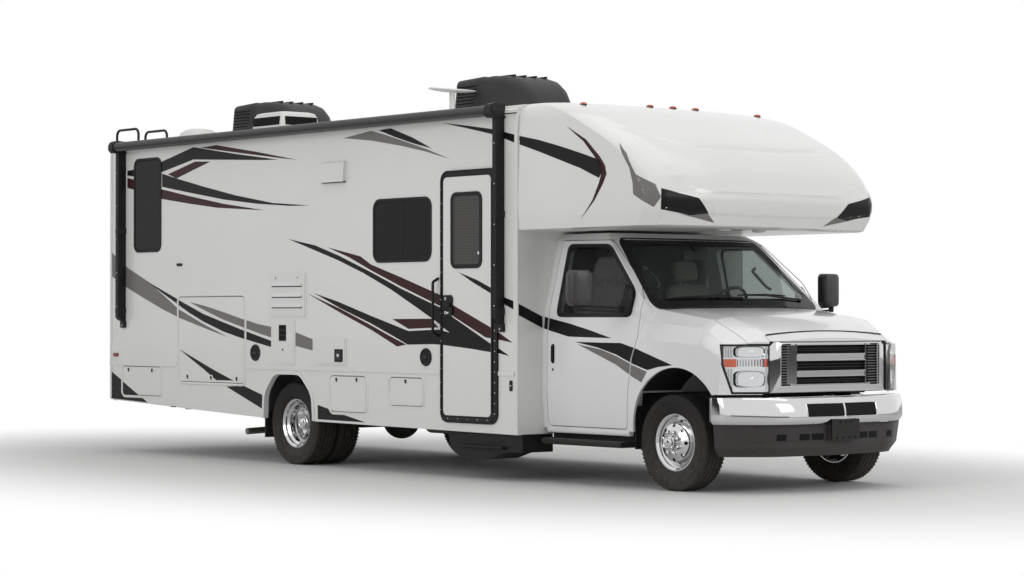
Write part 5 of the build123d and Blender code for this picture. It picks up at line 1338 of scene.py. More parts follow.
def awningPieces():
    look = awningLook
    piece = startPiece()
    y, z, radius = look["y"], look["z"], look["radius"]
    # fabric wound on the roller: a slightly spiral section with a hem slot
    profile = []
    for i in range(40):
        angle = 2 * math.pi * i / 40
        grow = radius - 0.0035 * i / 40
        profile.append(Vector((0, y + grow * math.cos(angle), z + grow * math.sin(angle))))
    addLoft(piece, [[p + Vector((x, 0, 0)) for p in profile] for x in (look["rear"], look["front"])], "awningCloth")
    # the hem rail and valance strip
    addBox(piece, (look["rear"] + 0.01, y - radius - 0.004, z - 0.020), (look["front"] - 0.01, y - radius + 0.006,
                                                                    z - 0.006), "charcoal")
    # wall rail that the fabric runs into
    addBox(piece, (look["rear"], -1.302, z + 0.020), (look["front"], -wallFace - 0.001, z + 0.052), "charcoal")
    addBox(piece, (look["rear"], y + 0.005, z + 0.0405), (look["front"], -1.300, z + 0.044), "awningCloth")
    for low, high in look["heads"]:
        head = [Vector((low, -1.272, z - 0.060)), Vector((low, -1.272, z + 0.055)), Vector((low, y + 0.01, z + 0.062)),
                Vector((low, y - 0.035, z + 0.050)), Vector((low, y - 0.058, z + 0.015)),
                Vector((low, y - 0.058, z - 0.030)), Vector((low, y - 0.030, z - 0.060))]
        addPrism(piece, head, (high - low, 0, 0), "blackPlastic")
        outer = high if low > 0 else low
        way = 1 if low > 0 else -1
        addTurned(piece, (outer, y, z), (way, 0, 0), ((0, 0), (0.040, 0), (0.036, 0.008), (0, 0.010)),
                  "frameBlack", 28)
    finishPiece(piece, "awningRoll", "root", ("awning",), bevel=0.003)
    arms = startPiece()
    for low, high, bottom in look["arms"]:
        top = z - 0.050
        near, far = look["armNear"], look["armFar"]
        # wall channel, the outer arm folded on it and the inner rafter arm
        addBox(arms, (low + 0.008, near - 0.022, bottom), (high - 0.008, near, top), "frameBlack")
        addPrism(arms, [Vector((low, near - 0.024, bottom + 0.05)), Vector((high, near - 0.024, bottom + 0.05)),
                        Vector((high, near - 0.070, bottom + 0.07)), Vector((high - 0.008, far, bottom + 0.10)),
                        Vector((low + 0.008, far, bottom + 0.10)), Vector((low, near - 0.070, bottom + 0.07))],
                 (0, 0, top - bottom - 0.05), "frameBlack")
        addBox(arms, (low + 0.004, far - 0.0015, bottom + 0.45), (high - 0.004, far + 0.002, bottom + 0.456),
               "meshBlack")
        addBox(arms, (low - 0.004, near - 0.030, bottom - 0.012), (high + 0.004, near, bottom + 0.055), "blackPlastic")
        middle = (low + high) / 2
        addBox(arms, (middle - 0.007, near - 0.0335, bottom + 0.004), (middle + 0.007, near - 0.030, bottom + 0.018),
               "whitePlastic")
        for height in (bottom + 0.13, bottom + 0.92):
            addPrism(arms, [Vector((low - 0.003, far + 0.004, height)), Vector((low - 0.003, near, height)),
                            Vector((high + 0.003, near, height)), Vector((high + 0.003, far + 0.004, height))],
                     (0, 0, 0.05), "blackPlastic")
    finishPiece(arms, "awningArms", "root", bevel=0.003)
    knobs = [growMesh(rowOfScrews, "polished", Count=5, Start=((low + high) / 2, look["armFar"], bottom + 0.20),
                      Step=(0, 0, 0.33), Head=0.006, Turn=(math.pi / 2, 0, 0)) for low, high, bottom in look["arms"]]
    placePiece("awningScrews", joinMeshes("awningScrews", knobs), "root")


awningPieces()


# roof: air conditioners, vents, dome, rails and edge trim
roofLook = {"top": 3.060, "units": (0.0, -3.579), "length": 1.036, "half": 0.345, "height": 0.400}


def roofUnit(piece, start):
    # section by section from the rear: louvred box, waist and sloping rounded nose
    look = roofLook
    base, half = look["top"], look["half"]
    stations = (
        # offset from the rear, half width at the base and at the top, height, edge radius
        (0.000, 0.322, 0.286, 0.330, 0.030), (0.030, 0.340, 0.312, 0.385, 0.060), (0.350, 0.345, 0.318, 0.400, 0.070),
        (0.372, 0.338, 0.308, 0.392, 0.070), (0.480, 0.342, 0.312, 0.398, 0.075), (0.640, 0.343, 0.306, 0.388, 0.090),
        (0.780, 0.340, 0.290, 0.352, 0.100), (0.890, 0.330, 0.262, 0.288, 0.100), (0.970, 0.312, 0.222, 0.205, 0.080),
        (1.015, 0.290, 0.190, 0.120, 0.050), (1.036, 0.262, 0.170, 0.060, 0.020),
    )
    rings = []
    for offset, low, high, height, radius in stations:
        x = start + offset
        points = []
        for i in range(9):
            angle = math.pi / 2 * i / 8
            points.append((high - radius + radius * math.sin(angle), height - radius + radius * math.cos(angle)))
        right = [(low, 0.0)] + [(low + (high - low) * 0.45, height * 0.45)] + points[::-1]
        section = [(-y, z) for y, z in right] + [(y, z) for y, z in reversed(right)]
        rings.append([Vector((x, y, base + z)) for y, z in section])
    addLoft(piece, rings, "charcoal")
    # a skirt round the base
    addBox(piece, (start + 0.02, -half, base), (start + look["length"] - 0.06, half, base + 0.020), "blackPlastic")


def roofPieces():
    look = roofLook
    piece = startPiece()
    for start in look["units"]:
        roofUnit(piece, start)
    finishPiece(piece, "roofUnits", "root", ("air_conditioners",), sharp=35)
    louvres = []
    for start in look["units"]:
        for side in (-1, 1):
            louvres.append(growMesh(rowOfBlocks, "meshBlack", Count=9,
                                    Start=(start + 0.19, side * 0.3345, look["top"] + 0.075),
                                    Step=(0, side * -0.0022, 0.030), Block=(0.27, 0.010, 0.012)))
        louvres.append(growMesh(rowOfBlocks, "meshBlack", Count=12, Start=(start + 0.012, 0, look["top"] + 0.055),
                                Step=(0.0, 0, 0.022), Block=(0.030, 0.52, 0.010)))
        louvres.append(growMesh(rowOfBlocks, "blackPlastic", Count=4, Start=(start + 0.56, -0.18, look["top"] + 0.392),
                                Step=(0, 0.12, 0), Block=(0.26, 0.020, 0.016)))
    placePiece("roofLouvres", joinMeshes("roofLouvres", louvres), "root")
    vents = startPiece()
    for x, y, height, dark in (((-2.480, -1.960), (-0.830, -0.380), 0.215, True),
                               ((-0.600, -0.240), (-0.180, 0.180), 0.120, False)):
        base = look["top"]
        addPrism(vents, [Vector((*p, base)) for p in roundRect((x[0] + 0.03, y[0] + 0.03), (x[1] - 0.03, y[1] - 0.03),
                                                              0.03, 4)], (0, 0, 0.055), "whitePlastic")
        rings = []
        for up, inset in ((0.050, 0.004), (0.065, 0.0), (height * 0.80, 0.012), (height * 0.95, 0.030),
                          (height, 0.065)):
            rings.append([Vector((*p, base + up)) for p in roundRect((x[0] + inset, y[0] + inset),
                                                                (x[1] - inset, y[1] - inset), 0.05, 6)])
        addLoft(vents, rings, "whitePlastic")
        if dark:
            addBox(vents, (x[0] + 0.045, y[0] - 0.0015, base + 0.085), (x[1] - 0.045, y[0] + 0.02, base + 0.165),
                   "meshBlack")
            addBox(vents, (x[1] - 0.02, y[0] + 0.045, base + 0.085), (x[1] + 0.0015, y[1] - 0.045, base + 0.165),
                   "meshBlack")
    # low dome over the bath and plumbing vents
    dome = []
    for up, inset in ((0.0, 0.0), (0.030, 0.0), (0.045, 0.022), (0.110, 0.048), (0.140, 0.085), (0.150, 0.130)):
        dome.append([Vector((*p, look["top"] + up)) for p in roundRect((-3.960 + inset, -0.800 + inset),
                                                                 (-3.560 - inset, -0.380 - inset), 0.09, 8)])
    addLoft(vents, dome, "whitePlastic")
    for x, y in ((-1.30, 0.55), (-3.00, 0.62)):
        addTurned(vents, (x, y, look["top"]), (0, 0, 1), ((0, 0), (0.060, 0), (0.055, 0.012), (0.030, 0.016),
                                                         (0.030, 0.075), (0.050, 0.078), (0.046, 0.095), (0, 0.100)),
                  "whitePlastic", 24)
    finishPiece(vents, "roofVents", "root", bevel=0.002)


roofPieces()


def roofAerial():
    # batwing aerial on its folding arm
    piece = startPiece()
    addTurned(piece, (0.330, -0.600, 3.060), (0, 0, 1), ((0, 0), (0.085, 0), (0.080, 0.020), (0.050, 0.045),
                                                         (0.026, 0.060),
                                                       (0.026, 0.250), (0, 0.252)), "whitePlastic", 28)
    rings = []
    for y in [-0.840 + 0.48 * i / 24 for i in range(25)]:
        reach = abs(y + 0.600) / 0.24
        wide = 0.078 * (1 - 0.55 * reach ** 2)
        thick = 0.017 * (1 - 0.45 * reach ** 2)
        rise = 3.318 + 0.006 * reach ** 2
        rings.append([Vector((0.330 + wide * math.cos(a), y, rise + thick * math.sin(a)))
                      for a in [2 * math.pi * i / 20 for i in range(20)]])
    addLoft(piece, rings, "whitePlastic")
    finishPiece(piece, "roofAerial", "root", ("roof_vents",))


roofAerial()


def edgeTrim():
    # rail along the roof's edge on both sides, with its screw cover
    piece = startPiece()
    for side in (-1, 1):
        rail = [(wallFace, 2.968), (wallFace + 0.010, 2.970), (wallFace + 0.012, 2.998), (wallFace + 0.006, 3.016),
                (wallFace - 0.020, 3.030), (wallFace - 0.022, 3.020), (wallFace, 3.008)]
        ring = [Vector((-4.320, side * y, z)) for y, z in rail]
        addPrism(piece, ring, (6.350, 0, 0), "whitePlastic")
        addBox(piece, (-4.320, side * (wallFace + 0.010), 2.980), (2.030, side * (wallFace + 0.0135), 2.990),
               "greyPlastic")
    finishPiece(piece, "roofRails", "root")


edgeTrim()
print("awning and roof made")

# cab: painted panels
def panelCopy(name, node, body):
    # the node's own form, merged and shaded smooth
    work = bmesh.new()
    work.from_mesh(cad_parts[node].data)
    bmesh.ops.remove_doubles(work, verts=work.verts, dist=0.00002)
    for face in work.faces:
        face.smooth = True
        face.material_index = 0
    sharpenEdges(work, 24)
    made = meshPiece(work, name, "cabPaint", body, (node,))
    even = made.modifiers.new("even", "WEIGHTED_NORMAL")
    even.keep_sharp = True
    return made


cabPanels = {"root": [panelCopy("cabBody", "cab_shell", "root"), panelCopy("fenders", "front_fenders", "root")]}
for sideName, side in sides:
    doorBody = f"cab_door_{sideName}"
    cabPanels[doorBody] = [panelCopy(f"cabDoor_{sideName}", doorBody, doorBody)]
panelCopy("hoodPanel", "hood", "hood")

cabDecalLook = {
    "lift": 0.0012, "step": 0.03, "gap": 0.0105, "doorRear": 2.089,
    # the door's front edge: height and x, from the sill up
    "doorFront": ((0.459, 3.026), (0.720, 3.050), (1.012, 3.090), (1.170, 3.158), (1.470, 3.184)),
    "bands": (
        ("upper", "stripeBlack", ((2.034, 1.337), (2.358, 1.281), (2.612, 1.228), (2.862, 1.169), (2.346, 1.178),
                                  (2.087, 1.230), (2.034, 1.243))),
        ("lower", "stripeBlack", ((2.425, 1.137), (2.740, 1.133), (2.974, 1.132), (3.146, 1.091), (3.415, 1.009),
                                  (3.560, 0.966), (3.400, 0.950), (3.283, 0.924), (3.124, 0.967), (2.916, 1.042),
                                  (2.700, 1.094))),
        ("grey", "stripeGrey", ((2.460, 1.118), (2.741, 1.078), (2.930, 1.026), (3.113, 0.959), (3.276, 0.912),
                                (3.216, 0.827), (3.113, 0.868), (2.917, 0.962))),
    ),
}


def cabDecals():
    look = cabDecalLook
    trees = {body: surfaceOf(*panels) for body, panels in cabPanels.items()}
    for sideName, side in sides:
        doorBody = f"cab_door_{sideName}"
        for name, finish, points in look["bands"]:
            triangles = tessellate_polygon([[Vector((x, z, 0)) for x, z in points]])
            parts = [[points[i] for i in corner] for corner in triangles]
            parts = [part if outlineArea(part) > 0 else part[::-1] for part in parts]
            onDoor = []
            for (low, lowX), (high, highX) in zip(look["doorFront"], look["doorFront"][1:]):
                for grown, kept in ((-0.002, True), (look["gap"], False)):
                    outline = [(look["doorRear"] - grown, low), (lowX + grown, low), (highX + grown, high),
                               (look["doorRear"] - grown, high)]
                    left = []
                    for part in parts:
                        inside, outside = splitByOutline(part, outline)
                        left += outside
                        if inside and kept:
                            onDoor.append(inside)
                    parts = left
            for body, pieces in ((doorBody, onDoor), ("root", parts)):
                drapedSheet(f"cab_{name}_{sideName}_{body}", pieces, trees[body], finish, body, "y",
                            side, look["lift"], look["step"])
        # the band's run across the house's front wall
        band = startPiece()
        ring = [(side * 1.262, 1.443), (side * 1.010, 1.340), (side * 1.010, 1.246), (side * 1.262, 1.350)]
        addPrism(band, [Vector((2.0303, y, z)) for y, z in ring], (0.0009, 0, 0), "stripeBlack")
        finishPiece(band, f"wallBand_{sideName}", "root")


cabDecals()
print("cab painted and striped")


# headlamps, set in a frame that runs inwards along the lamp's slanted face
lampLook = {"outer": (4.067, 0.973), "along": (0.5130, -0.8584), "out": (0.8584, 0.5130), "length": 0.376,
            "low": 0.757, "high": 1.128, "chamferHeight": 0.985, "chamferAlong": 0.079, "rim": 0.014,
            "floorDepth": 0.062, "bowls": ((0.232, 1.070, 0.110, 0.040), (0.232, 0.868, 0.112, 0.060)),
            "bowlDepth": 0.036, "amber": ((0.016, 0.118), (0.332, 0.356)), "amberHeight": (0.958, 1.018),
            "ribs": 9, "flutes": 7}


def lampPlace(side, along, height, out):
    look = lampLook
    return Vector((look["outer"][0] + look["along"][0] * along + look["out"][0] * out,
                   side * (look["outer"][1] + look["along"][1] * along + look["out"][1] * out), height))


def lampBlock(piece, side, along, height, back, front, finish):
    ring = [(along[0], height[0]), (along[1], height[0]), (along[1], height[1]), (along[0], height[1])]
    addLoft(piece, [[lampPlace(side, a, z, out) for a, z in ring] for out in (back, front)], finish)


def lampOutline(inset):
    look = lampLook
    return [(inset, look["high"] - inset), (inset, look["chamferHeight"] + inset * 0.2),
            (look["chamferAlong"] + inset * 0.8, look["low"] + inset), (look["length"] - inset, look["low"] + inset),
            (look["length"] - inset, look["high"] - inset)]


def reflectorBowl(piece, side, along, height, halfAlong, halfUp):
    # a squared bowl with a raised rim and a bulb shield in its middle
    depth = lampLook["bowlDepth"]
    turns = [2 * math.pi * k / 36 for k in range(36)]

    def section(share, out, reachAlong=halfAlong, reachUp=halfUp):
        points = []
        for turn in turns:
            across, up = math.cos(turn), math.sin(turn)
            squared = 1 / (abs(across) ** 4 + abs(up) ** 4) ** 0.25
            points.append(lampPlace(side, along + reachAlong * share * across * squared,
                                    height + reachUp * share * up * squared, -0.018 + out))
        return points

    bowl = ((1.06, -0.010), (1.04, 0.0), (1.0, 0.0), (0.95, -0.005), (0.86, -depth * 0.40), (0.70, -depth * 0.70),
            (0.48, -depth * 0.90), (0.22, -depth), (0.05, -depth))
    addLoft(piece, [section(share, out) for share, out in bowl], "chrome")
    shield = ((0.020, -depth), (0.020, -depth + 0.022), (0.016, -depth + 0.026), (0.003, -depth + 0.028))
    addLoft(piece, [section(1.0, out, reach, reach) for reach, out in shield], "polished")


def headlamps():
    look = lampLook
    for sideName, side in sides:
        piece = startPiece()
        rings = [[lampPlace(side, a, z, out) for a, z in lampOutline(inset)]
                 for inset, out in ((0.003, -0.085), (0.003, -0.004), (look["rim"], -0.004),
                                    (look["rim"], -look["floorDepth"]))]
        addLoft(piece, rings[:2], "blackPlastic", ends=False)
        addLoft(piece, rings[1:3], "blackPlastic", ends=False)
        addLoft(piece, rings[2:], "chrome", ends=False)
        floorRings = [[lampPlace(side, a, z, out) for a, z in lampOutline(inset)]
                      for inset, out in ((0.003, -0.085), (look["rim"], -look["floorDepth"]))]
        addFaces(piece, floorRings[0], [(4, 3, 2, 1, 0)], "blackPlastic")
        addFaces(piece, floorRings[1], [(0, 1, 2, 3, 4)], "chrome")
        bmesh.ops.remove_doubles(piece["mesh"], verts=piece["mesh"].verts, dist=0.0002)
        for bowl in look["bowls"]:
            reflectorBowl(piece, side, *bowl)
        for along in look["amber"]:
            lampBlock(piece, side, along, look["amberHeight"], -0.054, -0.012, "amberLens")
        for step in range(look["flutes"]):
            along = 0.022 + 0.0125 * step
            low = max(0.985 - max(0.0, along - 0.012) * 2.6, 0.790)
            for height in ((low, 0.948), (1.028, 1.108)):
                if height[1] - height[0] > 0.012:
                    lampBlock(piece, side, (along, along + 0.006), height, -0.058, -0.046, "polished")
        lampBlock(piece, side, (0.124, 0.326), (0.962, 1.014), -0.058, -0.040, "chrome")
        finishPiece(piece, f"lampInside_{sideName}", "root",
                    ("headlamps",) if side < 0 else (), bevel=0.0008)
        step = lampPlace(side, 1 / look["ribs"] * 0.196, 0, 0) - lampPlace(side, 0, 0, 0)
        ribs = [growMesh(rowOfBlocks, "polished", Count=look["ribs"], Start=lampPlace(side, 0.136, 0.988, -0.036),
                         Step=step, Block=(0.008, 0.007, 0.046))]
        placePiece(f"lampRibs_{sideName}", joinMeshes(f"lampRibs_{sideName}", ribs), "root")
        cover = startPiece()
        addLoft(cover, [[lampPlace(side, a, z, out) for a, z in lampOutline(inset)]
                        for inset, out in ((0.002, -0.003), (0.002, -0.001), (0.006, 0.0015))], "lampGlass")
        finishPiece(cover, f"lampCover_{sideName}", "root")


headlamps()
print("headlamps made")


noseLook = {"half": 0.642, "low": 0.758, "high": 1.152, "innerX": 4.260, "innerY": 0.650, "middleX": 4.292,
            "barHalf": 0.380, "postOuter": 0.444, "meshOuter": 0.546, "meshDepth": 0.046, "slats": 15}


def frontX(y, proud=0.0):
    # bowed front of the nose in plan
    look = noseLook
    return look["innerX"] + (look["middleX"] - look["innerX"]) * (1 - (y / look["innerY"]) ** 2) + proud


def bowedBar(piece, z, y, back, front, finish, steps=14, lip=0.0):
    # a bar along the bow; its front edges are drawn in by lip
    rings = []
    for i in range(steps + 1):
        across = y[0] + (y[1] - y[0]) * i / steps
        rings.append([Vector((frontX(across, deep), across, height)) for deep, height in (
            (back, z[0]), (front, z[0] + lip), (front, z[1] - lip), (back, z[1]))])
    addLoft(piece, rings, finish)


def grillePieces():
    look = noseLook
    piece = startPiece()
    half, low, high = look["half"], look["low"], look["high"]
    # the surround falls back towards its outer edge; each row: how far in, proud of the nose
    outer = [(-half, low), (half, low), (half, high - 0.040), (half - 0.045, high), (-half + 0.045, high),
             (-half, high - 0.040)]
    inner = [(-look["meshOuter"], 0.814), (look["meshOuter"], 0.814), (look["meshOuter"], 1.118),
             (look["meshOuter"] - 0.012, 1.132), (-look["meshOuter"] + 0.012, 1.132), (-look["meshOuter"], 1.118)]
    rows = ((0.0, -0.034), (0.0, -0.014), (0.10, -0.008), (0.90, 0.010), (0.97, 0.010), (1.0, 0.006), (1.0, -0.046))
    for (ay, az), (by, bz), (cy, cz), (dy, dz) in zip(outer, outer[1:] + outer[:1], inner, inner[1:] + inner[:1]):
        count = 14 if abs(by - ay) > 0.5 else 3
        rings = []
        for i in range(count + 1):
            t = i / count
            start = (ay + (by - ay) * t, az + (bz - az) * t)
            end = (cy + (dy - cy) * t, cz + (dz - cz) * t)
            ring = []
            for share, proud in rows:
                y = start[0] + (end[0] - start[0]) * share
                ring.append(Vector((frontX(y, proud), y, start[1] + (end[1] - start[1]) * share)))
            rings.append(ring)
        points = [p for ring in rings for p in ring]
        width = len(rows)
        faces = [(r * width + k, (r + 1) * width + k, (r + 1) * width + k + 1, r * width + k + 1)
                 for r in range(count) for k in range(width - 1)]
        addFaces(piece, points, faces, "chrome")
    bmesh.ops.remove_doubles(piece["mesh"], verts=piece["mesh"].verts, dist=0.0003)
    bowedBar(piece, (low + 0.030, high - 0.016), (-0.600, 0.600), -0.052, -0.046, "meshBlack")
    for side in (-1, 1):
        # post that slopes from the bars back to the side mesh
        rings = [[Vector((frontX(side * y, proud), side * y, z)) for y, proud in
                  ((look["barHalf"], -0.046), (look["barHalf"], 0.0), (look["barHalf"] + 0.008, 0.004),
                   (look["postOuter"], -look["meshDepth"] + 0.006), (look["postOuter"], -0.046))]
                 for z in (0.812, 1.134)]
        addLoft(piece, rings, "chrome")
        bowedBar(piece, (0.814, 1.132), sorted((side * (look["meshOuter"] - 0.012), side * look["meshOuter"])), -0.046,
                 -0.006, "chrome", steps=1, lip=0.002)
    # two double bars: a broad face with a proud lip at its upper and lower edge
    for z in ((0.999, 1.058), (0.877, 0.929)):
        bowedBar(piece, z, (-look["barHalf"], look["barHalf"]), -0.040, -0.006, "chrome", lip=0.004)
        bowedBar(piece, (z[1] - 0.014, z[1]), (-look["barHalf"], look["barHalf"]), -0.012, 0.003, "chrome", lip=0.002)
        bowedBar(piece, (z[0], z[0] + 0.010), (-look["barHalf"], look["barHalf"]), -0.012, 0.003, "chrome", lip=0.002)
    for z in ((0.812, 0.826), (1.120, 1.134)):
        bowedBar(piece, z, (-look["postOuter"], look["postOuter"]), -0.046, -0.002, "chrome", lip=0.002)
    finishPiece(piece, "grilleFrame", "root", ("grille",), bevel=0.0012)
    ribbons = startPiece()
    for height in (0.842, 0.857, 0.953, 0.975, 1.080, 1.096):
        bowedBar(ribbons, (height - 0.002, height + 0.002), (-look["barHalf"], look["barHalf"]), -0.036, -0.022,
                 "charcoal", steps=10)
    finishPiece(ribbons, "grilleRibbons", "root")
    slats = []
    for side in (-1, 1):
        middle = side * (look["postOuter"] + look["meshOuter"]) / 2
        slats.append(growMesh(rowOfBlocks, "stripeGrey", Count=look["slats"],
                              Start=(frontX(middle, -0.034), middle, 0.828), Step=(0, 0, 0.0210),
                              Block=(0.016, 0.092, 0.007)))
        slats.append(growMesh(rowOfBlocks, "blackPlastic", Count=3,
                              Start=(frontX(middle, -0.040), middle - 0.026, 0.973), Step=(0, 0.026, 0),
                              Block=(0.008, 0.004, 0.300)))
    placePiece("grilleMesh", joinMeshes("grilleMesh", slats), "root")


grillePieces()


bumperLook = {
    # plan of the lower and the upper edge: where the side ends, the corner, the middle
    "low": ((4.122, 1.010), (4.380, 0.640), (4.4275, 0.0)), "high": ((4.098, 1.008), (4.322, 0.640), (4.362, 0.0)),
    # height, share of the way from the lower plan to the upper one, inset
    "section": ((0.534, 0.0, 0.034), (0.5245, 0.0, 0.022), (0.524, 0.0, 0.016), (0.528, 0.0, 0.012),
                (0.549, 0.0, 0.001), (0.553, 0.0, 0.0), (0.600, 0.04, 0.0), (0.645, 0.16, 0.0), (0.675, 0.32, 0.0),
                (0.698, 0.52, 0.0), (0.715, 0.74, 0.0), (0.726, 0.95, 0.0), (0.7315, 1.0, 0.014),
                (0.7325, 1.0, 0.024), (0.7325, 1.0, 0.120)),
    "slotY": (0.009, 0.380), "slotZ": (0.579, 0.677), "back": 3.975, "points": 52,
    "plate": {"x": 4.4282, "thick": 0.0022, "half": 0.154, "low": 0.396, "high": 0.556},
}


def planCurve(share, inset):
    # the wrapped plan of the bumper from its right rear end round to its left one
    look = bumperLook
    side, turn, middle = [(a[0] + (b[0] - a[0]) * share, a[1] + (b[1] - a[1]) * share)
                          for a, b in zip(look["low"], look["high"])]
    edge = side[1] - inset
    path = roundedPath([(look["back"], -edge, 0), (side[0] - inset, -edge, 0), (turn[0] - inset, -turn[1], 0),
                        (middle[0] - inset, 0, 0)], 0.14, 8)
    lengths = [0.0]
    for a, b in zip(path, path[1:]):
        lengths.append(lengths[-1] + (b - a).length)
    count = look["points"]
    places = []
    for i in range(count + 1):
        want = lengths[-1] * i / count
        at = max(k for k in range(len(lengths) - 1) if lengths[k] <= want + 1e-9)
        places.append(path[at].lerp(path[at + 1], (want - lengths[at]) / max(lengths[at + 1] - lengths[at], 1e-9)))
    for _ in range(8):
        places = [places[0]] + [(a + b * 2 + c) / 4 for a, b, c in zip(places, places[1:], places[2:])] + [places[-1]]
    places[-1].x = middle[0] - inset
    return [(p.x, p.y) for p in places[:-1]] + [(p.x, -p.y) for p in reversed(places)]


def bumperX(y, z):
    # front face of the bumper at a place across and a height
    rows = bumperLook["section"]
    share = inset = 0.0
    for low, high in zip(rows, rows[1:]):
        if low[0] <= z <= high[0] and high[0] > low[0]:
            part = (z - low[0]) / (high[0] - low[0])
            share, inset = low[1] + (high[1] - low[1]) * part, low[2] + (high[2] - low[2]) * part
    front = planCurve(share, inset)
    for (ax, ay), (bx, by) in zip(front, front[1:]):
        if ay <= y <= by and by > ay:
            return ax + (bx - ax) * (y - ay) / (by - ay)
    return front[len(front) // 2][0]


def onBumper(piece, y, z, out, finish, across=10, up=6):
    # a patch that follows the bumper's face
    points = []
    for i in range(across + 1):
        for j in range(up + 1):
            place, height = y[0] + (y[1] - y[0]) * i / across, z[0] + (z[1] - z[0]) * j / up
            points.append(Vector((bumperX(place, height) + out, place, height)))
    width = up + 1
    faces = [(i * width + j, (i + 1) * width + j, (i + 1) * width + j + 1, i * width + j + 1)
             for i in range(across) for j in range(up)]
    addFaces(piece, points, faces, finish)


def bumperPieces():
    look = bumperLook
    work = bmesh.new()
    grid = [[work.verts.new((x, y, height)) for x, y in planCurve(share, inset)]
            for height, share, inset in look["section"]]
    for low, high in zip(grid, grid[1:]):
        for i in range(len(low) - 1):
            work.faces.new((low[i], low[i + 1], high[i + 1], high[i])).smooth = True
    bmesh.ops.recalc_face_normals(work, faces=work.faces)
    if sum(face.normal.x for face in work.faces) < 0:
        bmesh.ops.reverse_faces(work, faces=work.faces)
    sharpenEdges(work, 40)
    skin = meshPiece(work, "bumperSkin", "chrome", "root", ("front_bumper",))
    thick = skin.modifiers.new("thick", "SOLIDIFY")
    thick.thickness = 0.003
    thick.offset = -1
    piece = startPiece()
    near, far = look["slotY"]
    low, high = look["slotZ"]
    for y in ((-far, -near), (near, far)):
        onBumper(piece, y, (low, high), 0.0012, "meshBlack")
        edge = roundRect((y[0] - 0.003, low - 0.003), (y[1] + 0.003, high + 0.003), 0.008, 3)
        path = []
        for (ay, az), (by, bz) in zip(edge, edge[1:] + edge[:1]):
            count = max(1, round(math.dist((ay, az), (by, bz)) / 0.03))
            path += [(ay + (by - ay) * i / count, az + (bz - az) * i / count) for i in range(count)]
        path.append(path[0])
        addTube(piece, [(bumperX(across, up) + 0.001, across, up) for across, up in path], 0.0032, "chrome", 6)
    # empty plate carrier over the bumper's lower edge, with its square holes
    plate = look["plate"]
    addLoft(piece, [[Vector((plate["x"] + out, y, z)) for y, z in roundRect((-plate["half"], plate["low"]),
                                                                          (plate["half"], plate["high"]), 0.012, 3)]
                    for out in (0.0, plate["thick"])], "blackPlastic")
    addBox(piece, (plate["x"] - 0.030, -plate["half"] + 0.02, 0.440), (plate["x"], plate["half"] - 0.02, 0.515),
           "blackPlastic")
    for y, z, width, tall in ((-0.060, 0.536, 0.026, 0.014), (0.000, 0.536, 0.026, 0.014),
                              (0.060, 0.536, 0.026, 0.014), (-0.100, 0.415, 0.022, 0.018),
                              (-0.030, 0.415, 0.022, 0.018),
                              (0.040, 0.415, 0.022, 0.018), (0.105, 0.415, 0.022, 0.018)):
        hole = [(y - width / 2, z - tall / 2), (y + width / 2, z - tall / 2), (y + width / 2, z + tall / 2),
                (y - width / 2, z + tall / 2)]
        addPrism(piece, [Vector((plate["x"] + plate["thick"], a, b)) for a, b in hole], (0.0005, 0, 0), "meshBlack")
    finishPiece(piece, "bumperTrim", "root", bevel=0.0006)


bumperPieces()
print("grille and bumper made")

# glass edges, cowl, wipers and mirrors
glassLook = {"low": 1.398, "high": 1.972, "lowHalf": 0.930, "highHalf": 0.768, "band": 0.062, "lowBand": 0.086,
             "highBand": 0.060}


def trapezoid(lowHalf, highHalf, low, high, radius, steps=6):
    # y, z outline of the windscreen with round corners
    points = []
    for y, z in roundRect((-lowHalf, low), (lowHalf, high), radius, steps):
        share = (z - low) / (high - low)
        points.append((y * (1 + (highHalf / lowHalf - 1) * share), z))
    return points


# the cab's skin: height, half width, front x at the corners, front x in the middle
cabLevels = ((1.155, 1.005, 3.165, 3.230), (1.400, 0.978, 3.262, 3.345), (1.959, 0.838, 2.660, 2.748),
             (2.012, 0.775, 2.570, 2.655))


def cabSkin(height):
    for low, high in zip(cabLevels, cabLevels[1:]):
        if low[0] <= height <= high[0]:
            share = (height - low[0]) / (high[0] - low[0])
            return [a + (b - a) * share for a, b in zip(low[1:], high[1:])]
    return cabLevels[0][1:]


def screenPlace(y, z, out=0.0):
    # a place on the sloping screen, out along its slope
    half, corner, middle = cabSkin(z)
    sag = middle - corner
    radius = (half ** 2 + sag ** 2) / (2 * sag)
    x = middle - (radius - math.sqrt(radius ** 2 - y ** 2))
    return Vector((x + out * 0.68, y, z + out * 0.73))


def runCounts(outline, step):
    # how many points each run of a closed outline is cut into
    return [max(1, round(math.dist(a, b) / step)) for a, b in zip(outline, outline[1:] + outline[:1])]


def spread(outline, counts):
    points = []
    for (ax, ay), (bx, by), count in zip(outline, outline[1:] + outline[:1], counts):
        points += [(ax + (bx - ax) * i / count, ay + (by - ay) * i / count) for i in range(count)]
    return points


def bandPiece(name, outer, inner, place, thick, finish, body):
    # a closed band between two outlines of the same count on a curved surface
    counts = runCounts(outer, 0.05)
    outer, inner = spread(outer, counts), spread(inner, counts)
    mixed = [outer, [((a[0] + b[0]) / 2, (a[1] + b[1]) / 2) for a, b in zip(outer, inner)], inner]
    rings = [[place(*p, 0.0) for p in ring] for ring in mixed]
    raised = [[place(*p, thick) for p in ring] for ring in reversed(mixed)]
    piece = startPiece()
    addLoft(piece, rings + raised, finish, loop=True)
    finishPiece(piece, name, body, sharp=30)


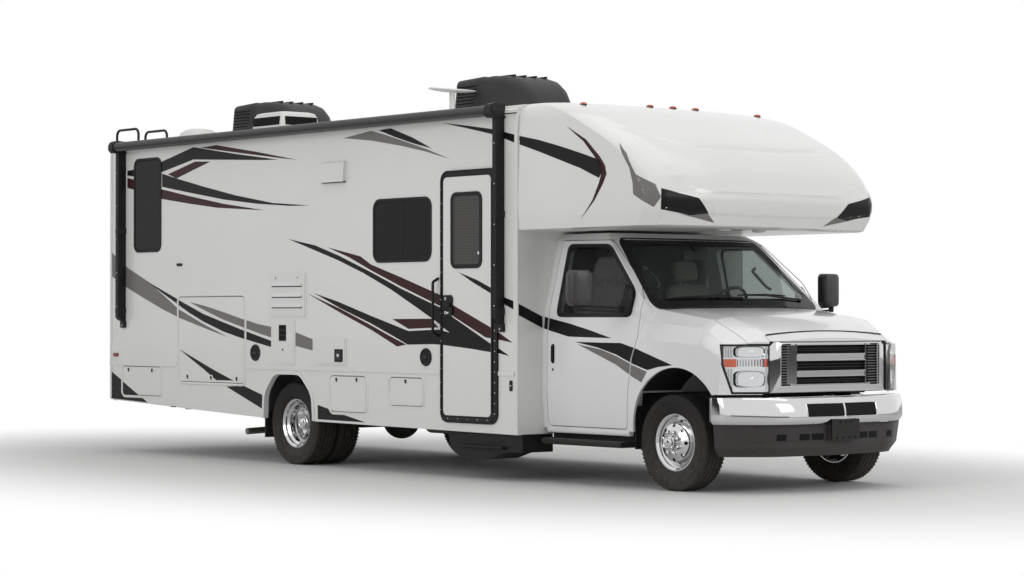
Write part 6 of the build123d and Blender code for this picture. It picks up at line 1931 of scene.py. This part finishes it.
def screenEdges():
    look = glassLook
    outer = trapezoid(look["lowHalf"], look["highHalf"], look["low"], look["high"], 0.07)
    inner = trapezoid(look["lowHalf"] - look["band"], look["highHalf"] - look["band"], look["low"] + look["lowBand"],
                      look["high"] - look["highBand"], 0.07)
    bandPiece("screenFrit", outer, inner, lambda y, z, out: screenPlace(y, z, out + 0.0005), 0.0022,
              "fritBlack", "root")
    # seal strip along the hood's rear edge, with its two washer jets
    hoodTop = surfaceOf(bpy.data.objects["hoodPanel"])
    rows = []
    for i in range(24):
        y = -0.850 + 1.700 * i / 23
        bow = (1 - (y / 0.885) ** 2)
        rows.append((y, 3.266 + 0.080 * bow + 0.010, 3.266 + 0.080 * bow + 0.105 - 0.05 * abs(y / 0.85) ** 6))
    quads = [[(a[1], a[0]), (a[2], a[0]), (b[2], b[0]), (b[1], b[0])] for a, b in zip(rows, rows[1:])]
    drapedSheet("hoodSeal", quads, hoodTop, "blackPlastic", "hood", "z", lift=0.003, step=0.03)
    jets = startPiece()
    for y in (-0.42, 0.42):
        hit = hoodTop.ray_cast(Vector((3.385, y, 5.0)), Vector((0, 0, -1)))[0]
        addTurned(jets, hit + Vector((0, 0, 0.001)), (0, 0, 1), ((0, 0), (0.014, 0), (0.013, 0.008), (0.006, 0.013),
                                                                (0, 0.014)), "blackPlastic", 16)
    finishPiece(jets, "washerJets", "hood")


screenEdges()

wiperLook = {"blades": (((-0.76, 1.474), (-0.06, 1.500)), ((0.02, 1.505), (0.60, 1.502))),
             "pivots": ((0.045, 1.479), (0.740, 1.466)), "stand": 0.011}


def wiperPieces():
    stand = wiperLook["stand"]
    piece = startPiece()
    for ((ay, az), (by, bz)), (py, pz) in zip(wiperLook["blades"], wiperLook["pivots"]):
        blade = [screenPlace(ay + (by - ay) * i / 12, az + (bz - az) * i / 12, 0.009) for i in range(13)]
        addTube(piece, blade, 0.0055, "blackPlastic", 6)
        spine = [screenPlace(ay + (by - ay) * i / 12, az + (bz - az) * i / 12,
                             0.012 + 0.010 * math.sin(math.pi * i / 12)) for i in range(1, 12)]
        addTube(piece, spine, 0.0045, "blackPlastic", 6)
        arm = [screenPlace(py + ((ay + by) / 2 - py) * i / 6, pz + ((az + bz) / 2 - pz) * i / 6, stand + 0.004)
               for i in range(7)]
        addTube(piece, arm, 0.0072, "blackPlastic", 8)
        addTurned(piece, screenPlace(py, pz, 0.002), (0.68, 0, 0.73), ((0, 0), (0.018, 0), (0.016, 0.013), (0, 0.016)),
                  "blackPlastic", 18)
    finishPiece(piece, "wipers", "root")


wiperPieces()


windowLook = {"outline": ((2.197, 1.352), (3.062, 1.352), (3.078, 1.530), (2.680, 1.904), (2.190, 1.912)),
              "outward": 0.017, "inward": 0.014, "radius": 0.06}


def grownOutline(points, amount):
    # moves each edge of a convex outline outwards, corner by corner
    area = sum(a[0] * b[1] - b[0] * a[1] for a, b in zip(points, points[1:] + points[:1]))
    turn = 1 if area > 0 else -1
    moved = []
    for before, here, after in zip(points[-1:] + points[:-1], points, points[1:] + points[:1]):
        one = Vector((here[0] - before[0], here[1] - before[1])).normalized()
        two = Vector((after[0] - here[0], after[1] - here[1])).normalized()
        normals = (Vector((one.y, -one.x)) * turn, Vector((two.y, -two.x)) * turn)
        way = (normals[0] + normals[1]).normalized()
        reach = amount / max(way.dot(normals[0]), 0.3)
        moved.append((here[0] + way.x * reach, here[1] + way.y * reach))
    return moved


def roundOutline(points, radius, steps=5):
    closed = [Vector((x, 0, z)) for x, z in points]
    middle = (closed[-1] + closed[0]) / 2
    path = roundedPath([middle] + closed + [middle], radius, steps)
    return [(p.x, p.z) for p in path[:-1]]


def doorTrim():
    look = windowLook
    outline = list(look["outline"])
    outer = roundOutline(grownOutline(outline, look["outward"]), look["radius"])
    inner = roundOutline(grownOutline(outline, -look["inward"]), look["radius"])
    for sideName, side in sides:
        doorBody = f"cab_door_{sideName}"
        surface = surfaceOf(*cabPanels[doorBody])

        def doorPlace(x, z, out):
            return Vector((x, side * (cabSkin(z)[0] + out + 0.0005), z))

        bandPiece(f"doorWindowSeal_{sideName}", outer, inner, doorPlace, 0.005, "frameBlack", doorBody)
        # handle with its recess, and the lock under it
        piece = startPiece()
        skin = surface.ray_cast(Vector((2.157, side * 2.0, 1.05)), Vector((0, -side, 0)))[0].y
        addPrism(piece, sideRect((2.139, 2.176), (0.960, 1.118), 0.016, skin), (0, side * 0.0022, 0), "blackPlastic")
        addPrism(piece, sideRect((2.146, 2.169), (0.972, 1.106), 0.011, skin + side * 0.0022), (0, side * 0.013, 0),
                 "frameBlack")
        lock = surface.ray_cast(Vector((2.157, side * 2.0, 0.911)), Vector((0, -side, 0)))[0]
        addTurned(piece, lock, (0, side, 0), ((0, 0), (0.011, 0), (0.010, 0.003), (0, 0.0035)), "blackPlastic", 20)
        finishPiece(piece, f"doorHandle_{sideName}", doorBody, bevel=0.001)


doorTrim()


mirrorLook = {"centre": (2.940, 1.402, 1.562), "half": 0.104, "tall": 0.140, "toe": math.radians(9)}


def mirrorPieces():
    look = mirrorLook
    for sideName, side in sides:
        body = f"cab_door_{sideName}"
        centre = Vector((look["centre"][0], side * look["centre"][1], look["centre"][2]))
        turn = Matrix.Rotation(side * look["toe"], 3, "Z")
        head = startPiece()
        rows = ((-0.042, 0.90), (-0.046, 0.97), (-0.036, 1.0), (-0.004, 1.0), (0.020, 0.97), (0.038, 0.88),
                (0.048, 0.72), (0.052, 0.45), (0.053, 0.1))
        rings = []
        for out, share in rows:
            ring = []
            for y, z in roundRect((-look["half"] * share, -look["tall"] * (share * 0.25 + 0.75) if share > 0.5 else
                                   -look["tall"] * share * 1.6),
                                  (look["half"] * share, look["tall"] * (share * 0.25 + 0.75) if share > 0.5 else
                                   look["tall"] * share * 1.6), 0.045 * share, 5):
                ring.append(centre + turn @ Vector((out, y, z)))
            rings.append(ring)
        addLoft(head, rings, "mirrorShell")
        # two arms with their knuckles, and the foot on the door's corner
        foot = Vector((3.012, side * 0.972, 1.382))
        for lift in (0.0, 0.030):
            start = foot + Vector((0, 0, lift))
            addTube(head, roundedPath([start, start + Vector((-0.015, side * 0.11, -0.004)),
                                       centre + Vector((-0.004, side * 0.03, -0.170 + lift)),
                                       centre + Vector((-0.004, side * 0.03, -0.120))], 0.03),
                0.0095, "blackPlastic", 10)
        addTurned(head, centre + Vector((-0.004, side * 0.03, -0.185)), (0, 0, 1),
                  ((0, 0), (0.020, 0), (0.022, 0.030), (0.018, 0.060), (0, 0.064)), "blackPlastic", 18)
        sail = [(2.925, 1.352), (3.066, 1.352), (3.074, 1.470), (3.052, 1.556), (3.010, 1.596), (2.992, 1.500),
                (2.960, 1.420)]
        rings = []
        for out, grow in ((0.945, 0.0), (1.012, 0.0), (1.022, -0.006)):
            rings.append([Vector((x, side * (out - 0.10 * max(0.0, z - 1.36)), z)) for x, z in
                          roundOutline(grownOutline(sail, grow), 0.016, 3)])
        addLoft(head, rings, "blackPlastic")
        finishPiece(head, f"mirrorBody_{sideName}", body, (f"mirror_{sideName}",), sharp=42)
        glass = startPiece()
        for low, high in ((-0.112, 0.112),):
            ring = roundRect((-look["half"] * 0.84, low), (look["half"] * 0.84, high), 0.03, 5)
            addLoft(glass, [[centre + turn @ Vector((out, y, z)) for y, z in ring] for out in (-0.0455, -0.0480)],
                    "mirrorGlass")
        finishPiece(glass, f"mirrorGlass_{sideName}", body)


mirrorPieces()
print("glass edges, wipers and mirrors made")


# tyres, lugs and hub covers
wheelLook = {"height": 0.372, "front": (3.550, 0.881), "rear": (-1.190, 1.112, 0.858), "lugs": 8, "lugCircle": 0.083,
             "treadBlocks": 72, "grooves": (-0.062, -0.021, 0.021, 0.062), "groove": 0.0085, "grooveDepth": 0.008}


def tyreProfile():
    # radius and offset, from the outer bead over the tread to the inner one
    half = 0.094
    side = [(0.2145, 0.072), (0.224, 0.090), (0.236, 0.0995), (0.262, 0.1075), (0.290, 0.1112), (0.300, 0.1105),
            (0.303, 0.1125), (0.309, 0.1125), (0.312, 0.1105), (0.335, 0.1085), (0.352, 0.1035), (0.361, 0.0985),
            (0.3685, half)]
    tread = [(0.3705, half - 0.012)]
    for place in reversed(wheelLook["grooves"]):
        reach = wheelLook["groove"] / 2
        deep = 0.3715 - wheelLook["grooveDepth"]
        tread += [(0.3715, place + reach), (deep, place + reach * 0.6), (deep, place - reach * 0.6),
                  (0.3715, place - reach)]
    tread.append((0.3705, -half + 0.012))
    return side + tread + [(radius, -off) for radius, off in reversed(side)] + [(0.206, -0.060), (0.206, 0.060)]


def tyrePiece(name, node, x, middles, side, body):
    piece = startPiece()
    blocks = []
    for middle in middles:
        centre = (x, side * middle, wheelLook["height"])
        addTurned(piece, centre, (0, side, 0), tyreProfile(), "rubber", 96, loop=True)
        for offset, skew, length in ((0.0885, 0.10, 0.026), (-0.0885, -0.10, 0.026), (0.0415, 0.35, 0.024),
                                     (-0.0415, -0.35, 0.024), (0.0, 0.25, 0.022)):
            ring = growMesh(treadRing, "rubber", Count=wheelLook["treadBlocks"], Radius=0.3695, Offset=offset,
                            Block=(0.0042, 0.0105, length), Skew=skew, Phase=0.02 * (1 + abs(skew)))
            ring.transform(Matrix.Translation(centre) @ toAxisY)
            blocks.append(ring)
    finishPiece(piece, name, body, (node,), sharp=50)
    placePiece(f"{name}_tread", joinMeshes(f"{name}_tread", blocks), body)


def wheelDetails(name, x, plane, side, body, lugFace, hubFace, hubRadius):
    # domed lug covers on their circle and a domed hub cover
    centre = Vector((x, side * plane, wheelLook["height"]))
    piece = startPiece()
    axis = Vector((0, side, 0))
    for i in range(wheelLook["lugs"]):
        turn = 2 * math.pi * (i + 0.5) / wheelLook["lugs"]
        spot = centre + Vector((math.cos(turn), 0, math.sin(turn))) * wheelLook["lugCircle"]
        addTurned(piece, spot + axis * lugFace, axis, ((0, -0.004), (0.0175, -0.004), (0.0175, 0.002), (0.0145, 0.004),
                                                      (0.0140, 0.022), (0.0115, 0.029), (0.006, 0.032), (0, 0.0325)),
                  "chrome", 14)
    dome = ((hubRadius + 0.004, -0.003), (hubRadius + 0.004, 0.002), (hubRadius, 0.005), (hubRadius - 0.002, 0.016),
            (hubRadius - 0.010, 0.024), (hubRadius - 0.014, 0.0245), (hubRadius - 0.018, 0.022), (0.030, 0.024),
            (0.0, 0.0245))
    addTurned(piece, centre + axis * hubFace, axis, dome, "chrome", 40)
    finishPiece(piece, name, body, sharp=30)


for sideName, side in sides:
    x, plane = wheelLook["front"]
    body = f"front_wheel_{sideName}"
    paintNode(body, "chrome")
    tyrePiece(f"frontTyre_{sideName}", f"front_tyre_{sideName}", x, (plane,), side, body)
    wheelDetails(f"frontLugs_{sideName}", x, plane, side, body, 0.111, 0.1505, 0.052)
    x, outer, inner = wheelLook["rear"]
    body = f"rear_wheels_{sideName}"
    paintNode(body, "chrome")
    tyrePiece(f"rearTyres_{sideName}", f"rear_tyres_{sideName}", x, (outer, inner), side, body)
    wheelDetails(f"rearLugs_{sideName}", x, outer - 0.127, side, body, 0.0105, 0.1305, 0.056)
print("tyres and wheel covers made")


# small lamps in place of the plain blocks
lampRow = {"x": 2.500, "places": (-0.982, -0.257, 0.0, 0.257, 0.982)}


def bodyLamps():
    surface = surfaceOf(capPiece)
    piece = startPiece()
    for y in lampRow["places"]:
        hit = surface.ray_cast(Vector((lampRow["x"], y, 5.0)), Vector((0, 0, -1)))[0]
        rings = []
        for out, reach in ((-0.004, 1.0), (0.005, 1.0), (0.012, 0.86), (0.019, 0.55), (0.021, 0.15)):
            rings.append([hit + Vector((0.044 * reach * math.cos(t), 0.018 * reach * math.sin(t), out))
                          for t in (2 * math.pi * k / 20 for k in range(20))])
        addLoft(piece, rings[:2], "frameBlack")
        addLoft(piece, rings[1:], "amberLens")
    rear = -4.320
    for side in (-1, 1):
        # tail lamps: black base, red lenses, a clear one in the middle
        y = sorted((side * 1.168, side * 1.244))
        addPlate(piece, (rear, rear - 0.008), (y[0], 0.964), (y[1], 1.296), 0.012, 3, "frameBlack")
        for low, high, lens in ((0.974, 1.064, "redLens"), (1.070, 1.140, "clearLens"), (1.146, 1.286, "redLens")):
            addPlate(piece, (rear - 0.008, rear - 0.020), (y[0] + 0.008, low), (y[1] - 0.008, high), 0.010, 3, lens)
        addLoft(piece, [onSide(roundRect((-4.262, 0.941), (-4.168, 0.975), 0.010, 4), side * (1.270 + out))
                        for out in (0.0, 0.005)], "frameBlack")
        addLoft(piece, [onSide(roundRect((-4.256, 0.946), (-4.174, 0.970), 0.008, 4), side * (1.270 + out))
                        for out in (0.005, 0.011, 0.013)], "redLens")
        y = sorted((side * 1.045, side * 1.165))
        addPlate(piece, (rear, rear - 0.013), (y[0], 2.902), (y[1], 2.943), 0.012, 3, "redLens")
    addPlate(piece, (rear, rear - 0.013), (-0.155, 2.902), (0.155, 2.943), 0.012, 3, "redLens")
    finishPiece(piece, "bodyLamps", "root", ("body_lamps",), bevel=0.0012)


bodyLamps()
print("lamps made")

# sills, steps and body seams
sillLook = {"x": (2.060, 3.050), "boardX": (2.112, 3.068),
            "boardY": (0.905, 1.092), "boardZ": (0.312, 0.362), "treads": 26}


def sillPieces():
    look = sillLook
    for sideName, side in sides:
        skirt = startPiece()
        rings = []
        for x in (look["x"][0], look["x"][1]):
            rings.append([Vector((x, side * y, z)) for y, z in ((0.930, 0.450), (0.984, 0.446), (0.990, 0.425),
                                                               (0.984, 0.404), (0.972, 0.398), (0.940, 0.402))])
        addLoft(skirt, rings, "cabPaint")
        finishPiece(skirt, f"sillSkirt_{sideName}", "root", bevel=0.003)
        board = startPiece()
        y = look["boardY"]
        low, high = look["boardZ"]
        section = ((y[0], low + 0.012), (y[0], high - 0.004), (y[0] + 0.010, high), (y[1] - 0.020, high),
                   (y[1] - 0.006, high - 0.006), (y[1], high - 0.020), (y[1] - 0.004, low + 0.008),
                   (y[1] - 0.018, low), (y[0] + 0.02, low))
        rings = []
        for x, share in ((look["boardX"][0], 0.86), (look["boardX"][0] + 0.012, 1.0),
                         (look["boardX"][1] - 0.012, 1.0), (look["boardX"][1], 0.86)):
            middle = sum(z for across, z in section) / len(section)
            rings.append([Vector((x, side * across, middle + (z - middle) * share)) for across, z in section])
        addLoft(board, rings, "blackPlastic")
        # back wall up to the body, and the two hanger brackets
        addBox(board, (look["boardX"][0] - 0.055, min(side * 0.900, side * 0.915), low + 0.02),
               (look["boardX"][1] - 0.02, max(side * 0.900, side * 0.915), 0.452), "blackPlastic")
        for x in (2.280, 2.930):
            ends = sorted((side * 0.720, side * 0.905))
            addBox(board, (x - 0.025, ends[0], low + 0.006), (x + 0.025, ends[1], low + 0.030), "frameSteel")
            addBox(board, (x - 0.025, min(side * 0.720, side * 0.745), low + 0.006),
                   (x + 0.025, max(side * 0.720, side * 0.745), 0.500), "frameSteel")
        finishPiece(board, f"stepBoard_{sideName}", "root",
                    ("running_boards",) if side < 0 else (), bevel=0.002)
        step = (look["boardX"][1] - look["boardX"][0] - 0.06) / (look["treads"] - 1)
        grips = growMesh(rowOfBlocks, "charcoal", Count=look["treads"],
                         Start=(look["boardX"][0] + 0.03, side * (y[0] + y[1]) / 2, high + 0.0012), Step=(step, 0, 0),
                         Block=(0.010, 0.130, 0.003))
        placePiece(f"stepGrips_{sideName}", joinMeshes(f"stepGrips_{sideName}", [grips]), "root")


sillPieces()


seamLook = {"door": ((2.081, 0.456), (3.029, 0.456), (3.053, 0.720), (3.093, 1.012), (3.163, 1.170), (3.187, 1.470),
                     (3.106, 1.614), (2.694, 1.952), (2.081, 1.958)),
            "radius": 0.0028, "depth": 0.016}
fullLevels = ((0.440, 0.985), (0.640, 1.004), (0.752, 1.008), (1.155, 1.005), (1.400, 0.978), (1.959, 0.838),
              (2.012, 0.775))


def seamPieces():
    # dark rubber down in the doors' gaps, and the strip over the nose's header panel: partly the real seals, mainly
    # painted shade that darkens the gaps
    look = seamLook
    for sideName, side in sides:
        points = roundOutline(list(look["door"]), 0.05, 4)
        counts = runCounts(points, 0.06)
        path = []
        for x, z in spread(points, counts) + [points[0]]:
            half = next(a[1] + (b[1] - a[1]) * (z - a[0]) / (b[0] - a[0])
                        for a, b in zip(fullLevels, fullLevels[1:]) if a[0] <= z <= b[0])
            path.append((x, side * (half - look["depth"]), z))
        piece = startPiece()
        # painted shade: a dark rubber tube down in the door's gap
        addTube(piece, path, look["radius"], "rubber", 6)
        finishPiece(piece, f"doorGapShade_{sideName}", "root")
    header = startPiece()
    hoodTop = surfaceOf(bpy.data.objects["hoodPanel"], cabPanels["root"][1])
    line, half, runs = [], 0.640, 32
    for i in range(runs + 1):
        y = -half + 2 * half * i / runs
        hit = hoodTop.ray_cast(Vector((4.2000, y, 5.0)), Vector((0, 0, -1)))
        if hit[0] is not None and hit[0].z > 1.05:
            line.append(Vector((4.2085, y, hit[0].z - 0.0045)))
    # painted shade: a dark rubber tube in the header panel's gap
    addTube(header, line, 0.0052, "rubber", 6)
    finishPiece(header, "headerSeamShade", "root")


seamPieces()


valanceLook = {"slots": ((-0.640, -0.560), (-0.430, -0.330), (-0.310, -0.190), (0.190, 0.310), (0.330, 0.430),
                         (0.560, 0.640)), "z": (0.402, 0.450)}


def valanceDetails():
    # dark vents with a raised lower lip, draped on the valance
    surface = surfaceOf(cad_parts["front_valance"])
    low, high = valanceLook["z"]
    quads = [[(a, low), (b, low), (b, high), (a, high)] for a, b in valanceLook["slots"]]
    drapedSheet("valanceVents", quads, surface, "meshBlack", "root", "x", lift=0.002, step=0.03)
    lip = startPiece()
    for height, radius in ((0.398, 0.0035), (0.508, 0.006)):
        line = []
        for i in range(41):
            y = -0.800 + 1.600 * i / 40
            hit = surface.ray_cast(Vector((6.0, y, height)), Vector((-1, 0, 0)))
            if hit[0] is not None:
                line.append(hit[0])
        addTube(lip, line, radius, "charcoal", 6)
    finishPiece(lip, "valanceLips", "root")


valanceDetails()
print("sills, seams and valance made")


# seats, steering wheel and cab fittings
seatLook = {"y": 0.430, "half": 0.245, "fill": 0.7}


def padMesh(rings, finish, crown):
    # a closed pad from a few rings, rounded by subdivision, with its faces puffed out by crown
    piece = startPiece()
    addLoft(piece, rings, finish)
    work = piece["mesh"]
    bmesh.ops.recalc_face_normals(work, faces=work.faces)
    bmesh.ops.subdivide_edges(work, edges=work.edges, cuts=3, use_grid_fill=True)
    middle = sum((v.co for v in work.verts), Vector()) / len(work.verts)
    reach = [max(abs(v.co[k] - middle[k]) for v in work.verts) for k in range(3)]
    work.normal_update()
    moves = []
    for corner in work.verts:
        shares = sorted((abs(corner.co[k] - middle[k]) / max(reach[k], 1e-6) for k in range(3)), reverse=True)
        moves.append(corner.normal * crown * (1 - shares[1] ** 2) * (1 - shares[2] ** 2))
    for corner, move in zip(work.verts, moves):
        corner.co += move
    return piece


def boxRings(centre, half, axes, inset):
    # rings of a box along its third axis, its ends drawn in by inset
    u, v, w = axes
    rings = []
    for share, draw in ((-1, inset), (-0.88, inset * 0.25), (-0.5, 0), (0, 0), (0.5, 0), (0.88, inset * 0.25),
                        (1, inset)):
        ring = []
        for a, b in roundRect((-half[0] + draw, -half[1] + draw), (half[0] - draw, half[1] - draw),
                              min(half[0], half[1]) * 0.55, 3):
            ring.append(centre + u * a + v * b + w * half[2] * share)
        rings.append(ring)
    return rings


def seatPads():
    look = seatLook
    first = True
    for sideName, side in sides:
        y = side * look["y"]
        lean = Vector((-0.165, 0, 1)).normalized()
        front = Vector((lean.z, 0, -lean.x))
        across = Vector((0, 1, 0))
        pads = (
            ("cushion", Vector((2.525, y, 0.985)), (look["half"], 0.068, 0.262),
             (across, Vector((0.05, 0, 1)), Vector((1, 0, -0.05)))),
            ("back", Vector((2.272, y, 1.300)), (look["half"] - 0.01, 0.058, 0.300), (across, front, lean)),
            ("rest", Vector((2.176, y, 1.715)), (0.128, 0.043, 0.078), (across, front, lean)),
        )
        for part, centre, half, axes in pads:
            piece = padMesh(boxRings(centre, half, axes, 0.030), "seatCloth", 0.012)
            name = f"seat_{part}_{sideName}"
            made = finishPiece(piece, name, "root", ("cab_seats",) if first else (), sharp=180)
            first = False
            smooth = made.modifiers.new("smooth", "SUBSURF")
            smooth.levels = 1
            smooth.render_levels = 1
        frameWork = startPiece()
        # headrest posts, the pedestal and a bar along the cushion's side
        for offset in (-0.050, 0.050):
            addTube(frameWork, [Vector((2.216, y + offset, 1.560)), Vector((2.186, y + offset, 1.665))], 0.007,
                    "brightTube", 10)
        addBox(frameWork, (2.345, y - 0.17, 0.700), (2.665, y + 0.17, 0.905), "cabTrim")
        addBox(frameWork, (2.300, y - 0.21, 0.895), (2.735, y + 0.21, 0.922), "cabTrim")
        addTube(frameWork, [Vector((2.33, y - 0.262, 0.95)), Vector((2.62, y - 0.262, 0.95))], 0.018, "cabTrim", 10)
        finishPiece(frameWork, f"seatBase_{sideName}", "root", bevel=0.004)


seatPads()


wheelRim = {"centre": (2.742, 0.400, 1.408), "tilt": math.radians(62), "radius": 0.190, "rim": 0.014}


def steeringWheel():
    look = wheelRim
    centre = Vector(look["centre"])
    turn = Matrix.Rotation(-look["tilt"], 3, "Y")
    axis = turn @ Vector((0, 0, 1))
    piece = startPiece()
    circle = [centre + turn @ Vector((look["radius"] * math.cos(t), look["radius"] * math.sin(t), 0))
              for t in (2 * math.pi * k / 48 for k in range(49))]
    addTube(piece, circle, look["rim"], "cabTrim", 10)
    for angle in (90, 210, 330):
        t = math.radians(angle)
        spoke = [centre - axis * 0.03, centre + turn @ Vector((look["radius"] * math.cos(t),
                                                             look["radius"] * math.sin(t), 0))]
        addTube(piece, spoke, 0.016, "cabTrim", 8, flat=0.6)
    addTurned(piece, centre - axis * 0.05, axis, ((0, 0), (0.070, 0), (0.078, 0.020), (0.070, 0.045), (0.0, 0.055)),
              "cabTrim", 32)
    addTube(piece, [centre - axis * 0.04, centre - axis * 0.24], 0.030, "cabTrim", 14)
    finishPiece(piece, "steeringWheel", "root")


def cabFittings():
    # grab handles on the pillars and the inner mirror
    piece = startPiece()
    for side in (-1, 1):
        grip = [(3.000, 0.640, 1.560), (2.985, 0.600, 1.580), (2.900, 0.580, 1.665), (2.830, 0.590, 1.715),
                (2.815, 0.640, 1.735)]
        addTube(piece, roundedPath([(x, side * y, z) for x, y, z in grip], 0.04), 0.013, "cabTrim", 10)
    addBox(piece, (2.742, -0.115, 1.800), (2.758, 0.115, 1.868), "cabTrim")
    addTube(piece, [(2.760, 0, 1.862), (2.700, 0, 1.930)], 0.008, "cabTrim", 8)
    finishPiece(piece, "cabFittings", "root", bevel=0.004)


steeringWheel()
cabFittings()
print("seats and steering wheel made")
